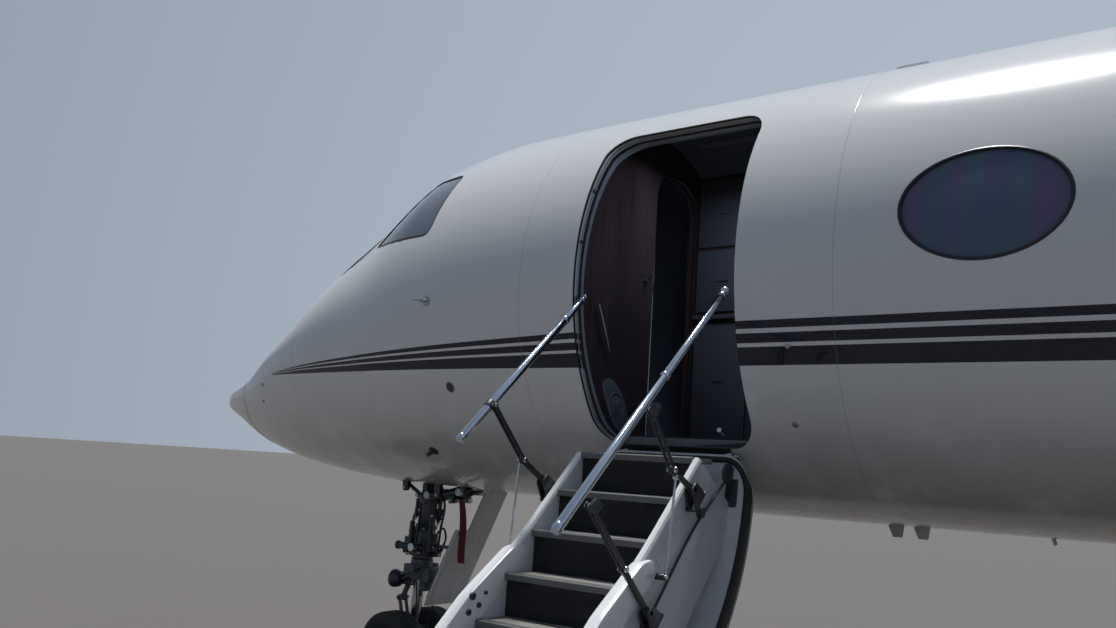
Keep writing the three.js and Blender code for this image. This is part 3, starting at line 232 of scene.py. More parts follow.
def group_of(name, inputs, outputs):
    """A shared shader group with named sockets: its tree, and the nodes that hold its sockets."""
    tree = bpy.data.node_groups.new(name, "ShaderNodeTree")
    for socket, kind, value in inputs:
        made = tree.interface.new_socket(socket, in_out="INPUT", socket_type=kind)
        if value is not None:
            made.default_value = value
    for socket, kind in outputs:
        tree.interface.new_socket(socket, in_out="OUTPUT", socket_type=kind)
    graph = Graph(tree)
    return tree, graph, graph.add("NodeGroupInput"), graph.add("NodeGroupOutput")


COLOUR, NUMBER, NORMAL = "NodeSocketColor", "NodeSocketFloat", "NodeSocketVector"


def weathering_group():
    """Thin dust and darker patches over a base colour, with the roughness they bring."""
    tree, g, given, out = group_of(
        "weathering",
        [("Colour", COLOUR, (0.8, 0.8, 0.8, 1)), ("Roughness", NUMBER, 0.4), ("Scale", NUMBER, 3.0),
         ("Amount", NUMBER, 0.3), ("Dirt", COLOUR, (0.25, 0.22, 0.19, 1))],
        [("Colour", COLOUR), ("Roughness", NUMBER)])
    place = g.place()
    broad = g.add("ShaderNodeTexNoise", Vector=place, Scale=given.outputs["Scale"], Detail=6.0,
                  Roughness=0.65)
    fine = g.noise(place, 90.0, 3.0)
    patches = g.ramp(broad.outputs["Fac"], 0.42, 0.72)
    grains = g.ramp(fine, 0.45, 0.75, 0.35, 1.0)
    mask = g.maths("MULTIPLY", g.maths("MULTIPLY", patches, grains), given.outputs["Amount"], clamp=True)
    g.feed(out.inputs["Colour"], g.mix(mask, given.outputs["Colour"], given.outputs["Dirt"]))
    g.feed(out.inputs["Roughness"], g.maths("ADD", given.outputs["Roughness"],
                                            g.maths("MULTIPLY", mask, 0.35), clamp=True))
    return tree


def seam_group():
    """A thin line at one place along a coordinate: 1 on the line, 0 off it."""
    tree, g, given, out = group_of(
        "panel_seam", [("Along", NUMBER, 0.0), ("Place", NUMBER, 0.0), ("Width", NUMBER, 0.004)],
        [("Line", NUMBER)])
    away = g.maths("ABSOLUTE", g.maths("SUBTRACT", given.outputs["Along"], given.outputs["Place"]))
    line = g.add("ShaderNodeMapRange", {"interpolation_type": "SMOOTHSTEP"}, Value=away,
                 From_Min=g.maths("MULTIPLY", given.outputs["Width"], 0.5), From_Max=given.outputs["Width"],
                 To_Min=1.0, To_Max=0.0)
    g.feed(out.inputs["Line"], line.outputs[0])
    return tree


def grain_group():
    """A fine bump from a noise."""
    tree, g, given, out = group_of(
        "fine_grain", [("Scale", NUMBER, 200.0), ("Strength", NUMBER, 0.1), ("Depth", NUMBER, 0.001)],
        [("Normal", NORMAL)])
    place = g.place()
    noise = g.add("ShaderNodeTexNoise", Vector=place, Scale=given.outputs["Scale"], Detail=4.0)
    bump = g.add("ShaderNodeBump", Strength=given.outputs["Strength"], Distance=given.outputs["Depth"],
                 Height=noise.outputs["Fac"])
    g.feed(out.inputs["Normal"], bump)
    return tree


SHARED = {"weathering": weathering_group(), "seam": seam_group(), "grain": grain_group()}


def use(g, name, **inputs):
    return g.add("ShaderNodeGroup", {"node_tree": SHARED[name]}, **inputs)


def new_material(name):
    material = bpy.data.materials.new(name)
    material.use_nodes = True
    return material, Graph(material.node_tree)


def shade(material, g, worn, **inputs):
    """Feed a worn finish's colour and roughness to the shader, then its other inputs by name."""
    shader = material.node_tree.nodes["Principled BSDF"]
    worn_inputs = {"Base_Color": worn.outputs["Colour"], "Roughness": worn.outputs["Roughness"]}
    for name, value in {**worn_inputs, **inputs}.items():
        g.feed(shader.inputs[name.replace("_", " ")], value)
    return material


def plain(name, colour, roughness):
    material, g = new_material(name)
    worn = use(g, "weathering", Colour=colour, Roughness=roughness, Scale=0.6, Amount=0.08)
    return shade(material, g, worn)


def finish_of(name, colour, roughness, metallic=0.0, coat=0.0, scale=4.0, dirt=0.2, grime=(0.1, 0.09, 0.08),
              grain=200.0, bump=0.15, depth=0.0006):
    """A worn finish: colour, dirt, grain and an optional clear coat."""
    material, g = new_material(name)
    worn = use(g, "weathering", Colour=colour, Roughness=roughness, Scale=scale, Amount=dirt, Dirt=grime)
    fine = use(g, "grain", Scale=grain, Strength=bump, Depth=depth)
    return shade(material, g, worn, Normal=fine.outputs["Normal"], Metallic=metallic, Coat_Weight=coat,
                 Coat_Roughness=0.04)


WHITE = (0.76, 0.77, 0.78)
NAVY = (0.003, 0.007, 0.026)

# The three stripes: upper and lower edge from the centreline, far aft of where they start
STRIPES = [(-0.282, -0.319), (-0.339, -0.383), (-0.400, -0.482)]
STRIPE_TIP_STATION, STRIPE_TIP_HEIGHT, STRIPE_SPREAD = 1.55, -0.455, 3.6

# Stations of the joints between skin panels
SKIN_SEAMS = [0.9, 1.92, 4.18, 5.92, 7.1, 9.6, 12.2, 15.0, 17.3, 19.8, 22.1]


def striped_paint(name, turn=None, shift=None, seams=SKIN_SEAMS, stripes=True):
    """Glossy white paint with the three dark stripes, panel joints, and dirt streaks low down that are made
    strong and dark to paint in the shade on the lower hull.
    """
    material, g = new_material(name)
    place = g.place()
    if turn:
        place = g.add("ShaderNodeMapping", Vector=place, Rotation=turn, Location=shift).outputs[0]
    axes = g.add("ShaderNodeSeparateXYZ", Vector=place)
    station = g.maths("ADD", axes.outputs[0], MID)
    height = g.maths("SUBTRACT", axes.outputs[2], AXIS)
    colour = use(g, "weathering", Colour=WHITE, Roughness=0.16, Scale=1.3, Amount=0.05,
                 Dirt=(0.5, 0.48, 0.45))
    base = colour.outputs["Colour"]
    if stripes:
        spread = g.maths("SUBTRACT", station, STRIPE_TIP_STATION)
        spread = g.maths("DIVIDE", spread, STRIPE_SPREAD, clamp=True)
        spread = g.maths("POWER", spread, 0.62)
        mask = None
        for top, low in STRIPES:
            edges = []
            for edge in (top, low):
                rise = g.maths("MULTIPLY", spread, edge - STRIPE_TIP_HEIGHT)
                edges.append(g.maths("ADD", rise, STRIPE_TIP_HEIGHT))
            below = g.maths("LESS_THAN", height, edges[0])
            above = g.maths("GREATER_THAN", height, edges[1])
            band = g.maths("MULTIPLY", below, above)
            mask = band if mask is None else g.maths("MAXIMUM", mask, band)
        behind = g.maths("GREATER_THAN", station, STRIPE_TIP_STATION)
        ahead = g.maths("LESS_THAN", station, 21.6)
        mask = g.maths("MULTIPLY", mask, g.maths("MULTIPLY", behind, ahead))
        base = g.mix(mask, base, NAVY)
    # Darker towards the bottom: dirt streaks, strengthened into painted shade on the lower hull and belly.
    low_dirt_and_shade = g.ramp(height, -0.45, -1.2, 0.0, 0.62)
    streaks = g.noise(place, 3.0, 5.0, 0.6, (1.0, 1.0, 0.25))
    base = g.mix(g.maths("MULTIPLY", low_dirt_and_shade, g.ramp(streaks, 0.2, 0.6)), base, (0.34, 0.315, 0.285))
    lines = None
    for seam in seams:
        line = use(g, "seam", Along=station, Place=seam, Width=0.0035).outputs["Line"]
        lines = line if lines is None else g.maths("MAXIMUM", lines, line)
    if lines is not None:
        base = g.mix(g.maths("MULTIPLY", lines, 0.3), base, (0.22, 0.22, 0.23))
    fine = g.noise(place, 30.0, 2.0)
    height_map = g.maths("MULTIPLY", fine, 0.12)
    if lines is not None:
        height_map = g.maths("SUBTRACT", height_map, lines)
    bump = g.add("ShaderNodeBump", Strength=0.3, Distance=0.0008, Height=height_map)
    return shade(material, g, colour, Base_Color=base, Normal=bump, Specular_IOR_Level=0.3, Coat_Weight=0.5,
                 Coat_Roughness=0.03)


def tinted_glass(name, colour, roughness=0.03, clear=0.0):
    """Dark glass with a faint film of dust, seen mostly by what it reflects."""
    material, g = new_material(name)
    film = use(g, "weathering", Colour=colour, Roughness=roughness, Scale=6.0, Amount=0.06,
               Dirt=(0.4, 0.4, 0.4))
    return shade(material, g, film, Transmission_Weight=clear, Specular_IOR_Level=0.7, Coat_Weight=1.0,
                 Coat_Roughness=0.02)


def reflection_banded_glass(name):
    """Cabin glass: a dark tint lifted to blue by a painted sky reflection, with faint upright bands of blue,
    green and red that are painted reflections too.
    """
    material, g = new_material(name)
    place = g.place()
    # Painted reflections: upright colour bands and a blue lift over the dark glass, while the real
    # reflection is kept weak.
    reflection_bands = g.noise(place, 1.0, 1.0, 0.4, (9.0, 0.6, 0.8))
    tint_and_reflection = g.mix(g.ramp(reflection_bands, 0.40, 0.62), (0.110, 0.130, 0.225), (0.098, 0.155, 0.205))
    tint_and_reflection = g.mix(g.ramp(g.noise(place, 1.0, 1.0, 0.4, (7.0, 0.5, 0.6)), 0.48, 0.70), tint_and_reflection,
                 (0.145, 0.122, 0.222))
    film = use(g, "weathering", Colour=tint_and_reflection, Roughness=0.16, Scale=5.0, Amount=0.05, Dirt=(0.3, 0.3, 0.3))
    return shade(material, g, film, Specular_IOR_Level=0.22)


def glossy_wood(name, dark, light):
    """Varnished wood: long upright grain in two browns with fine pores, under a clear coat."""
    material, g = new_material(name)
    place = g.place()
    broad = g.noise(place, 1.6, 4.0, 0.6, (3.0, 3.0, 0.35))
    fine = g.noise(place, 12.0, 5.0, 0.7, (4.0, 4.0, 0.25))
    figure = g.mix(g.ramp(broad, 0.35, 0.68), dark, light)
    figure = g.mix(g.maths("MULTIPLY", g.ramp(fine, 0.5, 0.7), 0.55), figure, (0.012, 0.006, 0.004))
    worn = use(g, "weathering", Colour=figure, Roughness=0.30, Scale=2.5, Amount=0.1,
               Dirt=(0.10, 0.08, 0.07))
    bump = g.add("ShaderNodeBump", Strength=0.12, Distance=0.0004, Height=fine)
    return shade(material, g, worn, Normal=bump, Coat_Weight=0.5, Coat_Roughness=0.18)


def leather_finish(name, colour):
    """Leather: small pebbled cells with painted shade in the creases, and soft colour changes."""
    material, g = new_material(name)
    place = g.place()
    cells = g.add("ShaderNodeTexVoronoi", {"feature": "DISTANCE_TO_EDGE"}, Vector=place,
                  Scale=260.0).outputs["Distance"]
    crease_depth_and_shade = g.ramp(cells, 0.0, 0.08)
    worn = use(g, "weathering", Colour=colour, Roughness=0.42, Scale=5.0, Amount=0.25,
               Dirt=(0.06, 0.05, 0.045))
    # Painted shade: the creases between the cells are darkened, and the same mask sinks them in the bump.
    tone = g.mix(crease_depth_and_shade, (0.03, 0.026, 0.024), worn.outputs["Colour"])
    bump = g.add("ShaderNodeBump", Strength=0.5, Distance=0.0008, Height=crease_depth_and_shade)
    return shade(material, g, worn, Base_Color=tone, Normal=bump)


def glowing(name, colour, strength):
    """A lamp's dusty glass that glows by itself."""
    material, g = new_material(name)
    film = use(g, "weathering", Colour=colour, Roughness=0.3, Scale=8.0, Amount=0.2, Dirt=(0.3, 0.28, 0.25))
    return shade(material, g, film, Emission_Color=film.outputs["Colour"], Emission_Strength=strength)


# Mesh makers

def keep(bm, name, material, body="airframe", smooth=35.0):
    """Turn a bmesh into a named piece that rides on a body."""
    limit = math.radians(smooth)
    for edge in bm.edges:
        if len(edge.link_faces) == 2 and edge.calc_face_angle(0.0) > limit:
            edge.smooth = False
    for face in bm.faces:
        face.smooth = smooth > 0
    piece = linked(name, mesh_of(bm, name))
    piece.data.materials.append(material)
    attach(piece, body)
    return piece


def outward(bm):
    bmesh.ops.recalc_face_normals(bm, faces=bm.faces)
    return bm


def open_edges(bm):
    return [edge for edge in bm.edges if edge.is_boundary]


def round_edges(bm, edges, width, segments=2):
    bmesh.ops.bevel(bm, geom=edges, offset=width, segments=segments, affect="EDGES", profile=0.5,
                    material=-1)


def loft(sections, capped=True):
    """A skin through sections, loops of points that all have the same number of points."""
    rows, sides = len(sections), len(sections[0])
    bm = bmesh.new()
    bmesh.ops.create_grid(bm, x_segments=rows - 1, y_segments=sides, size=0.5)
    for vertex in bm.verts:
        row = round((vertex.co.x + 0.5) * (rows - 1))
        side = round((vertex.co.y + 0.5) * sides) % sides
        vertex.co = sections[row][side]
    bmesh.ops.remove_doubles(bm, verts=bm.verts, dist=1e-5)
    if capped:
        bmesh.ops.holes_fill(bm, edges=open_edges(bm), sides=0)
    return outward(bm)


def ring_loft(sections):
    """A skin through sections whose last row joins the first."""
    bm = loft(sections, capped=False)
    bmesh.ops.bridge_loops(bm, edges=open_edges(bm))
    return outward(bm)


def merged(*parts):
    """One bmesh from several."""
    whole = bmesh.new()
    for part in parts:
        mesh = mesh_of(part, "part")
        whole.from_mesh(mesh)
        bpy.data.meshes.remove(mesh)
    return whole


def turned(profile, sides=32, axis="X", centre=(0, 0, 0)):
    """A solid of revolution: a profile of (along, radius) pairs spun about an axis through a centre."""
    along = Vector({"X": (1, 0, 0), "Y": (0, 1, 0), "Z": (0, 0, 1)}[axis])
    out = Vector((0, 0, 1)) if axis != "Z" else Vector((1, 0, 0))
    bm = bmesh.new()
    points = [bm.verts.new(along * place + out * radius) for place, radius in profile]
    edges = [bm.edges.new(pair) for pair in zip(points, points[1:])]
    bmesh.ops.spin(bm, geom=points + edges, cent=(0, 0, 0), axis=along, angle=2 * math.pi, steps=sides,
                   use_merge=True)
    bmesh.ops.remove_doubles(bm, verts=bm.verts, dist=1e-5)
    rims = open_edges(bm)
    if rims:
        bmesh.ops.holes_fill(bm, edges=rims, sides=0)
    return moved(outward(bm), centre)


def rod(start, end, radius, end_radius=None, sides=16, bevel=0.0):
    """A round bar between two points, with softened ends."""
    start, end = Vector(start), Vector(end)
    along = end - start
    bm = bmesh.new()
    bmesh.ops.create_cone(bm, cap_ends=True, segments=sides, radius1=radius,
                          radius2=radius if end_radius is None else end_radius, depth=along.length)
    if bevel:
        rims = [edge for edge in bm.edges if abs(edge.verts[0].co.z - edge.verts[1].co.z) < 1e-6]
        round_edges(bm, rims, bevel)
    turn = along.to_track_quat("Z", "Y").to_matrix().to_4x4()
    bm.transform(Matrix.Translation((start + end) / 2) @ turn)
    return bm


def cross_rod(x, y, z, half, radius, **shape):
    """A round bar across the aircraft, with its middle at a place."""
    return rod((x, y - half, z), (x, y + half, z), radius, **shape)


def turn_about(centre, angle, axis):
    turn = Matrix.Rotation(angle, 4, axis)
    return Matrix.Translation(centre) @ turn @ Matrix.Translation(-Vector(centre))


def moved(bm, way):
    bmesh.ops.translate(bm, verts=bm.verts, vec=way)
    return bm


def box(low, high, bevel=0.0, segments=2):
    low, high = Vector(low), Vector(high)
    bm = bmesh.new()
    bmesh.ops.create_cube(bm, size=1.0)
    size = high - low
    bm.transform(Matrix.Translation((low + high) / 2) @ Matrix.Diagonal((*size, 1)))
    if bevel:
        round_edges(bm, bm.edges, bevel, segments)
    return bm


def arc(centre, radius, start, end, steps):
    """Points of an arc, angles in degrees."""
    points = []
    for step in range(steps + 1):
        angle = math.radians(start + (end - start) * step / steps)
        points.append((centre[0] + radius * math.cos(angle), centre[1] + radius * math.sin(angle)))
    return points


def rounded_rect(left, low, right, high, radius, steps=6):
    return (arc((right - radius, high - radius), radius, 0, 90, steps)
            + arc((left + radius, high - radius), radius, 90, 180, steps)
            + arc((left + radius, low + radius), radius, 180, 270, steps)
            + arc((right - radius, low + radius), radius, 270, 360, steps))


def oval(centre, half_width, half_height, steps=48):
    return [(centre[0] + half_width * math.cos(2 * math.pi * step / steps),
             centre[1] + half_height * math.sin(2 * math.pi * step / steps)) for step in range(steps)]


def plate(outline, low, high, axis="Y", bevel=0.0):
    """A flat outline given thickness along an axis. On Y it is (x, z), on Z (x, y), on X (y, z)."""
    corners = {"Y": lambda a, b: (a, low, b), "Z": lambda a, b: (a, b, low),
               "X": lambda a, b: (low, a, b)}[axis]
    bm = bmesh.new()
    face = bm.faces.new([bm.verts.new(corners(a, b)) for a, b in outline])
    grown = bmesh.ops.extrude_face_region(bm, geom=[face])["geom"]
    moving = [item for item in grown if isinstance(item, bmesh.types.BMVert)]
    shift = {"X": (high - low, 0, 0), "Y": (0, high - low, 0), "Z": (0, 0, high - low)}[axis]
    bmesh.ops.translate(bm, verts=moving, vec=shift)
    outward(bm)
    if bevel:
        round_edges(bm, [edge for edge in bm.edges if edge.calc_face_angle(0.0) > 0.9], bevel)
    return bm


def ellipsoid(centre, half_sizes, columns=24, rows=14):
    bm = bmesh.new()
    bmesh.ops.create_uvsphere(bm, u_segments=columns, v_segments=rows, radius=1.0)
    bm.transform(Matrix.Translation(centre) @ Matrix.Diagonal((*half_sizes, 1)))
    return bm


def tube(path, radius, sides=10, closed=False):
    """A round tube along a path of points."""
    points = [Vector(point) for point in path]
    count = len(points)
    sections = []
    side = None
    for index, point in enumerate(points):
        before = points[index - 1] if index or closed else point
        after = points[(index + 1) % count] if index + 1 < count or closed else point
        along = (after - before).normalized()
        if side is None:
            side = along.orthogonal().normalized()
        side = (side - along * side.dot(along)).normalized()
        other = along.cross(side)
        ring = []
        for step in range(sides):
            angle = 2 * math.pi * step / sides
            ring.append(point + radius * (math.cos(angle) * side + math.sin(angle) * other))
        sections.append(ring)
    return ring_loft(sections) if closed else loft(sections)


def smooth_path(corners, steps=6):
    """A rounded route through its corner points."""
    points = [Vector(corner) for corner in corners]
    ends = [points[0] * 2 - points[1], *points, points[-1] * 2 - points[-2]]
    path = []
    for index in range(1, len(ends) - 2):
        a, b, c, d = ends[index - 1:index + 3]
        for step in range(steps):
            t = step / steps
            path.append(0.5 * ((2 * b) + (c - a) * t + (2 * a - 5 * b + 4 * c - d) * t * t
                               + (3 * b - a - 3 * c + d) * t ** 3))
    return [*path, points[-1]]


def scratch(bm):
    """A passing object that other tools can work on."""
    return linked("scratch", mesh_of(bm, "scratch"))


def taken(piece):
    """The bmesh of a passing object, which is removed."""
    bm = bmesh.new()
    bm.from_mesh(piece.data)
    mesh = piece.data
    bpy.data.objects.remove(piece)
    bpy.data.meshes.remove(mesh)
    return bm


def carve(piece, cutters, operation="DIFFERENCE"):
    """Cut bmesh solids out of a piece, or keep what lies inside them, and make the result its mesh."""
    for cutter in cutters:
        tool = scratch(cutter)
        modifier = piece.modifiers.new("cut", "BOOLEAN")
        modifier.operation = operation
        modifier.solver = "EXACT"
        modifier.object = tool
        bpy.context.view_layer.update()
        shaped = bpy.data.meshes.new_from_object(piece.evaluated_get(bpy.context.evaluated_depsgraph_get()))
        piece.modifiers.clear()
        old = piece.data
        piece.data = shaped
        shaped.name = piece.name
        bpy.data.meshes.remove(old)
        taken(tool).free()
    bm = bmesh.new()
    bm.from_mesh(piece.data)
    for edge in bm.edges:
        sharp = len(edge.link_faces) == 2 and edge.calc_face_angle(0.0) > math.radians(30)
        edge.smooth = not sharp
    for face in bm.faces:
        face.smooth = True
    bm.to_mesh(piece.data)
    bm.free()
    return piece


# Hull

def curve_through(places, values):
    """A smooth curve through values at places that adds no bumps of its own."""
    slopes = [(b - a) / (s - r) for a, b, r, s in zip(values, values[1:], places, places[1:])]
    tangents = [slopes[0]]
    for before, after in zip(slopes, slopes[1:]):
        tangents.append(0.0 if before * after <= 0 else 2 * before * after / (before + after))
    tangents.append(slopes[-1])

    def value_at(place):
        last = max(i for i in range(len(places) - 1) if places[i] <= place or i == 0)
        span = places[last + 1] - places[last]
        t = (place - places[last]) / span
        return ((2 * t ** 3 - 3 * t ** 2 + 1) * values[last] + (t ** 3 - 2 * t ** 2 + t) * span
                * tangents[last] + (3 * t ** 2 - 2 * t ** 3) * values[last + 1] + (t ** 3 - t ** 2) * span
                * tangents[last + 1])

    return value_at


def hull_curve(index):
    """The curve through one column of the hull table, run on the square root of the station."""
    curve = curve_through([math.sqrt(row[0]) for row in HULL], [row[index] for row in HULL])
    return lambda station: curve(math.sqrt(max(station, 0.0)))


crown_at, keel_at, half_at, widest_at = (hull_curve(index) for index in range(1, 5))


def hull_point(station, angle, inset=0.0):
    half = max(half_at(station) - inset, 0.0)
    middle = widest_at(station)
    lift = math.sin(angle)
    reach = (crown_at(station) - middle if lift > 0 else middle - keel_at(station)) - inset
    if half == 0.0:
        reach = 0.0
    return Vector(at(station, half * math.cos(angle), AXIS + middle + reach * lift))


def hull_y(x, z, inset=0.0):
    """Half width of the hull at a place along it and a height."""
    station = x + MID
    half, middle = half_at(station) - inset, widest_at(station)
    up = z - AXIS - middle
    reach = (crown_at(station) - middle if up > 0 else middle - keel_at(station)) - inset
    return half * math.sqrt(max(1 - (up / reach) ** 2, 0.0))


def hull_normal(point):
    """Outward direction of the hull's outer surface near a point."""
    station = point.x + MID

    def level(x, y, z):
        middle = widest_at(x + MID)
        up = z - AXIS - middle
        reach = crown_at(x + MID) - middle if up > 0 else middle - keel_at(x + MID)
        return (y / max(half_at(x + MID), 1e-4)) ** 2 + (up / max(reach, 1e-4)) ** 2

    step = 0.004
    if station < 0.02:
        return Vector((-1, 0, 0))
    slope = (level(point.x + step, point.y, point.z) - level(point.x - step, point.y, point.z)) / (2 * step)
    side = (level(point.x, point.y + step, point.z) - level(point.x, point.y - step, point.z)) / (2 * step)
    rise = (level(point.x, point.y, point.z + step) - level(point.x, point.y, point.z - step)) / (2 * step)
    return Vector((slope, side, rise)).normalized()


def hull_stations(start, end, spacing):
    count = max(2, round((end - start) / spacing))
    return [start + (end - start) * index / count for index in range(count + 1)]


def hull_ring(station, inset=0.0, sides=HULL_SIDES):
    return [hull_point(station, 2 * math.pi * index / sides, inset) for index in range(sides)]


def hull_solid(stations, inset=0.0):
    return loft([hull_ring(station, inset) for station in stations])


def hull_shell(stations, outer=0.0, inner=WALL):
    """A wall between two depths below the hull's surface, with a flat end all round at both ends."""
    outside = [hull_ring(station, outer) for station in stations]
    inside = [hull_ring(station, inner) for station in stations]
    return ring_loft(outside + inside[::-1])


def true_normals(piece):
    """Give the outer skin the shading of the smooth hull, so that cuts leave no dents in reflections."""
    mesh = piece.data
    normals = []
    wanted = {}
    for face in mesh.polygons:
        for loop in face.loop_indices:
            index = mesh.loops[loop].vertex_index
            if index not in wanted:
                wanted[index] = hull_normal(mesh.vertices[index].co)
            normal = wanted[index]
            normals.append(normal if normal.dot(face.normal) > 0.93 else face.normal)
    mesh.normals_split_custom_set(normals)


def side_cutter(outline, low=-2.0, high=-0.6):
    return plate(outline, low, high)


def mirror_y(bm):
    bmesh.ops.scale(bm, vec=(1, -1, 1), verts=bm.verts)
    bmesh.ops.reverse_faces(bm, faces=bm.faces)
    return bm


def both_sides(make):
    return [make(), mirror_y(make())]


window_stations = [WINDOW_FIRST + WINDOW_PITCH * index for index in range(WINDOW_COUNT)]


def window_cutter(station):
    return side_cutter(oval((station - MID, WINDOW_HEIGHT), WINDOW_HALF_WIDTH, WINDOW_HALF_HEIGHT))


# Baggage door: front, aft, low and high edges, and the radius of its corners
BAGGAGE = (15.70, 16.42, AXIS - 0.32, AXIS + 0.48, 0.07)

# Cockpit glazing from ahead (across, up) and from the side (station, up), heights from the centreline
FRONT_PANE = [(0.045, 0.13), (0.045, 0.85), (0.48, 0.80), (0.66, 0.18)]
FRONT_PANE_END = 2.7
SIDE_PANES = [
    [(2.20, 0.22), (2.59, 0.345), (2.93, 0.81), (2.86, 0.78)],
    [(2.665, 0.366), (3.345, 0.352), (3.365, 0.82), (3.01, 0.84)],
]


def softened(corners, radius, steps=5):
    """A polygon whose corners are rounded by short curves."""
    points = [Vector((a, b)) for a, b in corners]
    outline = []
    for index, corner in enumerate(points):
        before, after = points[index - 1], points[(index + 1) % len(points)]
        start = corner + (before - corner).normalized() * min(radius, 0.45 * (before - corner).length)
        end = corner + (after - corner).normalized() * min(radius, 0.45 * (after - corner).length)
        for step in range(steps + 1):
            t = step / steps
            outline.append(tuple((1 - t) ** 2 * start + 2 * t * (1 - t) * corner + t * t * end))
    return outline


def grown(corners, amount):
    """A polygon whose sides are moved outwards by an amount."""
    points = [Vector(corner) for corner in corners]
    turn = sum(a.x * b.y - b.x * a.y for a, b in zip(points, points[1:] + points[:1]))
    out = []
    for index, corner in enumerate(points):
        first = (corner - points[index - 1]).normalized()
        second = (points[(index + 1) % len(points)] - corner).normalized()
        normals = [Vector((way.y, -way.x)) * (1 if turn > 0 else -1) for way in (first, second)]
        middle = (normals[0] + normals[1]).normalized()
        out.append(tuple(corner + middle * amount / max(middle.dot(normals[0]), 0.35)))
    return out


def front_prism(amount=0.0):
    """The starboard front pane's outline, grown by an amount and run aft through the skin."""
    outline = [(across, AXIS + up) for across, up in softened(grown(FRONT_PANE, amount), 0.06)]
    return plate(outline, NOSE_JOINT - MID, FRONT_PANE_END - MID, axis="X")


def side_prism(corners, amount=0.0, radius=0.05):
    """A port side pane's outline, grown by an amount and run through the skin."""
    outline = [(station - MID, AXIS + up) for station, up in softened(grown(corners, amount), radius)]
    return side_cutter(outline, -2.0, -0.3)


def door_outline(shrink):
    return rounded_rect(DOOR_FRONT + shrink - MID, DOOR_LOW + shrink, DOOR_AFT - shrink - MID,
                        DOOR_HIGH - shrink, DOOR_CORNER - shrink, steps=8)


def build_hull(paint):
    """The four lengths of skin, with their windows, doorway and wheel bay cut through the wall."""
    nose = loft([hull_ring(station) for station in [0.0, 0.004, 0.015, 0.035, 0.07, 0.12, 0.19, 0.28, 0.39,
                                                    0.52, 0.66, 0.79, NOSE_JOINT - 0.0015]])
    radome = keep(nose, "nose_cone", paint)
    true_normals(radome)
    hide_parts("radome")
    front = keep(hull_shell(hull_stations(NOSE_JOINT, FRONT_JOINT, 0.11)), "front_skin", paint)
    wheel_bay = box(at(2.33, -0.185, 1.2), at(3.15, 0.185, 1.75))
    cuts = [*both_sides(front_prism), side_cutter(door_outline(0.0)),
            *both_sides(lambda: window_cutter(window_stations[0])), wheel_bay]
    for corners in SIDE_PANES:
        cuts += both_sides(lambda: side_prism(corners, radius=0.07))
    carve(front, cuts)
    true_normals(front)
    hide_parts("fuselage_front")
    cabin = keep(hull_shell(hull_stations(FRONT_JOINT + 0.001, CABIN_JOINT - 0.001, 0.4)), "cabin_skin",
                 paint)
    carve(cabin, [cut for station in window_stations[1:]
                  for cut in both_sides(lambda: window_cutter(station))])
    true_normals(cabin)
    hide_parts("fuselage_cabin")
    tail = keep(hull_shell(hull_stations(CABIN_JOINT, TAIL_END, 0.2)), "tail_skin", paint)
    opening_front, opening_aft, low, high, radius = BAGGAGE
    carve(tail, [side_cutter(rounded_rect(opening_front - MID, low, opening_aft - MID, high, radius))])
    true_normals(tail)
    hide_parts("fuselage_tail")


def on_hull(x, z, side, inset=0.0):
    return Vector((x, side * hull_y(x, z, inset), z))


def hull_route(outline, side, inset, spacing=0.06):
    """A closed outline laid on the hull at a depth, with enough points to follow its curve."""
    route = []
    for (a, b), (c, d) in zip(outline, outline[1:] + outline[:1]):
        count = max(1, round(math.hypot(c - a, d - b) / spacing))
        route += [on_hull(a + (c - a) * step / count, b + (d - b) * step / count, side, inset)
                  for step in range(count)]
    return route


def pane_on_hull(outline, side, inset, thickness=0.006, rings=6):
    """A curved pane: a flat fan of the outline, drawn in towards its middle and laid on the hull."""
    middle = Vector((sum(p[0] for p in outline) / len(outline), sum(p[1] for p in outline) / len(outline)))
    sections = []
    for ring in range(rings + 1):
        share = 1 - ring / rings
        sections.append([on_hull(middle.x + (a - middle.x) * share, middle.y + (b - middle.y) * share, side,
                                 inset) for a, b in outline])
    bm = loft(sections, capped=False)
    if sum(face.normal.y for face in bm.faces) * side < 0:
        bmesh.ops.reverse_faces(bm, faces=bm.faces)
    bmesh.ops.solidify(bm, geom=bm.faces, thickness=thickness)
    return bm


def build_cabin_windows(glass, rim):
    for side, word in ((-1, "left"), (1, "right")):
        panes, rims = [], []
        for station in window_stations:
            x = station - MID
            inner = oval((x, WINDOW_HEIGHT), WINDOW_HALF_WIDTH - 0.012, WINDOW_HALF_HEIGHT - 0.012)
            panes.append(pane_on_hull(inner, side, 0.012))
            route = [on_hull(a, b, side, 0.004)
                     for a, b in oval((x, WINDOW_HEIGHT), WINDOW_HALF_WIDTH - 0.006,
                                      WINDOW_HALF_HEIGHT - 0.006)]
            rims.append(tube(route, 0.008, 8, closed=True))
        windows = keep(merged(*panes), f"cabin_panes_{word}", glass)
        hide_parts(f"cabin_windows_{word}")
        keep(merged(*rims), f"window_rims_{word}", rim)


# Stair. Its pieces are drawn with the door shut: offset along the aircraft, into the cabin, up the door.

STAIR_TURN = Matrix.Translation(HINGE) @ Matrix.Rotation(OPEN_ANGLE, 4, "X")
SHUT_TO_OPEN = turn_about(HINGE, OPEN_ANGLE, "X")
STEP_RISE, STEP_FIRST, STEP_COUNT = 0.1875, -0.02, 6
STEP_LINE, STEP_DEPTH, STEP_THICKNESS, STEP_OVERHANG = 0.285, 0.205, 0.026, 0.02
PANEL_INNER, PANEL_OUTER = 0.310, 0.345
PANEL_EDGE = [(-0.030, 0.110), (0.262, 0.300), (0.300, 0.950), (0.368, 1.320), (0.378, 1.560),
              (0.280, 1.640)]


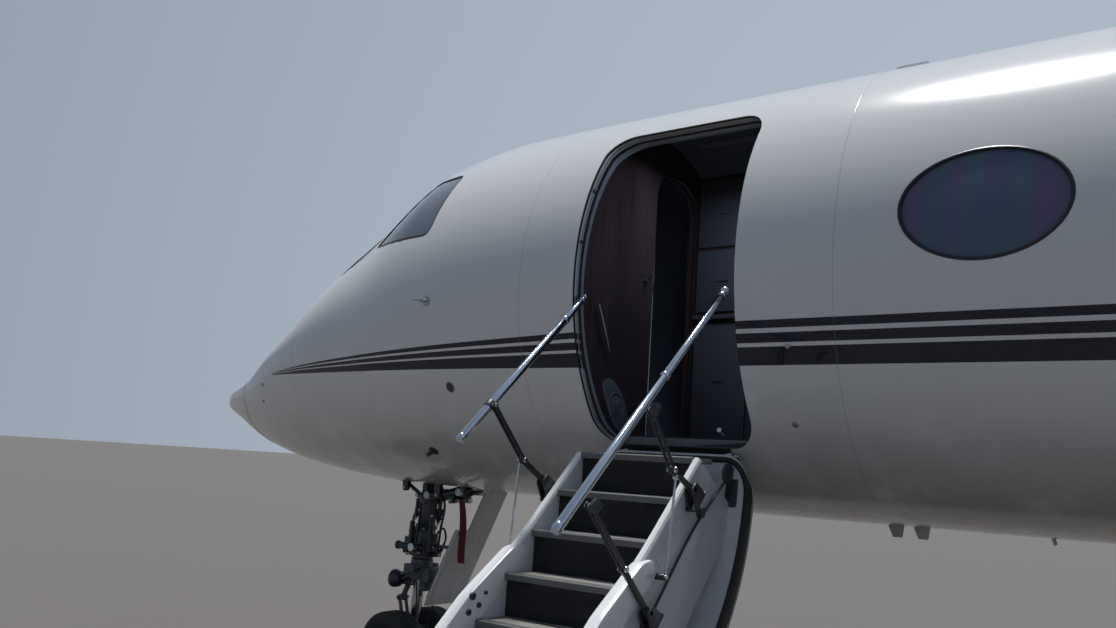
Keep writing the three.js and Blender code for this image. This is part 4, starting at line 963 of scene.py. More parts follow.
def swung(*parts):
    """Parts turned from the shut door's own axes to where the open stair holds them."""
    bm = merged(*parts)
    bm.transform(STAIR_TURN)
    return bm


def dress_faces(piece, materials, choose):
    """Give some faces of a piece another of its materials. choose takes a face's middle and normal."""
    for material in materials:
        piece.data.materials.append(material)
    for face in piece.data.polygons:
        face.material_index = choose(face.center, face.normal)


def on_outer_skin(middle, normal):
    return hull_normal(middle).dot(normal) > 0.9


def build_door(paint, lining, rubber, metal):
    """The curved door: striped skin outside, pale lining inside, dark edge and a rubber seal all round."""
    skin = keep(hull_shell(hull_stations(4.4, 5.6, 0.05)), "door_skin", paint, "airstair")
    carve(skin, [side_cutter(door_outline(0.012))], "INTERSECT")
    true_normals(skin)
    dress_faces(skin, [lining, rubber], lambda middle, normal: (
        0 if on_outer_skin(middle, normal) else 1 if hull_normal(middle).dot(normal) < -0.9 else 2))
    skin.data.transform(SHUT_TO_OPEN)
    seal = tube(hull_route(door_outline(0.026), -1, WALL - 0.004), 0.016, 10, closed=True)
    seal.transform(SHUT_TO_OPEN)
    keep(seal, "door_seal", rubber, "airstair")
    lip = tube(hull_route(door_outline(0.015), -1, 0.012), 0.006, 6, closed=True)
    lip.transform(SHUT_TO_OPEN)
    keep(lip, "door_edge_lip", metal, "airstair")
    parts = []
    for offset in (-0.3, 0.3):
        for near in (-0.037, 0.017):
            parts.append(plate([(-0.022, -0.012), (0.012, -0.012), (0.012, 0.006), (-0.020, 0.030),
                                (-0.022, 0.06), (-0.012, 0.105), (-0.03, 0.12), (-0.05, 0.11),
                                (-0.046, 0.052), (-0.040, 0.02)], offset + near, offset + near + 0.02, "X",
                               0.003))
        parts.append(rod((offset - 0.048, 0, 0), (offset + 0.048, 0, 0), 0.011, bevel=0.002))
    keep(swung(*parts), "door_hinge_arms", metal, "airstair")
    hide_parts("airstair_door")


def panel_outline():
    """The side panel's outline, from its rounded top edge round to the door's lining."""
    return softened(PANEL_EDGE[1:] + [(-0.2, 1.66), (-0.2, 0.2)], 0.05)


def build_side_panels(moulding, trim, metal, dark):
    """White moulded panels at both ends of the steps, their paint darkened to grey as painted shade, each
    with a bright lip and a raised lower guard.
    """
    panels, lips, guards, bolts, hardware = [], [], [], [], []
    for side in (-1, 1):
        low, high = sorted((side * PANEL_INNER, side * PANEL_OUTER))
        panels.append(plate(panel_outline(), low, high, "X", 0.004))
        edge = smooth_path([(side * (PANEL_INNER + 0.017), a, b) for a, b in PANEL_EDGE[1:5]], 6)
        lips.append(tube(edge, 0.0205, 10))
        outside = side * (PANEL_OUTER + 0.012)
        guard_low, guard_high = sorted((side * (PANEL_INNER - 0.004), side * (PANEL_OUTER + 0.024)))
        cap = softened([(0.20, 0.925), (0.275, 0.90), (0.325, 0.97), (0.392, 1.30), (0.405, 1.50),
                        (0.385, 1.60), (0.30, 1.63), (0.25, 1.30)], 0.028)
        guards.append(plate(cap, guard_low, guard_high, "X", 0.011))
        for into, up in ((0.16, 0.36), (0.21, 0.62), (0.22, 0.86), (0.30, 1.10), (0.33, 1.35),
                         (0.30, 1.55)):
            reach = side * (PANEL_OUTER + (0.029 if up > 0.9 else 0.004))
            bolts.append(rod((reach - side * 0.006, into, up), (reach, into, up), 0.008, sides=8,
                             bevel=0.0015))
        for into, up, radius in ((0.10, 0.47, 0.024), (0.10, 1.12, 0.022)):
            hardware.append(rod((outside - side * 0.02, into, up), (outside + side * 0.012, into, up),
                                radius, sides=18, bevel=0.003))
        arm = smooth_path([(outside, 0.02, 0.10), (outside, 0.06, 0.34), (outside, 0.10, 0.60),
                           (outside, 0.10, 1.05)], 5)
        hardware.append(tube(arm, 0.0065, 8))
    keep(swung(*panels), "stair_side_panels", moulding, "airstair")
    keep(swung(*lips), "side_panel_lips", trim, "airstair")
    keep(swung(*guards), "lower_guards", trim, "airstair")
    keep(swung(*bolts), "side_panel_bolts", metal, "airstair")
    keep(swung(*hardware), "stair_linkage", dark, "airstair")
    knobs = []
    for y, z, radius in ((-1.990, 1.050, 0.016), (-1.946, 1.010, 0.012), (-2.010, 0.985, 0.014),
                         (-1.905, 1.060, 0.009)):
        knobs.append(rod((HINGE.x - PANEL_INNER - 0.002, y, z), (HINGE.x - PANEL_INNER + 0.014, y, z),
                         radius, sides=16, bevel=0.003))
    keep(merged(*knobs), "guard_fasteners", dark, "airstair")
    slot = plate(rounded_rect(5.321 - MID, 1.478, 5.385 - MID, 1.668, 0.014), -0.9055, -0.9005, "Y", 0.001)
    for vert in slot.verts:
        vert.co.y += 0.1167 * (vert.co.z - 1.574)
    keep(slot, "latch_slot", dark, "airstair")


def nosing_places():
    """Where each tread's front edge is, from the hinge, across the aircraft and up, with the stair open."""
    places = []
    for index in range(STEP_COUNT):
        height = STEP_FIRST - index * STEP_RISE
        along = (STEP_LINE * math.sin(OPEN_ANGLE) - height) / -math.cos(OPEN_ANGLE)
        places.append((STEP_LINE * math.cos(OPEN_ANGLE) - along * math.sin(OPEN_ANGLE), height))
    return places


def build_steps(carpet, tread_cover, shade_darkened_nosing):
    """Six level treads with nosings whose metal is darkened as painted shade, and dark carpeted risers
    between them.
    """
    places = nosing_places()
    reach = PANEL_INNER - 0.002
    treads, risers, nosings, ribs = [], [], [], []
    for index, (y, z) in enumerate(places):
        back = places[0][0] + STEP_DEPTH if index == 0 else places[index - 1][0] + STEP_OVERHANG
        front, base, top = HINGE.y + y, HINGE.z + z - STEP_THICKNESS, HINGE.z + z
        treads.append(box((HINGE.x - reach, front + 0.006, base),
                          (HINGE.x + reach, HINGE.y + back, top - 0.002), 0.003))
        nose = softened([(front - 0.002, top - 0.003), (front - 0.002, base - 0.004),
                         (front + 0.012, base - 0.004), (front + 0.012, base + 0.004),
                         (front + 0.042, top - 0.006), (front + 0.042, top + 0.0015),
                         (front + 0.004, top + 0.0015)], 0.0035)
        nosings.append(plate(nose, HINGE.x - reach, HINGE.x + reach, "X"))
        for groove in range(4):
            across = front + 0.010 + groove * 0.008
            ribs.append(box((HINGE.x - reach + 0.01, across, top + 0.0005),
                            (HINGE.x + reach - 0.01, across + 0.004, top + 0.003), 0.0008, 1))
        if index + 1 < STEP_COUNT:
            low = HINGE.z + places[index + 1][1] - 0.001
            risers.append(box((HINGE.x - reach, front + STEP_OVERHANG, low),
                              (HINGE.x + reach, front + STEP_OVERHANG + STEP_THICKNESS, base + 0.001),
                              0.002))
    steps = keep(merged(*treads), "stair_treads", tread_cover, "airstair")
    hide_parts("airstair_steps")
    keep(merged(*risers), "stair_risers", carpet, "airstair")
    keep(merged(*nosings), "stair_nosings", shade_darkened_nosing, "airstair")
    keep(merged(*ribs), "nosing_ribs", shade_darkened_nosing, "airstair")


RAIL_OFFSET, ARM_OFFSET = 0.403, 0.380
# Each rail: side, upper end, lower end, arms as (rail end, elbow, foot), and thin stays as (elbow, foot)
RAILS = [
    ("forward", -1, (0.778, -0.330), (0.866, 0.855),
     [((0.849, 0.603), (0.515, 0.607), (0.329, 0.554))], [((0.515, 0.607), (0.258, 0.921))]),
    ("aft", 1, (0.778, -0.304), (0.909, 1.336),
     [((0.781, 0.536), (0.462, 0.563), (0.277, 0.493)), ((0.795, 1.101), (0.439, 1.097), (0.163, 1.088))],
     [((0.437, 0.583), (0.186, 0.918))]),
]


def link(side, start, end, offset, half_width, thickness, eye):
    """A flat link with round ends between two places on the side of the stair."""
    a, b = Vector(start), Vector(end)
    along = (b - a).normalized()
    across = Vector((-along.y, along.x))
    outline = []
    for centre, turn in ((b, 0), (a, 180)):
        base = math.degrees(math.atan2(along.y, along.x)) + turn
        outline += arc(centre, eye, base - 75, base + 75, 6)
        waist = centre - along * (1 if turn == 0 else -1) * eye * 1.6
        shift = across * half_width * (1 if turn == 0 else -1)
        outline.append(tuple(waist + shift))
        other = (a if turn == 0 else b) + along * (1 if turn == 0 else -1) * eye * 1.6
        outline.append(tuple(other + shift))
    low, high = sorted((side * offset, side * (offset + thickness)))
    return plate(outline, low, high, "X", 0.0015)


def build_handrails(polished, dark, bright):
    """Two rails on jointed arms. Tubes are polished; the flat twin links and their elbows are darker."""
    for word, side, top, low, arms, stays in RAILS:
        rail, links, pins, thin = [], [], [], []
        run = Vector(low) - Vector(top)
        grip = Vector(top) + run * (0.42 if side > 0 else 0.18)

        def place(spot):
            return (side * RAIL_OFFSET, spot[0], spot[1])

        def through(spot, start, end, radius, **shape):
            """A pin through an arm, with its ends given from the arm's middle plane."""
            return rod((side * (ARM_OFFSET + start), *spot), (side * (ARM_OFFSET + end), *spot), radius,
                       **shape)

        rail.append(rod(place(grip), place(low), 0.0195, sides=20, bevel=0.004))
        rail.append(rod(place(top), place(grip), 0.0165, sides=20, bevel=0.004))
        for spot, size in ((grip, 0.0215), (Vector(top) + run * 0.02, 0.0185),
                           (Vector(low) - run * 0.015, 0.021)):
            reach = run.normalized() * 0.014
            rail.append(rod(place(spot - reach), place(spot + reach), size, sides=20, bevel=0.004))
        knob = 0.024 if side > 0 else 0.019
        pins.append(ellipsoid(place(top), (knob, knob, knob), 16, 10))
        for head, elbow, foot in arms:
            for offset in (ARM_OFFSET - 0.016, ARM_OFFSET + 0.006):
                links.append(link(side, head, elbow, offset, 0.0085, 0.007, 0.016))
            links.append(link(side, elbow, foot, ARM_OFFSET - 0.0085, 0.013, 0.014, 0.021))
            for share in (0.2, 0.4, 0.6, 0.8):
                spot = Vector(head).lerp(Vector(elbow), share)
                links.append(through(spot, -0.012, 0.009, 0.0045, sides=8))
            for spot, radius in ((head, 0.010), (elbow, 0.013), (foot, 0.012)):
                pins.append(through(spot, -0.022, 0.020, radius, sides=16, bevel=0.002))
            near = Vector(head)
            links.append(rod((side * (ARM_OFFSET - 0.004), *near), place(near), 0.0085, sides=10))
            collar = run.normalized() * 0.02
            links.append(rod(place(near - collar), place(near + collar), 0.0225, sides=18, bevel=0.003))
        for elbow, foot in stays:
            thin.append(rod((side * (ARM_OFFSET + 0.016), *elbow), (side * (ARM_OFFSET + 0.016), *foot),
                            0.0055, sides=10))
            for spot in (elbow, foot):
                thin.append(through(spot, 0.004, 0.026, 0.010, sides=12, bevel=0.002))
        tubes = keep(swung(*rail), f"handrail_tube_{word}", polished, "handrails")
        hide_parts(f"handrail_{word}")
        keep(swung(*links), f"handrail_arms_{word}", dark, "handrails")
        keep(swung(*pins), f"handrail_joints_{word}", bright, "handrails")
        keep(swung(*thin), f"handrail_stays_{word}", bright, "handrails")
        brackets = []
        for _head, _elbow, foot in arms:
            for shift in (-0.024, 0.012):
                base = softened([(foot[0] - 0.075, foot[1] - 0.055), (foot[0] - 0.075, foot[1] + 0.055),
                                 (foot[0] + 0.02, foot[1] + 0.026), (foot[0] + 0.02, foot[1] - 0.026)],
                                0.016)
                edge = sorted((side * (ARM_OFFSET + shift), side * (ARM_OFFSET + shift + 0.008)))
                brackets.append(plate(base, *edge, "X", 0.0015))
            brackets.append(box((min(side * 0.345, side * 0.402), foot[0] - 0.085, foot[1] - 0.06),
                                (max(side * 0.345, side * 0.402), foot[0] - 0.07, foot[1] + 0.06), 0.003))
        for _elbow, foot in stays:
            brackets.append(rod((side * 0.345, *foot), (side * 0.395, *foot), 0.014, sides=14, bevel=0.002))
        keep(swung(*brackets), f"rail_brackets_{word}", dark, "airstair")


# Doorway and entry

DAMPER_PIVOT = (-0.81, 1.975)


def build_doorway(frame_metal, bracket_metal, rubber, metal, dark, trim):
    """The doorway's frame: two rubber seals with a metal strip between, sill plate and hinge fittings."""
    for name, shrink, inset, radius, material in (("doorway_outer_seal", -0.004, 0.010, 0.009, rubber),
                                                  ("doorway_strip", -0.003, 0.036, 0.007, metal),
                                                  ("doorway_inner_seal", -0.007, 0.062, 0.014, rubber),
                                                  ("doorway_frame", -0.034, 0.088, 0.036, frame_metal)):
        keep(tube(hull_route(door_outline(shrink), -1, inset), radius, 10, closed=True), name, material)
    stops = []
    for x, way in ((DOOR_FRONT - MID + 0.004, 1), (DOOR_AFT - MID - 0.004, -1)):
        for up in (-0.42, -0.12, 0.18, 0.48):
            spot = on_hull(x, AXIS + up, -1, 0.034)
            stops.append(rod(spot - Vector((way * 0.01, 0, 0)), spot + Vector((way * 0.002, 0, 0)), 0.013,
                             sides=14, bevel=0.001))
    keep(merged(*stops), "doorway_latch_rollers", metal)
    sill_front, sill_aft = DOOR_FRONT + 0.02 - MID, DOOR_AFT - 0.02 - MID
    sill = [box((sill_front, -0.745, FLOOR - 0.045), (sill_aft, -0.728, FLOOR - 0.004), 0.004),
            box((sill_front + 0.03, -0.742, FLOOR - 0.006), (sill_aft - 0.03, -0.70, FLOOR + 0.004), 0.002)]
    keep(merged(*sill), "sill_plate", rubber)
    lugs = []
    for offset in (-0.3, 0.3):
        x = HINGE.x + offset
        lugs.append(plate(softened([(-0.84, 1.70), (-0.84, 1.74), (-0.80, 1.742), (-0.745, 1.735),
                                    (-0.745, 1.69), (-0.80, 1.695)], 0.012), x - 0.0145, x + 0.0145, "X",
                          0.003))
    keep(merged(*lugs), "hinge_lugs", metal)
    marks = [DOOR_FRONT + 0.10 + 0.66 * step / 12 - MID for step in range(13)]
    flap = [(marks[0], 1.758), *[(mark, 1.712) for mark in marks],
            *[(mark, 1.758) for mark in marks[:0:-1]]]
    keep(pane_on_hull(flap, -1, -0.0035, 0.003), "hinge_flap", rubber)
    corner = []
    ahead = DOOR_FRONT + 0.04 - MID
    corner.append(plate(softened([(-0.935, 2.08), (-0.86, 2.12), (-0.74, 2.05), (-0.66, 1.92),
                                  (-0.67, 1.835), (-0.765, 1.835), (-0.85, 1.935)], 0.05), ahead,
                        ahead + 0.014, "X", 0.003))
    y, z = DAMPER_PIVOT
    corner.append(rod((ahead - 0.004, y, z), (ahead + 0.03, y, z), 0.046, sides=28, bevel=0.004))
    corner.append(tube([(ahead + 0.02, y + a, z + b) for a, b in arc((0, 0), 0.062, -40, 220, 16)], 0.006,
                       8))
    corner.append(rod((ahead - 0.01, y, z), (ahead + 0.04, y, z), 0.018, sides=18, bevel=0.003))
    keep(merged(*corner), "stair_damper_bracket", bracket_metal)
    disc = [rod((-0.362, 0.03, 0.165), (-0.346, 0.03, 0.165), 0.068, sides=32, bevel=0.004),
            rod((-0.372, 0.03, 0.165), (-0.346, 0.03, 0.165), 0.022, sides=18, bevel=0.003),
            rod((0.346, 0.04, 0.155), (0.362, 0.04, 0.155), 0.05, sides=24, bevel=0.004)]
    keep(swung(*disc), "stair_damper_discs", dark, "airstair")
    aft = DOOR_AFT + 0.004 - MID
    hose = smooth_path([(aft, -1.02, 2.10), (aft, -1.00, 2.00), (aft, -0.955, 1.93), (aft, -0.90, 1.905)],
                       5)
    keep(tube(hose, 0.008, 10), "door_latch_cable", rubber)
    fitting = [rod(at(5.221, -0.80, 1.853), at(5.221, -0.772, 1.853), 0.013, sides=18, bevel=0.003),
               rod(at(5.221, -0.775, 1.853), at(5.221, -0.745, 1.830), 0.008, sides=12)]
    keep(merged(*fitting), "sill_fitting", trim)
    handle = smooth_path([at(4.39, -0.705, 2.56), at(4.395, -0.66, 2.47), at(4.39, -0.565, 2.30)], 4)
    keep(tube(handle, 0.009, 8), "entry_grab_handle", trim)


# Wings and tail

DIHEDRAL = math.tan(math.radians(3))
WING_PLANE, WING_FRONT, WING_BACK = 1.62, 8.95, 14.89
SWEEP_FRONT, SWEEP_BACK = 0.6147, 0.2533
FAIRING_HALF = 1.3
SECTION_STEPS = 16


def half_thickness(x, ratio):
    """Half thickness of the wing section at a share of its chord, for a chord of one."""
    curve = 0.2969 * math.sqrt(x) - 0.126 * x - 0.3516 * x ** 2 + 0.2843 * x ** 3 - 0.1015 * x ** 4
    return 5 * ratio * curve


def section_loop(chord, ratio):
    """The section's outline: over the top from the trailing edge, round the nose and back below."""
    shares = [0.5 * (1 + math.cos(math.pi * step / SECTION_STEPS)) for step in range(SECTION_STEPS)]
    top = [(share * chord, half_thickness(share, ratio) * chord) for share in shares]
    return [*top, (0.0, 0.0), *[(along, -up) for along, up in reversed(top)]]


def wing_row(y, ratio):
    edge = WING_FRONT + SWEEP_FRONT * y
    return (y, WING_PLANE + DIHEDRAL * y, edge, WING_BACK + SWEEP_BACK * y - edge, ratio, 0.0)


# Place across and up, leading edge, chord, thickness ratio and cant of the sections of the upturned tip
TIP_ROWS = [
    wing_row(11.0, 0.0864), wing_row(11.25, 0.086), (11.5, 2.25, 16.10, 1.69, 0.086, 25.0),
    (11.64, 2.37, 16.29, 1.52, 0.086, 60.0), (11.735, 2.62, 16.56, 1.33, 0.08, 79.0),
    (11.8375, 3.72, 17.56, 0.69, 0.07, 82.0),
]
FIN_ROWS = [(3.5, 17.0, 6.32, 0.075), (3.99, 18.7, 4.75, 0.1), (7.12, 22.48, 2.88, 0.1)]
TAILPLANE_HEIGHT = 7.27
TAILPLANE_ROWS = [(0.0, 22.9, 2.74, 0.09), (4.7, 25.56, 1.27, 0.09), (4.875, 25.96, 0.96, 0.06)]


def between_rows(rows, steps):
    """Rows on a smooth curve through the given ones."""
    ends = [rows[0], *rows, rows[-1]]
    out = []
    for index in range(1, len(ends) - 2):
        a, b, c, d = ends[index - 1:index + 3]
        for step in range(steps):
            t = step / steps
            out.append(tuple(
                q + 0.5 * t * ((r - p) + t * ((2 * p - 5 * q + 4 * r - s) + t * (3 * q - p - 3 * r + s)))
                for p, q, r, s in zip(a, b, c, d)))
    return [*out, rows[-1]]


def straight_rows(rows, steps):
    out = []
    for a, b in zip(rows, rows[1:]):
        out += [tuple(p + (q - p) * step / steps for p, q in zip(a, b)) for step in range(steps)]
    return [*out, rows[-1]]


def wing_section(y, z, edge, chord, ratio, cant):
    turn = math.radians(cant)
    return [Vector(at(edge + along, y - up * math.sin(turn), z + up * math.cos(turn)))
            for along, up in section_loop(chord, ratio)]


def wing_skin():
    rows = [wing_row(y, 0.1 - 0.0014 * (y - FAIRING_HALF))
            for y in (FAIRING_HALF + 0.001, 2.5, 4.0, 5.5, 7.0, 8.5, 9.8)]
    tip = between_rows(TIP_ROWS, 5)
    rounded = tip[-1]
    caps = [(rounded[0], rounded[1], rounded[2] + 0.03, rounded[3] - 0.05, rounded[4] * 0.4, rounded[5])]
    return loft([wing_section(*row) for row in rows + tip[:-1] + [
        (*rounded[:1], rounded[1] - 0.02, *rounded[2:])] + caps])


def fin_skin():
    sections = []
    for z, edge, chord, ratio in straight_rows(FIN_ROWS, 5):
        sections.append([Vector(at(edge + along, side, z)) for along, side in section_loop(chord, ratio)])
    return loft(sections)


def tailplane_skin():
    sections = []
    for y, edge, chord, ratio in straight_rows(TAILPLANE_ROWS, 5):
        sections.append([Vector(at(edge + along, y, TAILPLANE_HEIGHT + up))
                         for along, up in section_loop(chord, ratio)])
    return loft(sections)


def borrow_normals(piece, source):
    """Shade a cut piece as the smooth skin it was cut from, apart from the walls of the cuts."""
    source.normal_update()
    source.faces.ensure_lookup_table()
    tree = BVHTree.FromBMesh(source)
    normals = []
    mesh = piece.data
    for face in mesh.polygons:
        for loop in face.loop_indices:
            spot = mesh.vertices[mesh.loops[loop].vertex_index].co
            _place, _normal, index, distance = tree.find_nearest(spot)
            normal = Vector(face.normal)
            if distance < 0.004:
                near = Vector()
                for vertex in source.faces[index].verts:
                    near += vertex.normal / ((vertex.co - spot).length + 1e-4)
                near.normalize()
                if near.dot(face.normal) > 0.86:
                    normal = near
            normals.append(normal)
    mesh.normals_split_custom_set(normals)


def mirrored_piece(piece, name, body):
    """The same piece on the other side of the aircraft, with its shading."""
    source = piece.data
    normals = {}
    for face in source.polygons:
        for loop in face.loop_indices:
            vector = source.corner_normals[loop].vector
            normals[face.index, source.loops[loop].vertex_index] = (vector.x, -vector.y, vector.z)
    mesh = source.copy()
    mesh.name = name
    mesh.transform(Matrix.Diagonal((1, -1, 1, 1)))
    mesh.flip_normals()
    mesh.normals_split_custom_set([normals[face.index, mesh.loops[loop].vertex_index]
                                   for face in mesh.polygons for loop in face.loop_indices])
    other = linked(name, mesh)
    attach(other, body)
    return other


# How far a cutting block reaches past a hinge line
REACH = 2.5


def hinged_cut(skin, name, paint, body, host, line, radii, ends, gaps, view, pin):
    """Cut a control surface with a round nose out of a host skin, which keeps a matching cove."""
    first, second = Vector(line[0]), Vector(line[1])
    along = (second - first).normalized()

    def region(start, end, ahead, low=-3.0, high=9.0):
        corners = []
        for point, way, distance in ((start, ends[0], -ahead), (end, ends[1], -ahead),
                                     (end, ends[1], REACH), (start, ends[0], REACH)):
            across, up = (point.x, point.y) if view == "plan" else (point.x, point.z)
            corners.append((across + way[0] * distance, up + way[1] * distance))
        return plate(corners, low, high, "Z" if view == "plan" else "Y")

    def nose(extra):
        slope = (radii[1] - radii[0]) / (second - first).length
        return rod(first - along * 0.4, second + along * 0.4, radii[0] - slope * 0.4 + extra,
                   radii[1] + slope * 0.4 + extra, sides=40)

    def clipped(extra, start, end):
        bar = scratch(nose(extra))
        carve(bar, [region(start, end, 0.4)], "INTERSECT")
        return taken(bar)

    source = skin.copy()
    surface = keep(skin.copy(), name, paint, body)
    carve(surface, [region(first, second, 0.0)], "INTERSECT")
    borrow_normals(surface, source)
    round_nose = keep(clipped(-0.0005, first, second), name + "_nose", paint, body)
    wide_first, wide_second = first - along * gaps[0], second + along * gaps[1]
    carve(host, [region(wide_first, wide_second, 0.0), clipped(0.008, wide_first, wide_second)])
    borrow_normals(host, source)
    source.free()
    pins = keep(rod(first - along * (gaps[0] / 2 - 0.0003), first + along * 0.05, pin, sides=18),
                name + "_pin", paint, body)
    return surface, round_nose, pins


def plan_direction(line):
    (x1, y1), (x2, y2) = line[0][:2], line[1][:2]
    length = math.hypot(x2 - x1, y2 - y1)
    return ((y2 - y1) / length, -(x2 - x1) / length)


def wing_place(station, y):
    return at(station, y, WING_PLANE + DIHEDRAL * y)


AILERON_LINE = [wing_place(16.24, 8.15), wing_place(17.15, 10.85)]
FLAP_LINE = [wing_place(14.39, 1.62), wing_place(16.09, 7.88)]
FLAP_DROP, FLAP_GAP = 0.25, 0.012
RUDDER_LINE = [at(22.18, 0, 3.83), at(24.56, 0, 6.99)]
ELEVATOR_LINE = [at(24.88, 0.33, TAILPLANE_HEIGHT), at(26.48, 4.56, TAILPLANE_HEIGHT)]


def wing_half(station, y):
    _y, _z, edge, chord, _ratio, _cant = wing_row(y, 0.1)
    return half_thickness((station - edge) / chord, 0.1 - 0.0014 * (y - FAIRING_HALF)) * chord


def pair_up(pieces):
    """Left-hand copies of right-hand pieces, given as (piece, body, slot), on the matching bodies; the slot
    is not used.
    """
    others = []
    for piece, body, slot in pieces:
        others.append(mirrored_piece(piece, piece.name + "_left", body.replace("right", "left")))
        piece.name = piece.name + "_right"
    return others


def build_wings(paint, metal, dark, lamp_red, lamp_green):
    """Wings with upturned tips, ailerons, flaps on pivots below, bright leading edges and tip lamps."""
    skin = wing_skin()
    wing = keep(skin.copy(), "wing_skin", paint, "airframe")
    cut = plan_direction(AILERON_LINE)
    radii = [wing_half(x + MID, y) * 0.98 for x, y, _z in AILERON_LINE]
    aileron = hinged_cut(skin, "aileron_skin", paint, "aileron_right", wing, AILERON_LINE,
                         radii, [cut, cut], [0.008, 0.008], "plan", 0.016)
    flap_parts = cut_flap(skin, wing, paint)
    bright = []
    for y in (FAIRING_HALF + 0.03, 2.5, 4.0, 5.5, 7.0, 8.5, 9.8, 10.9):
        _y, z, edge, chord, _r, _c = wing_row(y, 0.0)
        ratio = 0.1 - 0.0014 * (y - FAIRING_HALF)
        shares = [0.045, 0.03, 0.018, 0.009, 0.003, 0.0]
        top = [(share * chord, half_thickness(share, ratio) * chord + 0.0015) for share in shares]
        loop = [*top[:-1], (-0.0015, 0.0), *[(a, -b) for a, b in reversed(top[:-1])]]
        inner = [(a + 0.004, b * 0.9) for a, b in reversed(loop)]
        bright.append([Vector(at(edge + a, y, z + b)) for a, b in loop + inner])
    sheath = keep(loft(bright), "wing_edge_sheath", metal, "airframe")
    lamp = ellipsoid(at(16.17, 11.49, 2.243), (0.085, 0.035, 0.022), 20, 12)
    right_lamp = keep(lamp, "wing_tip_lamp_right", lamp_green)
    left_lamp = mirrored_piece(right_lamp, "wing_tip_lamp_left", "airframe")
    left_lamp.data.materials[0] = lamp_red
    wicks = []
    back_edges = [(*wing_place(WING_BACK + SWEEP_BACK * y, y), 0.1) for y in (8.6, 9.6, 10.5)]
    for x, y, z, length in [(17.80 - MID, 11.30, 2.215, 0.11), *back_edges]:
        wicks.append(rod((x - 0.02, y, z), (x + length, y, z - 0.01), 0.0035, 0.0015, 8))
    wick = keep(merged(*wicks), "static_wicks", dark, "airframe")
    fences = []
    for y in (3.6, 6.6):
        _y, z, edge, chord, _r, _c = wing_row(y, 0.0)
        top = half_thickness(0.3, 0.1) * chord
        outline = softened([(edge + 0.30 * chord - MID, z + top * 0.5),
                            (edge + 0.44 * chord - MID, z + top * 0.5),
                            (edge + 0.44 * chord - MID, z + top + 0.055),
                            (edge + 0.34 * chord - MID, z + top + 0.055)], 0.03)
        fences.append(plate(outline, y - 0.003, y + 0.003, "Y"))
    fence = keep(merged(*fences), "wing_fences", metal, "airframe")
    right = [(wing, "airframe", "white_paint"),
             *[(piece, "aileron_right", "white_paint") for piece in aileron], *flap_parts,
             (sheath, "airframe", "polished_rail"), (wick, "airframe", "gear_steel"),
             (fence, "airframe", "polished_rail")]
    others = pair_up(right)
    for (piece, _body, _slot), other in zip(right, others):
        for node in ("wing", "aileron", "flap"):
            if piece.name == f"{node}_skin_right":
                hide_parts(f"{node}_right")
                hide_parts(f"{node}_left")
    skin.free()


def cut_flap(skin, wing, paint):
    """The flap swings about pivots that hang below its nose on two bracket pairs."""
    aft = plan_direction(FLAP_LINE)
    first, second = Vector(FLAP_LINE[0]), Vector(FLAP_LINE[1])
    along = (second - first).normalized()
    back = Vector((aft[0], aft[1], 0))
    upright = (-along).cross(back)

    def region(gap):
        corners = [first - along * gap - back * gap, second + along * gap - back * gap,
                   second + along * gap + back * REACH, first - along * gap + back * REACH]
        return plate([(corner.x, corner.y) for corner in corners], -3.0, 9.0, "Z")

    flap = keep(skin.copy(), "flap_skin", paint, "flap_right")
    carve(flap, [region(0.0)], "INTERSECT")
    borrow_normals(flap, skin)
    carve(wing, [region(FLAP_GAP)])
    borrow_normals(wing, skin)
    fixed, moving = [], []
    for share in (0.22, 0.78):
        pivot = first.lerp(second, share) - Vector((0, 0, FLAP_DROP))
        turn = Matrix((back, upright, -along)).transposed().to_4x4()

        def blade(offset, half, corners, bevel):
            bm = plate([(a, b) for a, b in corners], -half, half, "Z", bevel)
            bm.transform(Matrix.Translation(pivot + along * offset) @ turn)
            return bm

        fixed.append(blade(-0.029, 0.022, softened([(-0.62, 0.19), (-0.56, 0.09), (-0.12, -0.03),
                                                    (0.03, -0.04), (0.045, 0.0), (0.03, 0.04),
                                                    (-0.06, 0.19)], 0.02), 0.006))
        fixed.append(blade(-0.029, 0.018, [(-0.60, 0.16), (-0.09, 0.16), (-0.075, 0.235), (-0.60, 0.30)],
                           0.0))
        moving.append(blade(0.023, 0.020, softened([(-0.04, 0.0), (-0.028, -0.028), (0.0, -0.04),
                                                    (0.028, -0.028), (0.25, 0.12), (0.42, 0.215),
                                                    (0.30, 0.24), (0.014, 0.20)], 0.01), 0.005))
        moving.append(rod(pivot + along * 0.006, pivot - along * 0.0066, 0.024, sides=20))
        fixed.append(rod(pivot - along * 0.055, pivot - along * 0.007, 0.03, sides=20, bevel=0.004))
    brackets = keep(merged(*fixed), "flap_brackets", paint, "airframe")
    arms = keep(merged(*moving), "flap_arms", paint, "flap_right")
    return [(flap, "flap_right", "white_paint"), (brackets, "airframe", "white_paint"),
            (arms, "flap_right", "white_paint")]


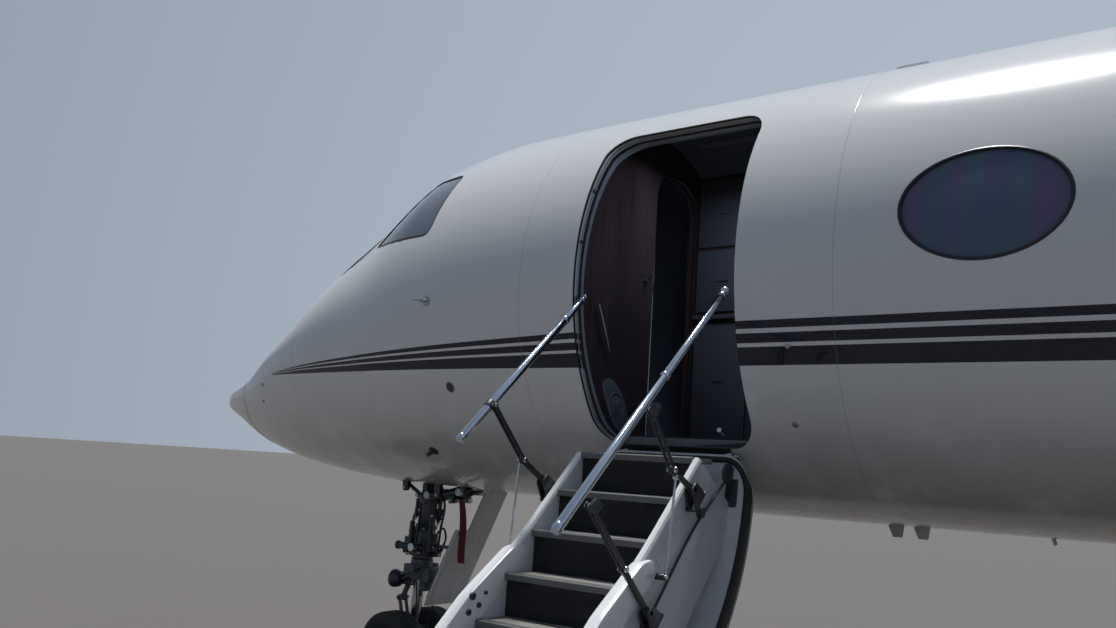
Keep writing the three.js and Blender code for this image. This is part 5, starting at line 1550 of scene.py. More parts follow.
def build_tail(paint, dark, lamp):
    """Fin and rudder, tailplane and elevators, and the bullet fairing that joins them."""
    fin_source = fin_skin()
    fin = keep(fin_source.copy(), "fin_skin", paint, "airframe")
    share = [(z - 3.99) / 3.13 for _x, _y, z in RUDDER_LINE]
    radii = []
    for (x, _y, _z), part in zip(RUDDER_LINE, share):
        edge, chord = 18.7 + 3.78 * part, 4.75 - 1.87 * part
        radii.append(half_thickness((x + MID - edge) / chord, 0.1) * chord * 0.98)
    rudder, _nose, _pins = hinged_cut(fin_source, "rudder_skin", paint, "rudder", fin,
                                      RUDDER_LINE, radii, [(1, 0), (1, 0)], [0.044, 0.060], "side", 0.012)
    fin_source.free()
    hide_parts("fin")
    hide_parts("rudder")
    plane_source = tailplane_skin()
    plane = keep(plane_source.copy(), "tailplane_skin", paint, "airframe")
    radii = []
    for x, y, _z in ELEVATOR_LINE:
        part = y / 4.7
        edge, chord = 22.9 + 2.66 * part, 2.74 - 1.47 * part
        radii.append(half_thickness((x + MID - edge) / chord, 0.09) * chord * 0.98)
    parts = hinged_cut(plane_source, "elevator_skin", paint, "elevator_right", plane,
                       ELEVATOR_LINE, radii, [(1, 0), plan_direction(ELEVATOR_LINE)], [0.016, 0.016],
                       "plan", 0.012)
    plane_source.free()
    right = [(plane, "airframe", "white_composite"),
             *[(piece, "elevator_right", "white_composite") for piece in parts]]
    others = pair_up(right)
    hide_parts("tailplane")
    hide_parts("elevator_right")
    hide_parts("elevator_left")
    bullet = between_rows([(22.15, 0.001), (22.3, 0.09), (22.8, 0.165), (23.8, 0.2), (25.0, 0.17),
                           (25.8, 0.095), (26.25, 0.001)], 6)
    fairing = turned([(station - MID, max(radius, 0.0)) for station, radius in bullet], 40, "X",
                     (0, 0, 7.25))
    keep(fairing, "bullet_fairing", paint, "airframe")
    cap = ellipsoid(at(26.20, 0, 7.25), (0.06, 0.034, 0.034), 20, 12)
    keep(cap, "tail_lamp", lamp, "airframe")
    cone = between_rows([(23.98, 0.14), (24.05, 0.125), (24.12, 0.09), (24.16, 0.03)], 3)
    vent = turned([(23.96 - MID, 0.10), *[(station - MID, radius) for station, radius in cone],
                   (24.16 - MID, 0.0)], 28, "X", (0, 0, AXIS + 0.61))
    keep(vent, "tail_vent", dark, "airframe")


# Cockpit glazing

def build_cockpit_glass(glass, rim, seal):
    """Two front panes and two side panes each side, set in dark frames with a soft seal round each pane."""
    stations = hull_stations(1.5, 3.6, 0.07)
    makers = [front_prism]
    for corners in SIDE_PANES:
        makers.append(lambda amount, corners=corners: mirror_y(side_prism(corners, amount)))
    panes, frames, seals = [], [], []
    for make in makers:
        for depths, outer, inner, store in (((0.006, 0.016), -0.013, None, panes),
                                            ((0.0005, 0.045), 0.003, -0.010, frames),
                                            ((0.004, 0.020), -0.0095, -0.019, seals)):
            piece = scratch(hull_shell(stations, *depths))
            carve(piece, [make(outer)], "INTERSECT")
            if inner is not None:
                carve(piece, [make(inner)])
            store.append(taken(piece))
    for parts, name, material, slot in ((frames, "pane_frames", rim, "gear_steel"),
                                        (seals, "pane_seals", seal, None),
                                        (panes[:1], "windscreen", glass, "cockpit_glass"),
                                        (panes[1:], "cockpit_side_panes", glass, "cockpit_glass")):
        piece = keep(merged(*parts), name + "_right", material)
        true_normals(piece)
        other = mirrored_piece(piece, name + "_left", "airframe")
        if name == "windscreen":
            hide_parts("windshield")
        if name == "cockpit_side_panes":
            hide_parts("side_window_right")
            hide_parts("side_window_left")


def build_wipers(dark):
    """A wiper at the foot of each front pane, laid on the glass."""
    arms = []
    for side in (-1, 1):
        def spot(across, up, lift):
            y = side * across
            z = AXIS + up
            station = 1.0
            while station < 3.2 and (abs(y) > hull_y(station - MID, z) or z > AXIS + crown_at(station)):
                station += 0.004
            return Vector(at(station, y, z)) + hull_normal(Vector(at(station, y, z))) * lift

        pivot = spot(0.17, 0.075, 0.012)
        middle = spot(0.30, 0.30, 0.030)
        tip = spot(0.36, 0.52, 0.020)
        arms.append(tube(smooth_path([pivot, middle, tip], 8), 0.006, 8))
        blade = [spot(0.30 + 0.10 * share, 0.30 + 0.42 * share, 0.014)
                 for share in (0, 0.25, 0.5, 0.75, 1.0)]
        arms.append(tube(smooth_path(blade, 4), 0.0075, 6))
        arms.append(rod(pivot - hull_normal(pivot) * 0.02, pivot + hull_normal(pivot) * 0.012, 0.018,
                        sides=16, bevel=0.003))
    keep(merged(*arms), "wipers", dark)


# Entry, floor and cockpit

def inside_hull(piece, start, end, inset=None):
    """Trim a piece to the space inside the hull's wall."""
    carve(piece, [hull_solid(hull_stations(start, end, 0.2), WALL + 0.0015 if inset is None else inset)],
          "INTERSECT")
    return piece


ENTRY_WALLS, ENTRY_WALL_THICKNESS, CABINET_FACE, AISLE_HALF = (4.33, 5.56), 0.04, 0.47, 0.26


def build_entry(wood, laminate, trim, carpet, lining, light, deck):
    """Glossy wood walls with an aisle through each, a cabinet opposite the door, floor and ceiling light."""
    walls, edges = [], []
    base, spring, crown, bend = FLOOR + 0.001, FLOOR + 1.56, FLOOR + 1.72, 0.16
    for station, left, right in ((ENTRY_WALLS[0], -0.085, 0.42), (ENTRY_WALLS[1], -AISLE_HALF, AISLE_HALF)):
        x = station - MID
        arch = [(left, spring), *reversed(arc((left + bend, spring), bend, 90, 180, 6)),
                *reversed(arc((right - bend, spring), bend, 0, 90, 6))]
        outline = [(-1.2, base), (left, base), *arch, (right, base), (1.2, base), (1.2, 3.9), (-1.2, 3.9)]
        walls.append(plate(outline, x, x + ENTRY_WALL_THICKNESS, "X"))
        frame_line = [(left, FLOOR + 0.01), (left, spring), (left + 0.05, FLOOR + 1.675),
                      (left + bend, crown), (right - bend, crown), (right - 0.05, FLOOR + 1.675),
                      (right, spring), (right, FLOOR + 0.01)]
        for face in (x - 0.001, x + ENTRY_WALL_THICKNESS + 0.001):
            edges.append(tube([(face, across, up) for across, up in frame_line], 0.005, 8))
    for x in (ENTRY_WALLS[0] - MID + 0.042, ENTRY_WALLS[1] - MID - 0.002):
        edges.append(box((x - 0.002, -1.05, FLOOR + 0.11), (x + 0.002, -AISLE_HALF - 0.02, FLOOR + 0.122),
                         0.0008, 1))
    latch = ENTRY_WALLS[0] - MID + 0.04
    edges.append(rod((latch, -0.195, 2.80), (latch + 0.034, -0.195, 2.80), 0.012, sides=14, bevel=0.002))
    edges.append(rod((latch + 0.030, -0.205, 2.785), (latch + 0.030, -0.165, 2.830), 0.010, sides=12,
                     bevel=0.003))
    front, aft = ENTRY_WALLS[0] + 0.042 - MID, ENTRY_WALLS[1] - 0.002 - MID
    walls.append(box((front, CABINET_FACE + 0.012, FLOOR + 0.001), (aft, 1.19, 3.9)))
    panels, handles = [], []
    width = (aft - front) / 3
    for index in range(3):
        left = front + width * index
        for low, high in ((0.06, 0.82), (0.90, 1.32), (1.34, 1.80)):
            panels.append(box((left + 0.006, CABINET_FACE, FLOOR + low),
                              (left + width - 0.006, CABINET_FACE + 0.02, FLOOR + high), 0.004))
            handles.append(box((left + width * 0.5 - 0.04, CABINET_FACE - 0.008,
                                FLOOR + (low + high) / 2 - 0.008),
                               (left + width * 0.5 + 0.04, CABINET_FACE, FLOOR + (low + high) / 2 + 0.008),
                               0.003))
    counter = box((front, CABINET_FACE - 0.03, FLOOR + 0.845), (aft, CABINET_FACE + 0.03, FLOOR + 0.875),
                  0.006)
    body = keep(merged(*walls), "entry_walls", wood)
    inside_hull(body, 4.2, 5.8)
    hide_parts("entry_furniture")
    doors = keep(merged(*panels), "entry_cabinet_doors", laminate)
    inside_hull(doors, 4.2, 5.8)
    border = keep(merged(*edges), "entry_trim", trim)
    inside_hull(border, 4.2, 5.8)
    keep(merged(*handles), "cabinet_handles", laminate)
    keep(counter, "entry_counter", laminate)
    floor = box(at(1.72, -1.19, FLOOR - 0.05), at(14.8, 1.19, FLOOR - 0.004))
    ground = keep(floor, "floor_deck", deck)
    inside_hull(ground, 1.6, 15.0)
    carve(ground, [box(at(DOOR_FRONT - 0.005, -1.3, FLOOR - 0.1),
                       at(DOOR_AFT + 0.005, -0.745, FLOOR + 0.05))])
    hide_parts("cabin_floor")
    pile = keep(box(at(1.75, -1.15, FLOOR - 0.004), at(14.7, 1.15, FLOOR)), "floor_carpet", carpet)
    inside_hull(pile, 1.6, 15.0, WALL + 0.03)
    carve(pile, [box(at(DOOR_FRONT - 0.02, -1.3, FLOOR - 0.1), at(DOOR_AFT + 0.02, -0.70, FLOOR + 0.05))])
    shell = keep(hull_shell(hull_stations(4.375, 5.555, 0.1), WALL + 0.002, WALL + 0.012), "entry_lining",
                 lining)
    carve(shell, [side_cutter(door_outline(-0.035)), box(at(4.2, -1.3, 1.2), at(5.8, 1.3, FLOOR + 0.002)),
                  box(at(4.2, CABINET_FACE, 1.2), at(5.8, 1.3, 4.0))])
    strip = rod(at(4.55, 0.12, AXIS + 1.105), at(5.4, 0.12, AXIS + 1.105), 0.02, sides=14, bevel=0.005)
    keep(strip, "ceiling_lamp", light)


def build_cockpit(panel_skin, screen, dark, metal, lining):
    """Panel with a shade and five blank screens, a console with levers, and two yokes."""
    body = plate(softened([(2.13, FLOOR + 0.001), (2.56, FLOOR + 0.001), (2.62, 2.48), (2.52, 2.74),
                           (2.25, 2.74), (2.13, 2.50)], 0.03), -1.05, 1.05, "Y")
    board = keep(moved(body, (-MID, 0, 0)), "instrument_board", panel_skin)
    inside_hull(board, 1.9, 3.6)
    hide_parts("instrument_panel")
    shade = plate(softened([(2.16, 2.735), (2.16, 2.765), (2.45, 2.79), (2.66, 2.755), (2.665, 2.725),
                            (2.45, 2.74)], 0.02), -0.86, 0.86, "Y", 0.004)
    cover = keep(moved(shade, (-MID, 0, 0)), "panel_shade", dark)
    inside_hull(cover, 1.9, 3.6)
    face = Matrix.Translation(at(2.571, 0, 2.605)) @ Matrix.Rotation(math.radians(-21), 4, "Y")
    frames, screens, knobs = [], [], []
    for across in (-0.66, -0.38, 0.0, 0.38, 0.66):
        for part, half, depth, store in ((0.128, 0.10, (-0.004, 0.010), frames),
                                         (0.116, 0.088, (0.009, 0.0125), screens)):
            sheet = plate(rounded_rect(across - part, -half, across + part, half, 0.012, 3), *depth, "X",
                          0.0015)
            sheet.transform(face)
            store.append(sheet)
        for knob in (-0.09, -0.045, 0.0, 0.045, 0.09):
            button = rod((0.008, across + knob, -0.118), (0.024, across + knob, -0.118), 0.008, sides=12,
                         bevel=0.0015)
            button.transform(face)
            knobs.append(button)
    keep(merged(*frames), "screen_frames", dark)
    keep(merged(*screens), "blank_screens", screen)
    keep(merged(*knobs), "panel_knobs", metal)
    console = [box(at(2.50, -0.13, FLOOR + 0.001), at(3.35, 0.13, FLOOR + 0.46), 0.012),
               box(at(2.55, -0.115, FLOOR + 0.455), at(3.30, 0.115, FLOOR + 0.475), 0.005)]
    keep(merged(*console), "centre_console", dark)
    levers = []
    for across in (-0.045, -0.015, 0.015, 0.045):
        levers.append(rod(at(2.86, across, FLOOR + 0.47), at(2.80, across, FLOOR + 0.60), 0.006, sides=8))
        levers.append(rod(at(2.80, across - 0.012, FLOOR + 0.60), at(2.80, across + 0.012, FLOOR + 0.60),
                          0.014, sides=12, bevel=0.003))
    for side in (-1, 1):
        y = side * SEAT_ACROSS
        levers.append(tube(smooth_path([at(2.88, y, FLOOR + 0.02), at(2.86, y, FLOOR + 0.40),
                                        at(2.80, y, FLOOR + 0.60)], 5), 0.022, 12))
        horn = [(2.80, 0.15, 0.78), (2.79, 0.155, 0.66), (2.79, 0.07, 0.61)]
        wheel = [(station, -across, up) for station, across, up in horn]
        wheel += [(2.79, 0.0, 0.60), *reversed(horn)]
        route = [at(station, y + across, FLOOR + up) for station, across, up in wheel]
        levers.append(tube(smooth_path(route, 4), 0.017, 10))
    keep(merged(*levers), "cockpit_controls", dark)
    shell = keep(hull_shell(hull_stations(1.75, 4.32, 0.12), WALL + 0.002, WALL + 0.010), "cockpit_lining",
                 lining)
    cuts = [box(at(1.6, -1.3, 1.2), at(4.4, 1.3, FLOOR + 0.002)), front_prism(0.02),
            mirror_y(front_prism(0.02))]
    for corners in SIDE_PANES:
        cuts += [mirror_y(side_prism(corners, 0.02)), side_prism(corners, 0.02)]
    carve(shell, cuts)


def cushion(name, low, high, leather, lean=0.0, about=(0, 0, 0)):
    """A crowned leather pad: a block with rounded edges whose faces swell between two sewn channels."""
    low, high = Vector(low), Vector(high)
    middle, half = (low + high) / 2, (high - low) / 2
    bm = bmesh.new()
    bmesh.ops.create_cube(bm, size=2.0)
    bmesh.ops.subdivide_edges(bm, edges=bm.edges, cuts=21, use_grid_fill=True)
    for vertex in bm.verts:
        place = vertex.co.copy()
        room = [1 - abs(value) ** 4 for value in place]
        swell = Vector((place.x * (0.80 + 0.20 * room[1] * room[2]),
                        place.y * (0.93 + 0.07 * room[0] * room[2]),
                        place.z * (0.86 + 0.14 * room[0] * room[1])))
        channel = min(abs(abs(place.y) - 0.42), 1.0)
        sink = 0.10 * max(0.0, 1 - channel / 0.09) if max(abs(place.x), abs(place.z)) > 0.99 else 0.0
        swell.x *= 1 - (sink if abs(place.x) > 0.99 else 0.0)
        swell.z *= 1 - (sink if abs(place.z) > 0.99 else 0.0)
        corner = max(0.0, swell.length - 1.36)
        vertex.co = swell * (1 - 0.30 * corner)
    bmesh.ops.smooth_vert(bm, verts=bm.verts, factor=0.5, use_axis_x=True, use_axis_y=True, use_axis_z=True)
    bm.transform(Matrix.Translation(middle) @ Matrix.Diagonal((*half, 1)))
    if lean:
        bm.transform(turn_about(about, lean, "Y"))
    pad = keep(bm, name, leather, "airframe", smooth=60)
    return pad


SEAT_LEAN = math.radians(11.2)
SEAT_ACROSS = 0.46


def build_crew_seats(leather, dark):
    """Two crew seats: seat pad, back pad and headrest on a shell with arms, each on its own pedestal."""
    for side, word, node in ((-1, "pilot", "pilot_seat"), (1, "copilot", "copilot_seat")):
        y = side * SEAT_ACROSS
        seat = cushion(f"{word}_seat_cushion", at(3.14, y - 0.22, 2.17), at(3.62, y + 0.22, 2.275), leather)
        root = at(3.61, y, 2.28)
        cushion(f"{word}_seat_back", at(3.61, y - 0.215, 2.29), at(3.715, y + 0.215, 2.95), leather,
                SEAT_LEAN, root)
        cushion(f"{word}_headrest", at(3.62, y - 0.13, 2.955), at(3.70, y + 0.13, 3.07), leather, SEAT_LEAN,
                root)
        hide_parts(node)
        shell = [box(at(3.28, y - 0.10, FLOOR + 0.001), at(3.60, y + 0.10, 2.10), 0.01),
                 box(at(3.17, y - 0.20, 2.10), at(3.70, y + 0.20, 2.165), 0.012)]
        panel = box(at(3.72, y - 0.20, 2.20), at(3.735, y + 0.20, 2.93), 0.006)
        panel.transform(turn_about(root, SEAT_LEAN, "Y"))
        shell.append(panel)
        for across in (-0.212, 0.212):
            shell.append(box(at(3.34, y + across - 0.016, 2.40), at(3.64, y + across + 0.016, 2.435),
                             0.008))
            shell.append(rod(at(3.63, y + across, 2.42), at(3.74, y + across * 0.92, 2.42), 0.012,
                             sides=10))
        keep(merged(*shell), f"{word}_seat_frame", dark)


# Wheels and legs

NOSE_WHEEL = dict(station=2.446, half=0.190, radius=0.2665, width=0.184, rim=0.130, axle=0.032)
MAIN_WHEEL = dict(station=14.06, half=0.235, radius=0.432, width=0.235, rim=0.225, axle=0.052)


def tyre_shape(radius, width, rim):
    """Tyre section as (across, radius): rounded shoulders and four round grooves in the tread."""
    half = width / 2
    tread, shoulder = radius, radius - 0.13 * (radius - rim)
    loop = [(-0.80 * half, rim + 0.001), (-0.93 * half, rim + 0.10 * (radius - rim)),
            (-half, rim + 0.42 * (radius - rim)), (-0.965 * half, rim + 0.70 * (radius - rim)),
            (-0.86 * half, shoulder), (-0.72 * half, tread - 0.003)]
    grooves = []
    for place in (-0.45, -0.15, 0.15, 0.45):
        centre = place * half
        grooves += [(centre - 0.032 * half - 0.002, tread - 0.0008), (centre - 0.0035, tread - 0.0075),
                    (centre + 0.0035, tread - 0.0075), (centre + 0.032 * half + 0.002, tread - 0.0008)]
    other = [(-across, up) for across, up in reversed(loop)]
    return [*loop, *grooves, *other]


def build_tyre(wheel, x, y, z, name, body, material):
    shape = tyre_shape(wheel["radius"] - 0.0005, wheel["width"], wheel["rim"])
    return keep(turned([*shape, shape[0]], 72, "Y", (x, y, z)), name, material, body, smooth=50)


def rim_half(wheel, side):
    """One rim: rounded bead flanges, a dished web with round holes, and a ring of bolts round the hub."""
    half, rim, axle = wheel["width"] / 2, wheel["rim"], wheel["axle"]
    profile = [(-0.86 * half, axle + 0.01), (-0.86 * half, rim * 0.80), (-0.90 * half, rim * 0.90),
               (-0.93 * half, rim * 1.055), (-0.86 * half, rim * 1.075), (-0.80 * half, rim * 0.99),
               (0.80 * half, rim * 0.99), (0.86 * half, rim * 1.075), (0.93 * half, rim * 1.055),
               (0.90 * half, rim * 0.93), (0.80 * half, rim * 0.885), (0.46 * half, rim * 0.83),
               (0.36 * half, rim * 0.74), (0.40 * half, rim * 0.50), (0.62 * half, rim * 0.42),
               (0.80 * half, rim * 0.36), (0.80 * half, axle + 0.01)]
    profile = [(side * along, radius) for along, radius in profile]
    return turned([*profile, profile[0]], 56, "Y")


def build_wheel_pair(wheel, x, y, z, word, body, tyre_material, alloy, dark, bright, tyre_names, node):
    """Two rims with round holes and bolts, one axle through both, and two grooved tyres."""
    rims, cutters, bolts = [], [], []
    for side in (-1, 1):
        rims.append(moved(rim_half(wheel, side), (x, y + side * wheel["half"], z)))
        face = y + side * (wheel["half"] + 0.40 * wheel["width"] / 2)
        count = 9 if wheel is MAIN_WHEEL else 6
        for index in range(count):
            angle = 2 * math.pi * (index + 0.5) / count
            reach = wheel["rim"] * 0.64
            hole = (x + reach * math.cos(angle), face, z + reach * math.sin(angle))
            cutters.append(cross_rod(*hole, 0.1, wheel["rim"] * 0.095, sides=20))
            reach = wheel["rim"] * 0.865
            spot = (x + reach * math.cos(angle + 0.35), z + reach * math.sin(angle + 0.35))
            near = y + side * (wheel["half"] + 0.60 * wheel["width"] / 2)
            bolts.append(rod((spot[0], near, spot[1]), (spot[0], near + side * 0.016, spot[1]),
                             wheel["rim"] * 0.045, sides=6, bevel=0.001))
        cap = turned([(0.0, 0.0), (0.0, wheel["axle"] * 1.55), (0.012, wheel["axle"] * 1.5),
                      (0.020, wheel["axle"] * 1.1), (0.023, 0.0)], 32, "Y")
        if side < 0:
            mirror_y(cap)
        bolts.append(moved(cap, (x, y + side * (wheel["half"] + 0.40 * wheel["width"]), z)))
    pair = keep(merged(*rims), f"{word}_rims", alloy, body)
    carve(pair, cutters)
    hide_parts(node)
    keep(merged(*bolts), f"{word}_wheel_bolts", bright, body)
    axle = cross_rod(x, y, z, wheel["half"], wheel["axle"] - 0.0005, sides=32)
    keep(axle, f"{word}_axle", dark, body)
    for side, name, tyre_node in tyre_names:
        tyre = build_tyre(wheel, x, y + side * wheel["half"], z, name, body, tyre_material)
        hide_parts(tyre_node)


NOSE_FOOT = Vector(at(2.446, 0, 0.2665))
NOSE_TOP = Vector(at(2.530, 0, 1.482))
NOSE_AXIS = (NOSE_TOP - NOSE_FOOT).normalized()


# The drag brace's two ends as (x, z), and the top and length of the door behind the leg
NOSE_BRACE = ((2.53 - MID, 1.33), (3.06 - MID, 1.48))
NOSE_DOOR_TOP, NOSE_DOOR_LENGTH = Vector(at(3.118, 0, 1.498)), 0.988


def nose_leg_at(height, forward=0.0, across=0.0):
    """A place beside the nose leg's axis at a height."""
    spot = NOSE_FOOT + NOSE_AXIS * ((height - NOSE_FOOT.z) / NOSE_AXIS.z)
    return spot + Vector((-forward, across, 0))


# Blocks on the nose strut: height, how far ahead and across, and half sizes along, across and up
NOSE_BLOCKS = [
    (1.085, 0.085, 0.000, 0.024, 0.050, 0.042), (1.020, -0.098, -0.030, 0.026, 0.040, 0.060),
    (0.965, 0.000, -0.096, 0.045, 0.018, 0.040), (0.965, 0.000, 0.096, 0.045, 0.018, 0.040),
    (1.225, -0.080, 0.045, 0.020, 0.025, 0.040), (0.945, -0.088, 0.045, 0.026, 0.028, 0.028),
    (1.170, 0.078, 0.030, 0.018, 0.022, 0.030), (1.130, -0.030, -0.090, 0.040, 0.016, 0.022),
]
# Small cylinders along the strut: low and high end, how far ahead and across, radius
NOSE_CYLINDERS = [(0.985, 1.205, -0.096, -0.058, 0.022), (1.010, 1.170, 0.055, -0.092, 0.018),
                  (1.165, 1.400, -0.078, 0.034, 0.015), (1.000, 1.120, 0.060, 0.090, 0.020),
                  (1.200, 1.330, 0.060, -0.060, 0.014), (0.935, 1.000, 0.105, -0.062, 0.017),]
# Hoses: places on the way as height, ahead, across, and radius
NOSE_HOSES = [
    ([(1.44, 0.02, 0.07), (1.30, 0.03, 0.085), (1.15, 0.06, 0.10), (0.98, 0.04, 0.112)], 0.0090),
    ([(1.44, 0.0, -0.07), (1.31, 0.0, -0.085), (1.15, -0.03, -0.115), (0.96, -0.02, -0.118)], 0.0090),
    ([(1.42, -0.06, 0.05), (1.28, -0.105, 0.055), (1.12, -0.115, 0.03), (0.95, -0.10, 0.045)], 0.0085),
    ([(1.20, 0.085, -0.03), (1.14, 0.135, -0.02), (1.06, 0.150, 0.01), (0.99, 0.12, 0.05)], 0.0075),
    ([(1.10, 0.10, 0.04), (1.03, 0.16, 0.02), (0.965, 0.185, -0.02), (0.935, 0.14, -0.05)], 0.0070),
    ([(1.06, -0.12, -0.04), (1.13, -0.165, 0.0), (1.06, -0.175, 0.03), (0.96, -0.125, 0.05)], 0.0075),
    ([(1.36, 0.075, 0.02), (1.27, 0.115, 0.0), (1.18, 0.105, -0.04), (1.09, 0.085, -0.075)], 0.0065),
    ([(1.0, -0.06, -0.10), (1.07, -0.09, -0.125), (1.15, -0.06, -0.12), (1.22, -0.02, -0.095)], 0.0065),
]
# Rods and links of the forward doors and the drag brace, below the skin: start, end, radius
BAY_RODS = [((2.62, -0.118, 1.365), (2.92, -0.118, 1.405), 0.022),
            ((2.92, -0.118, 1.405), (3.05, -0.118, 1.440), 0.011),
            ((2.56, 0.118, 1.370), (2.90, 0.118, 1.410), 0.022),
            ((2.64, -0.040, 1.395), (2.83, -0.020, 1.345), 0.015),
            ((2.83, -0.020, 1.345), (3.04, 0.000, 1.450), 0.015),
            ((2.64, 0.040, 1.395), (2.83, 0.020, 1.345), 0.015),
            ((2.40, -0.120, 1.440), (2.52, -0.095, 1.360), 0.014),
            ((2.40, 0.120, 1.440), (2.52, 0.095, 1.360), 0.014),
            ((2.52, -0.130, 1.360), (2.52, 0.130, 1.360), 0.012),
            ((2.83, -0.070, 1.345), (2.83, 0.070, 1.345), 0.019),]
# Hanging brackets of the wheel bay: front, aft, low, high, and the side they hang at
BAY_BRACKETS = [(2.385, 2.450, 1.385, 1.500, -0.150), (2.700, 2.770, 1.350, 1.500, -0.150),
                (2.950, 3.000, 1.375, 1.500, -0.150), (2.385, 2.450, 1.385, 1.500, 0.150),
                (2.700, 2.770, 1.350, 1.500, 0.150), (2.950, 3.000, 1.375, 1.500, 0.150),
                (2.560, 2.600, 1.340, 1.450, -0.105), (2.800, 2.860, 1.320, 1.380, -0.105),]


def build_nose_plumbing(dark, metal, hose_rubber, webbing):
    """Valves, cylinders and hoses crowded round the nose strut, and the door links under the belly."""
    blocks, caps = [], []
    for height, ahead, across, along, wide, tall in NOSE_BLOCKS:
        spot = nose_leg_at(height, ahead, across)
        half = Vector((along, wide, tall))
        blocks.append(box(spot - half, spot + half, 0.006))
        way = -1 if ahead > 0 else 1
        for shift in (-0.45, 0.45):
            head = spot + Vector((way * along, wide * shift, tall * shift))
            ends = [head - Vector((way * 0.004, 0, 0)), head + Vector((way * 0.012, 0, 0))]
            caps.append(rod(*ends, 0.009, sides=6, bevel=0.0015))
    for low, high, ahead, across, radius in NOSE_CYLINDERS:
        ends = [nose_leg_at(low, ahead, across), nose_leg_at(high, ahead, across)]
        blocks.append(rod(*ends, radius, sides=20, bevel=0.005))
        for end, way in ((ends[0], -0.018), (ends[1], 0.018)):
            caps.append(rod(end, end + NOSE_AXIS * way, radius * 0.55, sides=12, bevel=0.002))
            blocks.append(rod(end - NOSE_AXIS * way * 1.4, end - NOSE_AXIS * way * 0.9, radius * 1.13,
                              sides=20, bevel=0.001))
    for start, end, radius in BAY_RODS:
        blocks.append(rod(at(*start), at(*end), radius, sides=18, bevel=0.003))
        for spot in (start, end):
            caps.append(cross_rod(*at(*spot), radius * 1.3, radius * 1.25, sides=16, bevel=0.002))
    for front, aft, low, high, y in BAY_BRACKETS:
        outline = softened([(front - MID, high), (aft - MID, high), (aft - MID - 0.012, low),
                            (front - MID + 0.012, low)], 0.014)
        for shift in (-0.014, 0.008):
            blocks.append(plate(outline, y + shift, y + shift + 0.006, "Y", 0.001))
        middle = (front + aft) / 2 - MID
        caps.append(cross_rod(middle, y, low + 0.022, 0.022, 0.010, sides=12, bevel=0.002))
    keep(merged(*blocks), "nose_leg_fittings", dark)
    keep(merged(*caps), "nose_leg_bolts", metal)
    hoses = []
    for stops, radius in NOSE_HOSES:
        route = smooth_path([nose_leg_at(*stop) for stop in stops], 7)
        hoses.append(tube(route, radius, 10))
        for end, other in ((route[0], route[1]), (route[-1], route[-2])):
            hoses.append(rod(end, end + (Vector(other) - Vector(end)).normalized() * 0.026, radius * 1.6,
                             sides=6, bevel=0.001))
    keep(merged(*hoses), "nose_hoses", hose_rubber)
    ribbon = []
    for step in range(13):
        share = step / 12
        sway = 0.012 * math.sin(share * 5.0)
        x, z = 2.966 + 0.042 * share - MID, 1.345 - 0.42 * share
        y = -0.150 + sway
        turn = 0.5 * math.sin(share * 2.2)
        along = Vector((math.cos(turn), math.sin(turn), 0)) * 0.025
        face = Vector((-math.sin(turn), math.cos(turn), 0)) * 0.0007
        middle = Vector((x, y, z))
        ribbon.append([middle - along - face, middle + along - face, middle + along + face,
                       middle - along + face])
    streamer = keep(loft(ribbon), "red_streamer", webbing)


def leg_tube(low, high, radius, bevel=0.004, sides=36):
    return rod(nose_leg_at(low), nose_leg_at(high), radius, sides=sides, bevel=bevel)


def flat_link(start, end, half_wide, thickness, across, eye):
    """A forged link in the plane of symmetry between two places given as (x, z)."""
    a, b = Vector(start), Vector(end)
    along = (b - a).normalized()
    side = Vector((-along.y, along.x))
    base = math.degrees(math.atan2(along.y, along.x))
    outline = [*arc(b, eye, base - 80, base + 80, 8), tuple(b + side * half_wide * 0.8 - along * eye * 1.3),
               tuple(a + side * half_wide + along * eye * 1.3), *arc(a, eye, base + 100, base + 260, 8),
               tuple(a - side * half_wide + along * eye * 1.3),
               tuple(b - side * half_wide * 0.8 - along * eye * 1.3)]
    return plate(outline, across - thickness / 2, across + thickness / 2, "Y", 0.002)


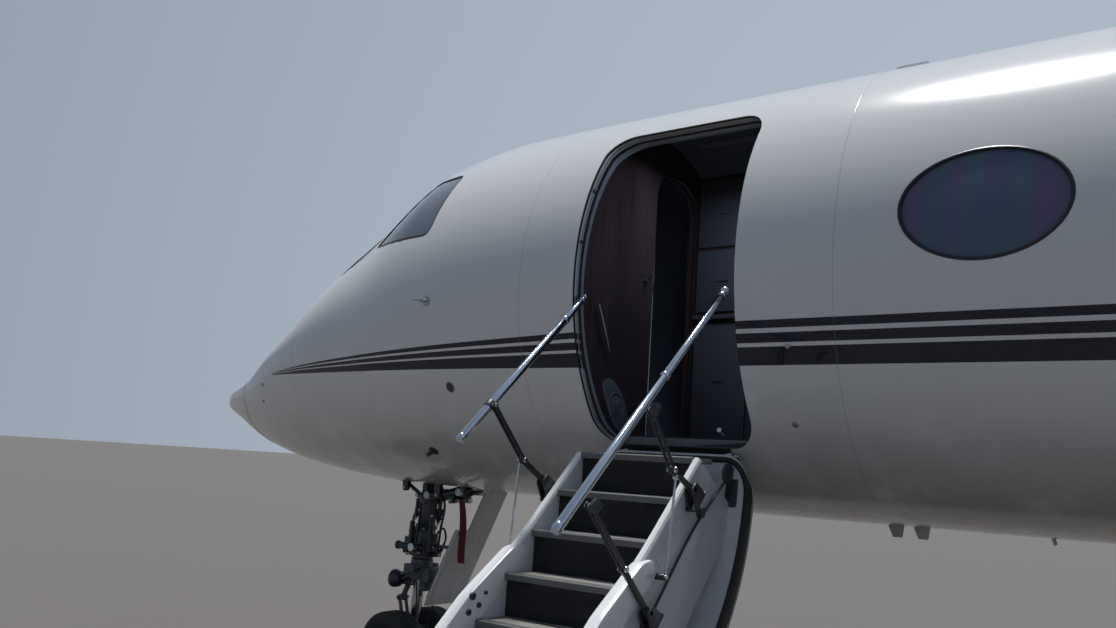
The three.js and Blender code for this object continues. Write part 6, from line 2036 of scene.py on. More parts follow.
def build_nose_gear(painted, dark, chrome, hose_rubber, bright, lamp, alloy, tyre_material,
                    shade_darkened_door_inside, paint):
    """Nose leg: strut with drag braces, steering unit, lamps, links, two wheels and the door behind."""
    upper = [leg_tube(1.09, 1.56, 0.062), leg_tube(0.905, 1.12, 0.072, 0.006),
             leg_tube(1.115, 1.145, 0.080), leg_tube(1.30, 1.325, 0.074), leg_tube(0.905, 0.93, 0.0775)]
    upper.append(cross_rod(NOSE_TOP.x, 0, NOSE_TOP.z, 0.184, 0.026, sides=24, bevel=0.003))
    (front, front_up), (aft, aft_up) = NOSE_BRACE
    for side in (-1, 1):
        y = side * 0.07
        upper.append(rod((front, y, front_up), (aft, y, aft_up), 0.019, sides=20, bevel=0.003))
        upper.append(rod(at(2.56, y, 1.3385), at(2.66, y, 1.3668), 0.026, sides=20, bevel=0.005))
        upper.append(rod((front, side * 0.052, front_up), (front, side * 0.092, front_up), 0.036, sides=24,
                         bevel=0.004))
        upper.append(rod((aft, side * 0.048, aft_up), (aft, side * 0.095, aft_up), 0.034, sides=24,
                         bevel=0.004))
    upper.append(cross_rod(front, 0, front_up, 0.096, 0.022, sides=20, bevel=0.003))
    upper.append(cross_rod(aft, 0, aft_up, 0.184, 0.023, sides=20, bevel=0.003))
    brace = keep(merged(*upper), "nose_strut", painted)
    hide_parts("nose_leg")
    parts, shiny = [], []
    for side in (-1, 1):
        for store, height, start, end, radius, sides, bevel in (
                (shiny, 0.985, (-0.01, 0.062), (-0.01, 0.15), 0.030, 24, 0.004),
                (parts, 0.985, (0.02, 0.095), (0.17, 0.095), 0.026, 24, 0.006),
                (parts, 0.985, (0.155, 0.095), (0.175, 0.095), 0.031, 24, 0.003),
                (parts, 1.06, (0.066, 0.03), (0.10, 0.03), 0.014, 12, 0.002)):
            ends = [nose_leg_at(height, forward, side * across) for forward, across in (start, end)]
            store.append(rod(*ends, radius, sides=sides, bevel=bevel))
    parts.append(box(nose_leg_at(0.945, 0.150, -0.055), nose_leg_at(1.05, 0.075, 0.055), 0.010))
    for height, forward in ((1.20, 0.07), (1.255, 0.062)):
        parts.append(box(nose_leg_at(height, forward + 0.03, -0.035),
                         nose_leg_at(height + 0.035, forward - 0.02, 0.035), 0.006))
    keep(merged(*parts), "steering_cylinders", dark)
    keep(merged(*shiny), "steering_trunnions", bright)
    turning = [leg_tube(0.77, 0.898, 0.080, 0.006), leg_tube(0.835, 0.862, 0.0835, 0.003),
               leg_tube(0.755, 0.775, 0.0835, 0.004)]
    for height, ahead, across, half in (
            (0.745, 0.125, 0.0, (0.045, 0.052, 0.045)), (0.79, -0.100, 0.0, (0.038, 0.060, 0.052)),
            (0.835, 0.0, 0.104, (0.055, 0.026, 0.030)), (0.835, 0.0, -0.104, (0.055, 0.026, 0.030)),
            (0.705, -0.070, 0.0, (0.030, 0.045, 0.032))):
        spot = nose_leg_at(height, ahead, across)
        turning.append(box(spot - Vector(half), spot + Vector(half), 0.010))
    low, elbow, high = (2.395 - MID, 0.335), (2.320 - MID, 0.600), (2.42 - MID, 0.800)
    turning.append(flat_link(high, elbow, 0.017, 0.030, 0.0, 0.024))
    for across in (-0.030, 0.030):
        turning.append(flat_link(low, elbow, 0.014, 0.016, across, 0.022))
    for spot, wide, radius in ((high, 0.046, 0.015), (elbow, 0.056, 0.013), (low, 0.060, 0.014)):
        turning.append(cross_rod(spot[0], 0, spot[1], wide, radius, sides=20, bevel=0.003))
    hub = scratch(cross_rod(*NOSE_FOOT, 0.10, 0.056, sides=32, bevel=0.008))
    bore = cross_rod(*NOSE_FOOT, 0.2, 0.0335, sides=32)
    turning.append(taken(carve(hub, [bore])))
    turning.append(leg_tube(0.312, 0.375, 0.056, 0.006))
    turning.append(box(at(2.335, -0.035, 0.305), at(2.44, 0.035, 0.36), 0.010))
    body = keep(merged(*turning), "steered_leg", painted, "nose_fork")
    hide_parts("nose_steering")
    keep(leg_tube(0.36, 0.76, 0.040, 0.001), "nose_piston", chrome, "nose_fork")
    lamps, lenses = [], []
    for side in (-1, 1):
        spot = nose_leg_at(0.742, 0.098, side * 0.088)
        shell = turned([(0.0, 0.030), (-0.028, 0.058), (-0.066, 0.066), (-0.072, 0.066), (-0.072, 0.060),
                        (-0.030, 0.050), (-0.004, 0.020), (0.0, 0.030)], 36, "X", spot)
        lamps.append(shell)
        lenses.append(turned([(-0.060, 0.0), (-0.060, 0.060), (-0.067, 0.0605), (-0.073, 0.040),
                              (-0.076, 0.0)], 36, "X", spot))
        lamps.append(rod(spot + Vector((-0.002, 0, 0)), nose_leg_at(0.775, 0.04, side * 0.05), 0.013,
                         sides=14, bevel=0.002))
    keep(merged(*lamps), "taxi_lamp_shells", dark, "nose_fork")
    keep(merged(*lenses), "taxi_lamp_lenses", lamp, "nose_fork")
    lines = []
    for across in (-0.052, 0.052):
        lines.append(tube(smooth_path([nose_leg_at(0.765, -0.03, across * 1.35),
                                       nose_leg_at(0.62, -0.075, across * 1.7),
                                       nose_leg_at(0.45, -0.07, across * 1.4),
                                       nose_leg_at(0.35, -0.035, across)], 6), 0.0055, 8))
    keep(merged(*lines), "piston_lines", hose_rubber, "nose_fork")
    panel = plate([(3.118, 1.498), (3.139, 1.498), (2.722, 0.602), (2.701, 0.602)], -0.179, 0.179, "Y", 0.0)
    door = keep(moved(panel, (-MID, 0, 0)), "nose_gear_door_skin", paint)
    carve(door, [box(at(2.9, -0.181, 1.15), at(3.3, -0.05, 1.43))])
    dress_faces(door, [shade_darkened_door_inside], lambda middle, normal: 1 if normal.x < -0.5 else 0)
    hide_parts("nose_gear_door")
    frame_parts = []
    slope = Vector((2.701 - 3.118, 0, 0.602 - 1.498)).normalized()
    inward = Vector((slope.z, 0, -slope.x))
    if inward.x > 0:
        inward = -inward
    for share in (0.12, 0.42, 0.68, 0.94):
        spot = NOSE_DOOR_TOP + slope * (NOSE_DOOR_LENGTH * share)
        narrow = 0.04 if 0.07 < share < 0.38 else 0.168
        bar = box((-0.008, -narrow, -0.007), (0.008, 0.168, 0.007), 0.002)
        axes = Matrix((inward, Vector((0, 1, 0)), slope)).transposed().to_4x4()
        bar.transform(Matrix.Translation(spot + inward * 0.006) @ axes)
        frame_parts.append(bar)
    for across in (-0.165, 0.165):
        side_line = NOSE_DOOR_TOP + Vector((0, across, 0)) + inward * 0.006
        ends = [side_line + slope * (NOSE_DOOR_LENGTH * share)
                for share in (0.40 if across < 0 else 0.06, 0.95)]
        frame_parts.append(rod(*ends, 0.008, sides=8))
    stay = NOSE_DOOR_TOP + slope * 0.548
    frame_parts.append(rod(nose_leg_at(1.0, -0.070), (stay.x - 0.01, 0, stay.z), 0.013, sides=14,
                           bevel=0.002))
    frame_parts.append(cross_rod(stay.x - 0.03, 0, stay.z, 0.02, 0.02, sides=16, bevel=0.003))
    frame_parts.append(box(at(3.12, -0.05, 1.445), at(3.1485, 0.184, 1.498), 0.004))
    frame_parts.append(box(at(3.12, -0.184, 1.445), at(3.1485, -0.13, 1.498), 0.004))
    keep(merged(*frame_parts), "nose_gear_door_ribs", painted)
    build_wheel_pair(NOSE_WHEEL, NOSE_FOOT.x, 0.0, NOSE_FOOT.z, "nose", "nose_wheels", tyre_material, alloy,
                     dark, bright, [(-1, "nose_tyre_port", "nose_tyre_left"),
                                    (1, "nose_tyre_starboard", "nose_tyre_right")], "nose_rims")


def build_main_gear(painted, dark, chrome, hose_rubber, bright, alloy, tyre_material, paint, inside):
    """Main legs: strut, piston, side brace, links, brake packs, hoses and the leg door outboard."""
    x, y = MAIN_WHEEL["station"] - MID, 2.085
    z = MAIN_WHEEL["radius"]
    strut = [rod((x, y, 0.80), (x, y, 1.695), 0.088, sides=40, bevel=0.006),
             rod((x, y, 0.765), (x, y, 0.83), 0.0915, sides=40, bevel=0.008),
             rod((x, y, 1.30), (x, y, 1.34), 0.0915, sides=40, bevel=0.004),
             rod((x - 0.13, y, 1.48), (x + 0.13, y, 1.48), 0.048, sides=28, bevel=0.006),
             rod((x, y, 1.12), (x - 0.06, 1.33, 1.38), 0.036, sides=24, bevel=0.004),
             rod((x - 0.018, 1.84, 1.204), (x - 0.036, 1.60, 1.287), 0.040, sides=24, bevel=0.006),
             box((x - 0.13, 1.3005, 1.335), (x + 0.01, 1.36, 1.445), 0.010)]
    for spot in ((x + 0.06, 0.86), (x + 0.25, 0.69), (x + 0.03, 0.47)):
        strut.append(cross_rod(spot[0], y, spot[1], 0.055, 0.020, sides=20, bevel=0.003))
    strut.append(flat_link((x + 0.06, 0.86), (x + 0.25, 0.69), 0.024, 0.046, y, 0.027))
    for across in (-0.038, 0.038):
        strut.append(flat_link((x + 0.03, 0.47), (x + 0.25, 0.69), 0.019, 0.022, y + across, 0.025))
    hub = scratch(cross_rod(x, y, z, 0.128, 0.078, sides=36, bevel=0.010))
    strut.append(taken(carve(hub, [cross_rod(x, y, z, 0.3, 0.0535, sides=32)])))
    strut.append(rod((x, y, z + 0.066), (x, y, z + 0.14), 0.070, sides=36, bevel=0.006))
    leg = keep(merged(*strut), "main_strut_right", painted)
    piston = keep(rod((x, y, z + 0.12), (x, y, 0.77), 0.056, sides=36, bevel=0.001), "main_piston_right",
                  chrome)
    hoses = []
    for across, forward in ((0.070, -0.07), (-0.070, -0.06), (0.02, 0.10)):
        hoses.append(tube(smooth_path([(x + forward, y + across, 1.52),
                                       (x + forward * 1.4, y + across, 1.2),
                                       (x + forward * 1.5, y + across * 1.2, 0.9),
                                       (x + forward * 2.1, y + across, 0.70),
                                       (x + forward * 0.9, y + across * 1.3, 0.50)], 6), 0.009, 10))
    hose = keep(merged(*hoses), "brake_hoses_right", hose_rubber)
    packs = []
    for side in (-1, 1):
        near = y + side * 0.128
        packs.append(turned([(near, 0.080), (near, 0.175), (near + side * 0.006, 0.185),
                             (near + side * 0.015, 0.185), (near + side * 0.0155, 0.080), (near, 0.080)],
                            40, "Y", (x, 0, z)))
        for index in range(7):
            angle = 2 * math.pi * index / 7
            spot = (x + 0.150 * math.cos(angle), z + 0.150 * math.sin(angle))
            packs.append(rod((spot[0], near - side * 0.034, spot[1]),
                             (spot[0], near + side * 0.006, spot[1]), 0.022, sides=16, bevel=0.004))
    brake = keep(merged(*packs), "brake_packs_right", dark)
    outline = softened([(x - 0.26, 1.69), (x + 0.26, 1.69), (x + 0.24, 0.98), (x + 0.15, 0.90),
                        (x - 0.15, 0.90), (x - 0.24, 0.98)], 0.05)
    door = keep(plate(outline, y + 0.132, y + 0.155, "Y", 0.003), "main_leg_door_skin_right", paint)
    carve(door, [box((x - 0.5, y, 1.652), (x + 0.5, y + 0.4, 2.2))])
    dress_faces(door, [inside], lambda middle, normal: 1 if normal.y < -0.5 else 0)
    ribs = [box((x - 0.235, y + 0.122, level - 0.008), (x + 0.235, y + 0.134, level + 0.008), 0.002)
            for level in (1.02, 1.24, 1.46)]
    ribs += [box((x + along - 0.008, y + 0.122, 0.95), (x + along + 0.008, y + 0.134, 1.60), 0.002)
             for along in (-0.21, 0.0, 0.21)]
    ribs.append(rod((x, y + 0.088, 1.10), (x, y + 0.133, 1.10), 0.028, sides=20, bevel=0.003))
    rib = keep(merged(*ribs), "main_leg_door_ribs_right", painted)
    for piece, slot in ((leg, "gear_steel"), (piston, "polished_rail"), (hose, None), (brake, "gear_steel"),
                        (door, "white_paint"), (rib, "gear_steel")):
        other = mirrored_piece(piece, piece.name.replace("right", "left"), "airframe")
        if piece is leg:
            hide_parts("main_leg_right")
            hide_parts("main_leg_left")
        if piece is door:
            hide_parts("main_leg_door_right")
            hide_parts("main_leg_door_left")
    for side, word in ((-1, "left"), (1, "right")):
        tyres = [(-side, f"main_{word}_inner_tyre", f"main_tyre_{word}_inner"),
                 (side, f"main_{word}_outer_tyre", f"main_tyre_{word}_outer")]
        build_wheel_pair(MAIN_WHEEL, x, side * y, z, f"main_{word}", f"main_wheels_{word}", tyre_material,
                         alloy, dark, bright, tyres, f"main_rims_{word}")


# Engines

ENGINE = Vector((0, 2.29, AXIS + 0.45))
FAN_BLADES, FAN_ROOT, FAN_TIP, FAN_STATION = 24, 0.150, 0.5545, 17.372
GUIDE_VANES = 30
# The cowl's outer and inner lines: station and radius
COWL_OUTER = [(16.48, 0.600), (16.486, 0.622), (16.51, 0.642), (16.58, 0.664), (16.95, 0.715),
              (17.6, 0.733), (18.3, 0.738), (19.1, 0.722), (19.9, 0.690), (20.7, 0.622), (21.5, 0.520)]
COWL_INNER = [(21.5, 0.502), (20.6, 0.556), (19.6, 0.598), (18.0, 0.600), (17.5, 0.590), (17.25, 0.575),
              (16.95, 0.552), (16.75, 0.541), (16.62, 0.546), (16.53, 0.566), (16.488, 0.584)]


def fine_profile(points, steps=4):
    return [(point.x, point.y) for point in smooth_path([(a, b, 0) for a, b in points], steps)]


def shifted(profile):
    return [(station - MID, radius) for station, radius in profile]


def build_engines(paint, polished, duct, hot, dark, blade_metal, spinner):
    """Cowls with polished lips on short pylons, twisted fan blades, guide vanes, core and tail cone."""
    profile = shifted(fine_profile(COWL_OUTER, 3) + fine_profile(COWL_INNER, 3))
    bm = turned([*profile, profile[0]], 96, "X", ENGINE)
    cowl = keep(bm, "cowl_right", paint, smooth=30)
    lip_end, throat_end, hot_start = 16.63 - MID, 16.70 - MID, 21.2 - MID

    def part_of(middle, normal):
        away = Vector((0, middle.y - ENGINE.y, middle.z - ENGINE.z))
        inside = normal.dot(away) < 0
        if middle.x < (throat_end if inside else lip_end):
            return 1
        if inside:
            return 3 if middle.x > hot_start else 2
        return 3 if middle.x > hot_start + 0.10 else 0

    dress_faces(cowl, [polished, duct, hot], part_of)
    rows = straight_rows([(0.8, 17.3, 4.1, 0.075), (2.1, 17.7, 3.5, 0.075)], 6)
    stub = loft([[Vector(at(edge + along, y, ENGINE.z + up)) for along, up in section_loop(chord, ratio)]
                 for y, edge, chord, ratio in rows])
    pylon = keep(stub, "pylon_right", paint)
    core_line = shifted([(16.52, 0.0), *[(station, radius - 0.02) for station, radius in COWL_OUTER[3:]],
                         (21.48, 0.0)])
    carve(pylon, [turned(core_line, 64, "X", ENGINE), hull_solid(hull_stations(16.5, 22.5, 0.3), 0.01)])
    body = fine_profile([(17.49, 0.16), (17.9, 0.27), (18.3, 0.375), (19.3, 0.385), (20.4, 0.375),
                         (20.9, 0.30), (21.1, 0.25)], 4)
    core = turned([(17.485 - MID, 0.0), *shifted(body), (21.1 - MID, 0.0)], 48, "X", ENGINE)
    cone = turned(shifted([(21.08, 0.0), (21.08, 0.235), (21.3, 0.19), (21.55, 0.11), (21.72, 0.045),
                           (21.79, 0.0)]), 48, "X", ENGINE)
    vanes = []
    for index in range(GUIDE_VANES):
        turn = Matrix.Translation(ENGINE) @ Matrix.Rotation(2 * math.pi * index / GUIDE_VANES, 4, "X")
        outline = softened([(17.74, 0.0), (17.80, 0.010), (17.93, 0.006), (17.94, 0.0), (17.93, -0.002),
                            (17.80, -0.004)], 0.004)
        vane = plate([(a - MID, b) for a, b in outline], 0.20, 0.605, "Z")
        vane.transform(turn)
        vanes.append(vane)
    for degrees in (45, 135, 225, 315):
        outline = softened([(18.43, 0), (18.50, 0.012), (18.60, 0.012), (18.69, 0.0), (18.60, -0.012),
                            (18.50, -0.012)], 0.01)
        strut = plate([(a - MID, b) for a, b in outline], 0.36, 0.605, "Z")
        strut.transform(Matrix.Translation(ENGINE) @ Matrix.Rotation(math.radians(degrees), 4, "X"))
        vanes.append(strut)
    core_piece = keep(merged(core, *vanes), "engine_body_right", dark)
    cone_piece = keep(cone, "exhaust_cone_right", hot)
    hub = fine_profile([(17.05, 0.002), (17.062, 0.03), (17.10, 0.068), (17.18, 0.120), (17.26, 0.158),
                        (17.34, 0.170), (17.475, 0.170)], 4)
    nose = turned([*shifted(hub), (17.475 - MID, 0.0)], 48, "X", ENGINE)
    blades = []
    for index in range(FAN_BLADES):
        sections = []
        for step in range(9):
            share = step / 8
            radius = FAN_ROOT + (FAN_TIP - FAN_ROOT) * share
            twist = math.radians(22 + 40 * share)
            chord = 0.15 + 0.055 * math.sin(math.pi * min(share * 0.8 + 0.1, 1))
            thick = 0.016 - 0.011 * share
            loop = []
            for point in range(16):
                angle = 2 * math.pi * point / 16
                along = 0.5 * chord * math.cos(angle)
                bow = 0.012 * (1 - (2 * along / chord) ** 2)
                up = 0.5 * thick * math.sin(angle) + bow
                loop.append(Vector((FAN_STATION - MID + along * math.cos(twist) - up * math.sin(twist),
                                    along * math.sin(twist) + up * math.cos(twist), radius)))
            sections.append(loop)
        blade = loft(sections)
        blade.transform(Matrix.Translation(ENGINE) @ Matrix.Rotation(2 * math.pi * index / FAN_BLADES, 4,
            "X"))
        blades.append(blade)
    fan = keep(merged(*blades), "fan_blades_right", blade_metal, "fan_right")
    dome = keep(nose, "spinner_right", spinner, "fan_right")
    lines = []
    for station, radius in ((17.55, 0.733), (19.62, 0.703)):
        circle = oval((ENGINE.y, ENGINE.z), radius, radius, 72)
        lines.append(tube([at(station, y, z) for y, z in circle], 0.0022, 6, closed=True))
    latch = []
    for station in (17.9, 18.5, 19.1):
        corner, size = Vector((station - MID - 0.06, ENGINE.y - 0.02, ENGINE.z - 0.741)), Vector((0.12,
            0.04, 0.021))
        latch.append(box(corner, corner + size, 0.004))
    band = keep(merged(*lines, *latch), "cowl_bands_right", dark)
    for piece, slot, body in ((cowl, "white_paint", "airframe"), (pylon, "white_paint", "airframe"),
                              (core_piece, "engine_metal", "airframe"),
                              (cone_piece, "engine_metal", "airframe"), (fan, "fan_metal", "fan_left"),
                              (dome, "fan_metal", "fan_left"), (band, "engine_metal", "airframe")):
        other = mirrored_piece(piece, piece.name.replace("right", "left"), body)
        for mine, node in ((cowl, "nacelle"), (core_piece, "engine_core"), (fan, "fan")):
            if piece is mine:
                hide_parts(f"{node}_right")
                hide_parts(f"{node}_left")


# Fairing, baggage door and small fittings

# The belly fairing at chosen stations: station, half width, low line, shoulder and top
FAIRING = [(7.5, 0.70, 1.56, 1.70, 1.90), (8.4, 1.03, 1.33, 1.76, 2.25), (9.65, 1.30, 1.225, 1.985, 2.50),
           (15.3, 1.30, 1.225, 1.985, 2.50), (16.2, 1.08, 1.34, 1.85, 2.35), (17.1, 0.76, 1.60, 1.76, 2.00)]


def build_fairing(paint):
    """The belly fairing: a rounded trough that carries the wings, cut where it meets the hull."""
    places = [row[0] for row in FAIRING]
    curves = [curve_through(places, [row[index] for row in FAIRING]) for index in range(1, 5)]
    sections = []
    for station in hull_stations(7.5, 9.65, 0.15) + hull_stations(10.6, 14.4, 0.95) + hull_stations(15.3,
            17.1, 0.15):
        half, low, shoulder, top = (value_at(station) for value_at in curves)
        bend = min(0.24, half / 3)
        side = [(0, low), (half - 2 * bend, low + 0.01), (half - bend, low + 0.045),
                (half - 0.3 * bend, low + 0.35 * bend), (half, min(low + bend, shoulder - 0.02)),
                (half, shoulder), (half * 0.84, top)]
        curve = smooth_path([(0, a, b) for a, b in side], 5)
        ring = [Vector(at(station, min(point.y, half), point.z)) for point in curve]
        ring += [Vector((point.x, -point.y, point.z)) for point in reversed(ring[1:])]
        sections.append(ring)
    belly = keep(loft(sections), "belly_fairing_skin", paint)
    carve(belly, [hull_solid(hull_stations(6.8, 18.0, 0.4), 0.004)])
    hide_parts("belly_fairing")


def build_baggage_door(paint, rubber, metal):
    """The baggage door in the port side, with its seal and a flush handle."""
    front, aft, low, high, radius = BAGGAGE
    skin = keep(hull_shell(hull_stations(15.5, 16.6, 0.1)), "baggage_door_skin", paint)
    carve(skin, [side_cutter(rounded_rect(front + 0.004 - MID, low + 0.004, aft - 0.004 - MID, high - 0.004,
                                          radius))], "INTERSECT")
    true_normals(skin)
    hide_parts("baggage_door")
    edge = rounded_rect(front - MID + 0.001, low + 0.001, aft - MID - 0.001, high - 0.001, radius)
    keep(tube(hull_route(edge, -1, 0.004), 0.0038, 6, closed=True), "baggage_door_seal", rubber)
    grip = plate(rounded_rect(15.98 - MID, AXIS - 0.20, 16.14 - MID, AXIS - 0.14, 0.02), -1.30, -1.10)
    handle = scratch(grip)
    carve(handle, [hull_solid(hull_stations(15.5, 16.6, 0.1), -0.003)], "INTERSECT")
    keep(taken(handle), "baggage_handle", metal)


def blade_aerial(station, length, height, lean, thick=0.012, under=False):
    """A swept blade that stands on the crown or hangs from the keel."""
    base = AXIS + (keel_at(station) + 0.01 if under else crown_at(station) - 0.01)
    rise = -height if under else height
    sections = []
    for step in range(7):
        share = step / 6
        chord = length * (1 - 0.45 * share)
        front = station - MID - length / 2 + lean * share
        wide = thick * (1 - 0.5 * share)
        loop = []
        for point in range(14):
            angle = 2 * math.pi * point / 14
            loop.append(Vector((front + chord * (0.5 - 0.5 * math.cos(angle)), wide * math.sin(angle) * 0.8,
                                base + rise * share)))
        sections.append(loop)
    return loft(sections)


def standing_probe(station, z, side, reach, length, radius=0.009):
    """A probe on a short swept mast that points ahead."""
    foot = on_hull(station - MID, z, side)
    out = hull_normal(foot)
    tip = foot + out * reach
    mast = rod(foot - out * 0.01, tip + Vector((-0.02, 0, 0)), radius * 1.5, radius, sides=14, bevel=0.001)
    head = rod(tip + Vector((0.02, 0, 0)), tip + Vector((-length, 0, 0)), radius, radius * 0.6, sides=14,
               bevel=0.001)
    base = rod(foot - out * 0.006, foot + out * 0.004, 0.032, sides=24, bevel=0.002)
    return [mast, head, base]


def flush_disc(station, z, side, radius, proud=0.0015):
    foot = on_hull(station - MID, z, side)
    out = hull_normal(foot)
    return rod(foot - out * 0.01, foot + out * proud, radius, sides=28, bevel=0.0008)


def build_fittings(paint, metal, dark, rubber, lamp_red):
    """Probes, ports, aerials and beacons on the fuselage."""
    probes = []
    for side in (-1, 1):
        probes += standing_probe(3.46, 2.545, side, 0.050, 0.055, 0.008)
        probes += standing_probe(1.42, AXIS - 0.12, side, 0.075, 0.035, 0.006)
    keep(merged(*probes), "probes", metal)
    ports = []
    for side in (-1, 1):
        for station, z, radius in ((3.598, 2.045, 0.030), (1.38, 2.10, 0.012), (1.35, 1.98, 0.012)):
            ports.append(flush_disc(station, z, side, radius))
    keep(merged(*ports), "static_ports", dark)
    plates = []
    for side in (-1, 1):
        for station, z, radius in ((3.598, 2.045, 0.036), (5.675, 1.88, 0.016), (5.70, 2.22, 0.012)):
            plates.append(flush_disc(station, z, side, radius, 0.0008))
    keep(merged(*plates), "port_plates", metal)
    tops = [blade_aerial(5.868, 0.30, 0.14, 0.10), blade_aerial(8.6, 0.34, 0.20, 0.12),
            blade_aerial(13.2, 0.30, 0.16, 0.1)]
    tops += [blade_aerial(station, 0.09, 0.07, 0.03, 0.008, under=True) for station in (5.87, 6.00)]
    tops += [blade_aerial(station, 0.22, 0.15, 0.08, under=True) for station in (8.2, 17.6)]
    keep(merged(*tops), "blade_aerials", paint)
    beacon = ellipsoid(at(10.4, 0, AXIS + 1.195), (0.085, 0.045, 0.05))
    keep(beacon, "crown_beacon", lamp_red)
    under = ellipsoid(at(12.4, 0, 1.225), (0.085, 0.045, 0.045))
    keep(under, "belly_beacon", lamp_red)
    drains = []
    for station, y in ((4.1, 0.25), (6.6, 0.0), (7.0, -0.3)):
        z = AXIS + keel_at(station) + 0.02
        drains.append(rod(at(station, y, z), (station - MID + 0.02, y, z - 0.05), 0.009, sides=12,
                          bevel=0.001))
    keep(merged(*drains), "drain_masts", metal)
    masts = []
    for side in (-1, 1):
        foot = on_hull(3.20 - MID, 1.675, side)
        out = hull_normal(foot)
        masts.append(rod(foot - out * 0.01, foot + out * 0.045 + Vector((-0.03, 0, 0)), 0.017, 0.012,
                         sides=16, bevel=0.003))
        masts.append(rod(foot - out * 0.006, foot + out * 0.006, 0.034, sides=22, bevel=0.002))
    keep(merged(*masts), "temperature_masts", dark)
    keep(tube(hull_ring(NOSE_JOINT, 0.0006, 72), 0.0022, 6, closed=True), "nose_joint_seal", rubber)
    latches = []
    for degrees in (20, 60, 120, 160, 200, 240, 300, 340):
        spot = hull_point(NOSE_JOINT + 0.035, math.radians(degrees))
        out = hull_normal(spot)
        latches.append(rod(spot - out * 0.01, spot + out * 0.0012, 0.011, sides=14, bevel=0.0006))
    keep(merged(*latches), "nose_latches", metal)


# Everything

aim_camera()
lay_floor()
light_studio()

# Where the open stair's paint lies on the shut door
SHUT_AGAIN = Matrix.Rotation(-OPEN_ANGLE, 4, "X")
SHUT_SHIFT = HINGE - SHUT_AGAIN @ HINGE

white_striped = striped_paint("white_striped_paint")
door_paint = striped_paint("door_striped_paint", (-OPEN_ANGLE, 0, 0), tuple(SHUT_SHIFT), seams=[])
white_plain = striped_paint("white_plain_paint", seams=[], stripes=False)
cabin_glass = reflection_banded_glass("cabin_window_glass")
cockpit_glass = tinted_glass("cockpit_glass", (0.16, 0.23, 0.31), clear=0.75)
screen_glass = tinted_glass("blank_screen_glass", (0.006, 0.007, 0.009), 0.12)
dark_rim = finish_of("dark_rim", (0.05, 0.05, 0.055), 0.35, metallic=0.8, dirt=0.2)
lining = finish_of("door_lining", (0.72, 0.73, 0.74), 0.5, scale=5, dirt=0.15)
rubber = finish_of("seal_rubber", (0.018, 0.018, 0.020), 0.62, scale=14, dirt=0.3,
                   grime=(0.09, 0.085, 0.08))
# The moulding's white is darkened to grey: painted shade for the inside of the stairway.
moulding = finish_of("stair_moulding_shade_darkened", (0.62, 0.64, 0.67), 0.38, coat=0.3, scale=3, dirt=0.26,
                     grime=(0.42, 0.40, 0.37))
moulding_trim = finish_of("stair_trim", (0.86, 0.87, 0.88), 0.26, coat=0.5, scale=4, dirt=0.12)
carpet = finish_of("stair_carpet", (0.024, 0.026, 0.030), 0.95, scale=7, dirt=0.35,
                   grime=(0.10, 0.095, 0.09), grain=900, bump=0.9, depth=0.004)
tread_cover = finish_of("tread_cover", (0.27, 0.26, 0.245), 0.8, scale=6, dirt=0.5,
                        grime=(0.15, 0.14, 0.13), grain=700, bump=0.8, depth=0.003)
# The nosing metal is darkened as painted shade for the steps under the hull.
shade_darkened_nosing = finish_of("shade_darkened_nosing", (0.165, 0.165, 0.165), 0.42, metallic=0.3, scale=18, dirt=0.25)
# The steel's blue tint is a painted reflection of the sky on the rails and wing edge sheaths.
polished = finish_of("sky_tinted_polished_steel", (0.62, 0.70, 0.80), 0.10, metallic=1.0, scale=9, dirt=0.08,
                     bump=0.03)
bright_metal = finish_of("bright_metal", (0.74, 0.75, 0.76), 0.2, metallic=1.0, scale=9, dirt=0.2)
brushed = finish_of("brushed_metal", (0.50, 0.51, 0.52), 0.36, metallic=0.95, scale=8, dirt=0.3)
frame_metal = finish_of("frame_metal", (0.32, 0.37, 0.44), 0.5, metallic=0.1, scale=6, dirt=0.3)
dark_metal = finish_of("dark_metal", (0.075, 0.082, 0.092), 0.42, metallic=0.7, scale=12, dirt=0.4)
lamp_red, lamp_green, lamp_clear = (tinted_glass(name, colour) for name, colour in (
    ("red_lamp", (0.45, 0.01, 0.01)), ("green_lamp", (0.01, 0.30, 0.08)), ("clear_lamp", (0.7, 0.7, 0.7))))

wood = glossy_wood("entry_veneer", (0.050, 0.034, 0.036), (0.078, 0.052, 0.054))
bracket_metal = finish_of("bracket_metal", (0.15, 0.17, 0.20), 0.5, metallic=0.2, scale=9, dirt=0.35)
laminate = finish_of("cabinet_laminate", (0.095, 0.102, 0.125), 0.5, scale=5, dirt=0.2)
leather = leather_finish("crew_seat_leather", (0.20, 0.175, 0.15))
cabin_carpet = finish_of("cabin_carpet", (0.020, 0.023, 0.034), 0.95, scale=6, dirt=0.3,
                         grime=(0.07, 0.07, 0.075), grain=800, bump=0.8, depth=0.004)
dark_lining = finish_of("dark_cabin_lining", (0.17, 0.19, 0.25), 0.7, scale=5, dirt=0.2)
deck = finish_of("deck_metal", (0.22, 0.23, 0.24), 0.5, metallic=0.6, scale=6, dirt=0.4)
panel_skin = finish_of("panel_board", (0.10, 0.105, 0.11), 0.55, scale=7, dirt=0.2)
panel_dark = finish_of("panel_dark", (0.025, 0.026, 0.028), 0.6, scale=9, dirt=0.3)
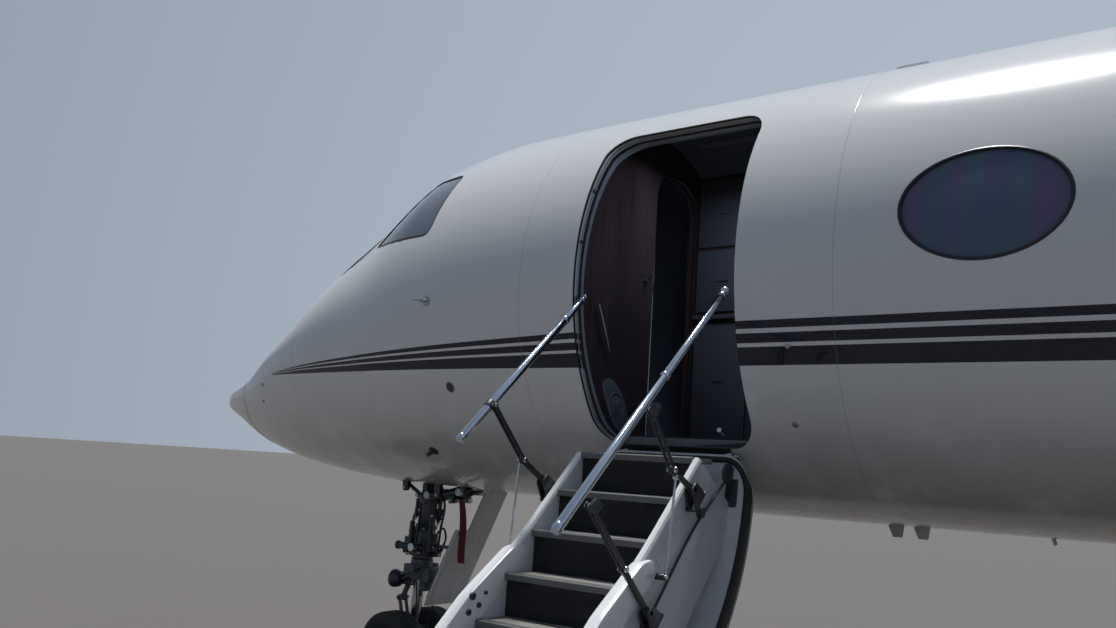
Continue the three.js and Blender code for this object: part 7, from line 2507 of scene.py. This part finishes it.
# Dark gear paint with heavy dirt; its colour is darkened further as painted shade for the legs under the
# hull.
shade_darkened_gear_paint = finish_of("shade_darkened_gear_paint", (0.115, 0.123, 0.132), 0.5, metallic=0.25, scale=9, dirt=0.75,
                       grime=(0.055, 0.05, 0.045), bump=0.25)
chrome = finish_of("piston_chrome", (0.42, 0.43, 0.45), 0.16, metallic=1.0, scale=20, dirt=0.12, bump=0.02)
hose_rubber = finish_of("hose_rubber", (0.022, 0.022, 0.024), 0.5, scale=30, dirt=0.35,
                        grime=(0.12, 0.11, 0.10))
alloy = finish_of("wheel_alloy", (0.33, 0.34, 0.36), 0.36, metallic=0.7, scale=10, dirt=0.6,
                  grime=(0.07, 0.06, 0.055))
tyre_rubber = finish_of("tyre_rubber", (0.026, 0.026, 0.027), 0.78, scale=9, dirt=0.55,
                        grime=(0.11, 0.105, 0.10), grain=420, bump=0.35, depth=0.001)
# Gear door inside paint, darkened as painted shade for the doors under the hull.
shade_darkened_inside_paint = finish_of("door_inside_paint", (0.080, 0.073, 0.066), 0.5, scale=5, dirt=0.5,
                      grime=(0.10, 0.085, 0.07))
lip_metal = finish_of("cowl_lip_metal", (0.80, 0.81, 0.82), 0.14, metallic=1.0, scale=3, dirt=0.15,
                      bump=0.03)
duct_skin = finish_of("duct_lining", (0.36, 0.37, 0.39), 0.4, metallic=0.4, scale=4, dirt=0.3)
hot_metal = finish_of("exhaust_metal", (0.30, 0.265, 0.235), 0.38, metallic=0.95, scale=5, dirt=0.6,
                      grime=(0.10, 0.085, 0.095))
blade_metal = finish_of("fan_blade_metal", (0.46, 0.48, 0.51), 0.22, metallic=1.0, scale=7, dirt=0.25,
                        bump=0.05)
spinner_paint = finish_of("spinner_paint", (0.11, 0.115, 0.125), 0.35, metallic=0.3, coat=0.4, scale=8,
                          dirt=0.25)
core_metal = finish_of("engine_core_metal", (0.25, 0.26, 0.27), 0.4, metallic=0.85, scale=6, dirt=0.4)
red_webbing = finish_of("red_webbing", (0.13, 0.016, 0.018), 0.8, scale=20, dirt=0.4,
                        grime=(0.06, 0.02, 0.02), grain=600, bump=0.6, depth=0.001)
ceiling_glow = glowing("ceiling_lamp_glow", (0.13, 0.13, 0.14), 0.02)
lamp_lens = tinted_glass("taxi_lamp_lens", (0.55, 0.57, 0.60))

build_hull(white_striped)
build_cabin_windows(cabin_glass, dark_rim)
build_cockpit_glass(cockpit_glass, dark_rim, rubber)
build_wipers(dark_metal)
build_entry(wood, laminate, bright_metal, cabin_carpet, dark_lining, ceiling_glow, deck)
build_cockpit(panel_skin, screen_glass, panel_dark, brushed, dark_lining)
build_crew_seats(leather, panel_dark)
build_nose_gear(shade_darkened_gear_paint, dark_metal, chrome, hose_rubber, bright_metal, lamp_lens, alloy, tyre_rubber,
                shade_darkened_inside_paint, white_plain)
build_nose_plumbing(dark_metal, brushed, hose_rubber, red_webbing)
build_main_gear(shade_darkened_gear_paint, dark_metal, chrome, hose_rubber, bright_metal, alloy, tyre_rubber, white_plain,
                shade_darkened_inside_paint)
build_engines(white_plain, lip_metal, duct_skin, hot_metal, core_metal, blade_metal, spinner_paint)
build_fairing(white_plain)
build_baggage_door(white_striped, rubber, bright_metal)
build_fittings(white_plain, brushed, dark_metal, rubber, lamp_red)
build_door(door_paint, lining, rubber, brushed)
build_side_panels(moulding, moulding_trim, bright_metal, dark_metal)
build_steps(carpet, tread_cover, shade_darkened_nosing)
build_handrails(polished, dark_metal, bright_metal)
build_doorway(frame_metal, bracket_metal, rubber, brushed, dark_metal, bright_metal)
build_wings(white_plain, polished, dark_metal, lamp_red, lamp_green)
build_tail(white_plain, dark_metal, lamp_clear)
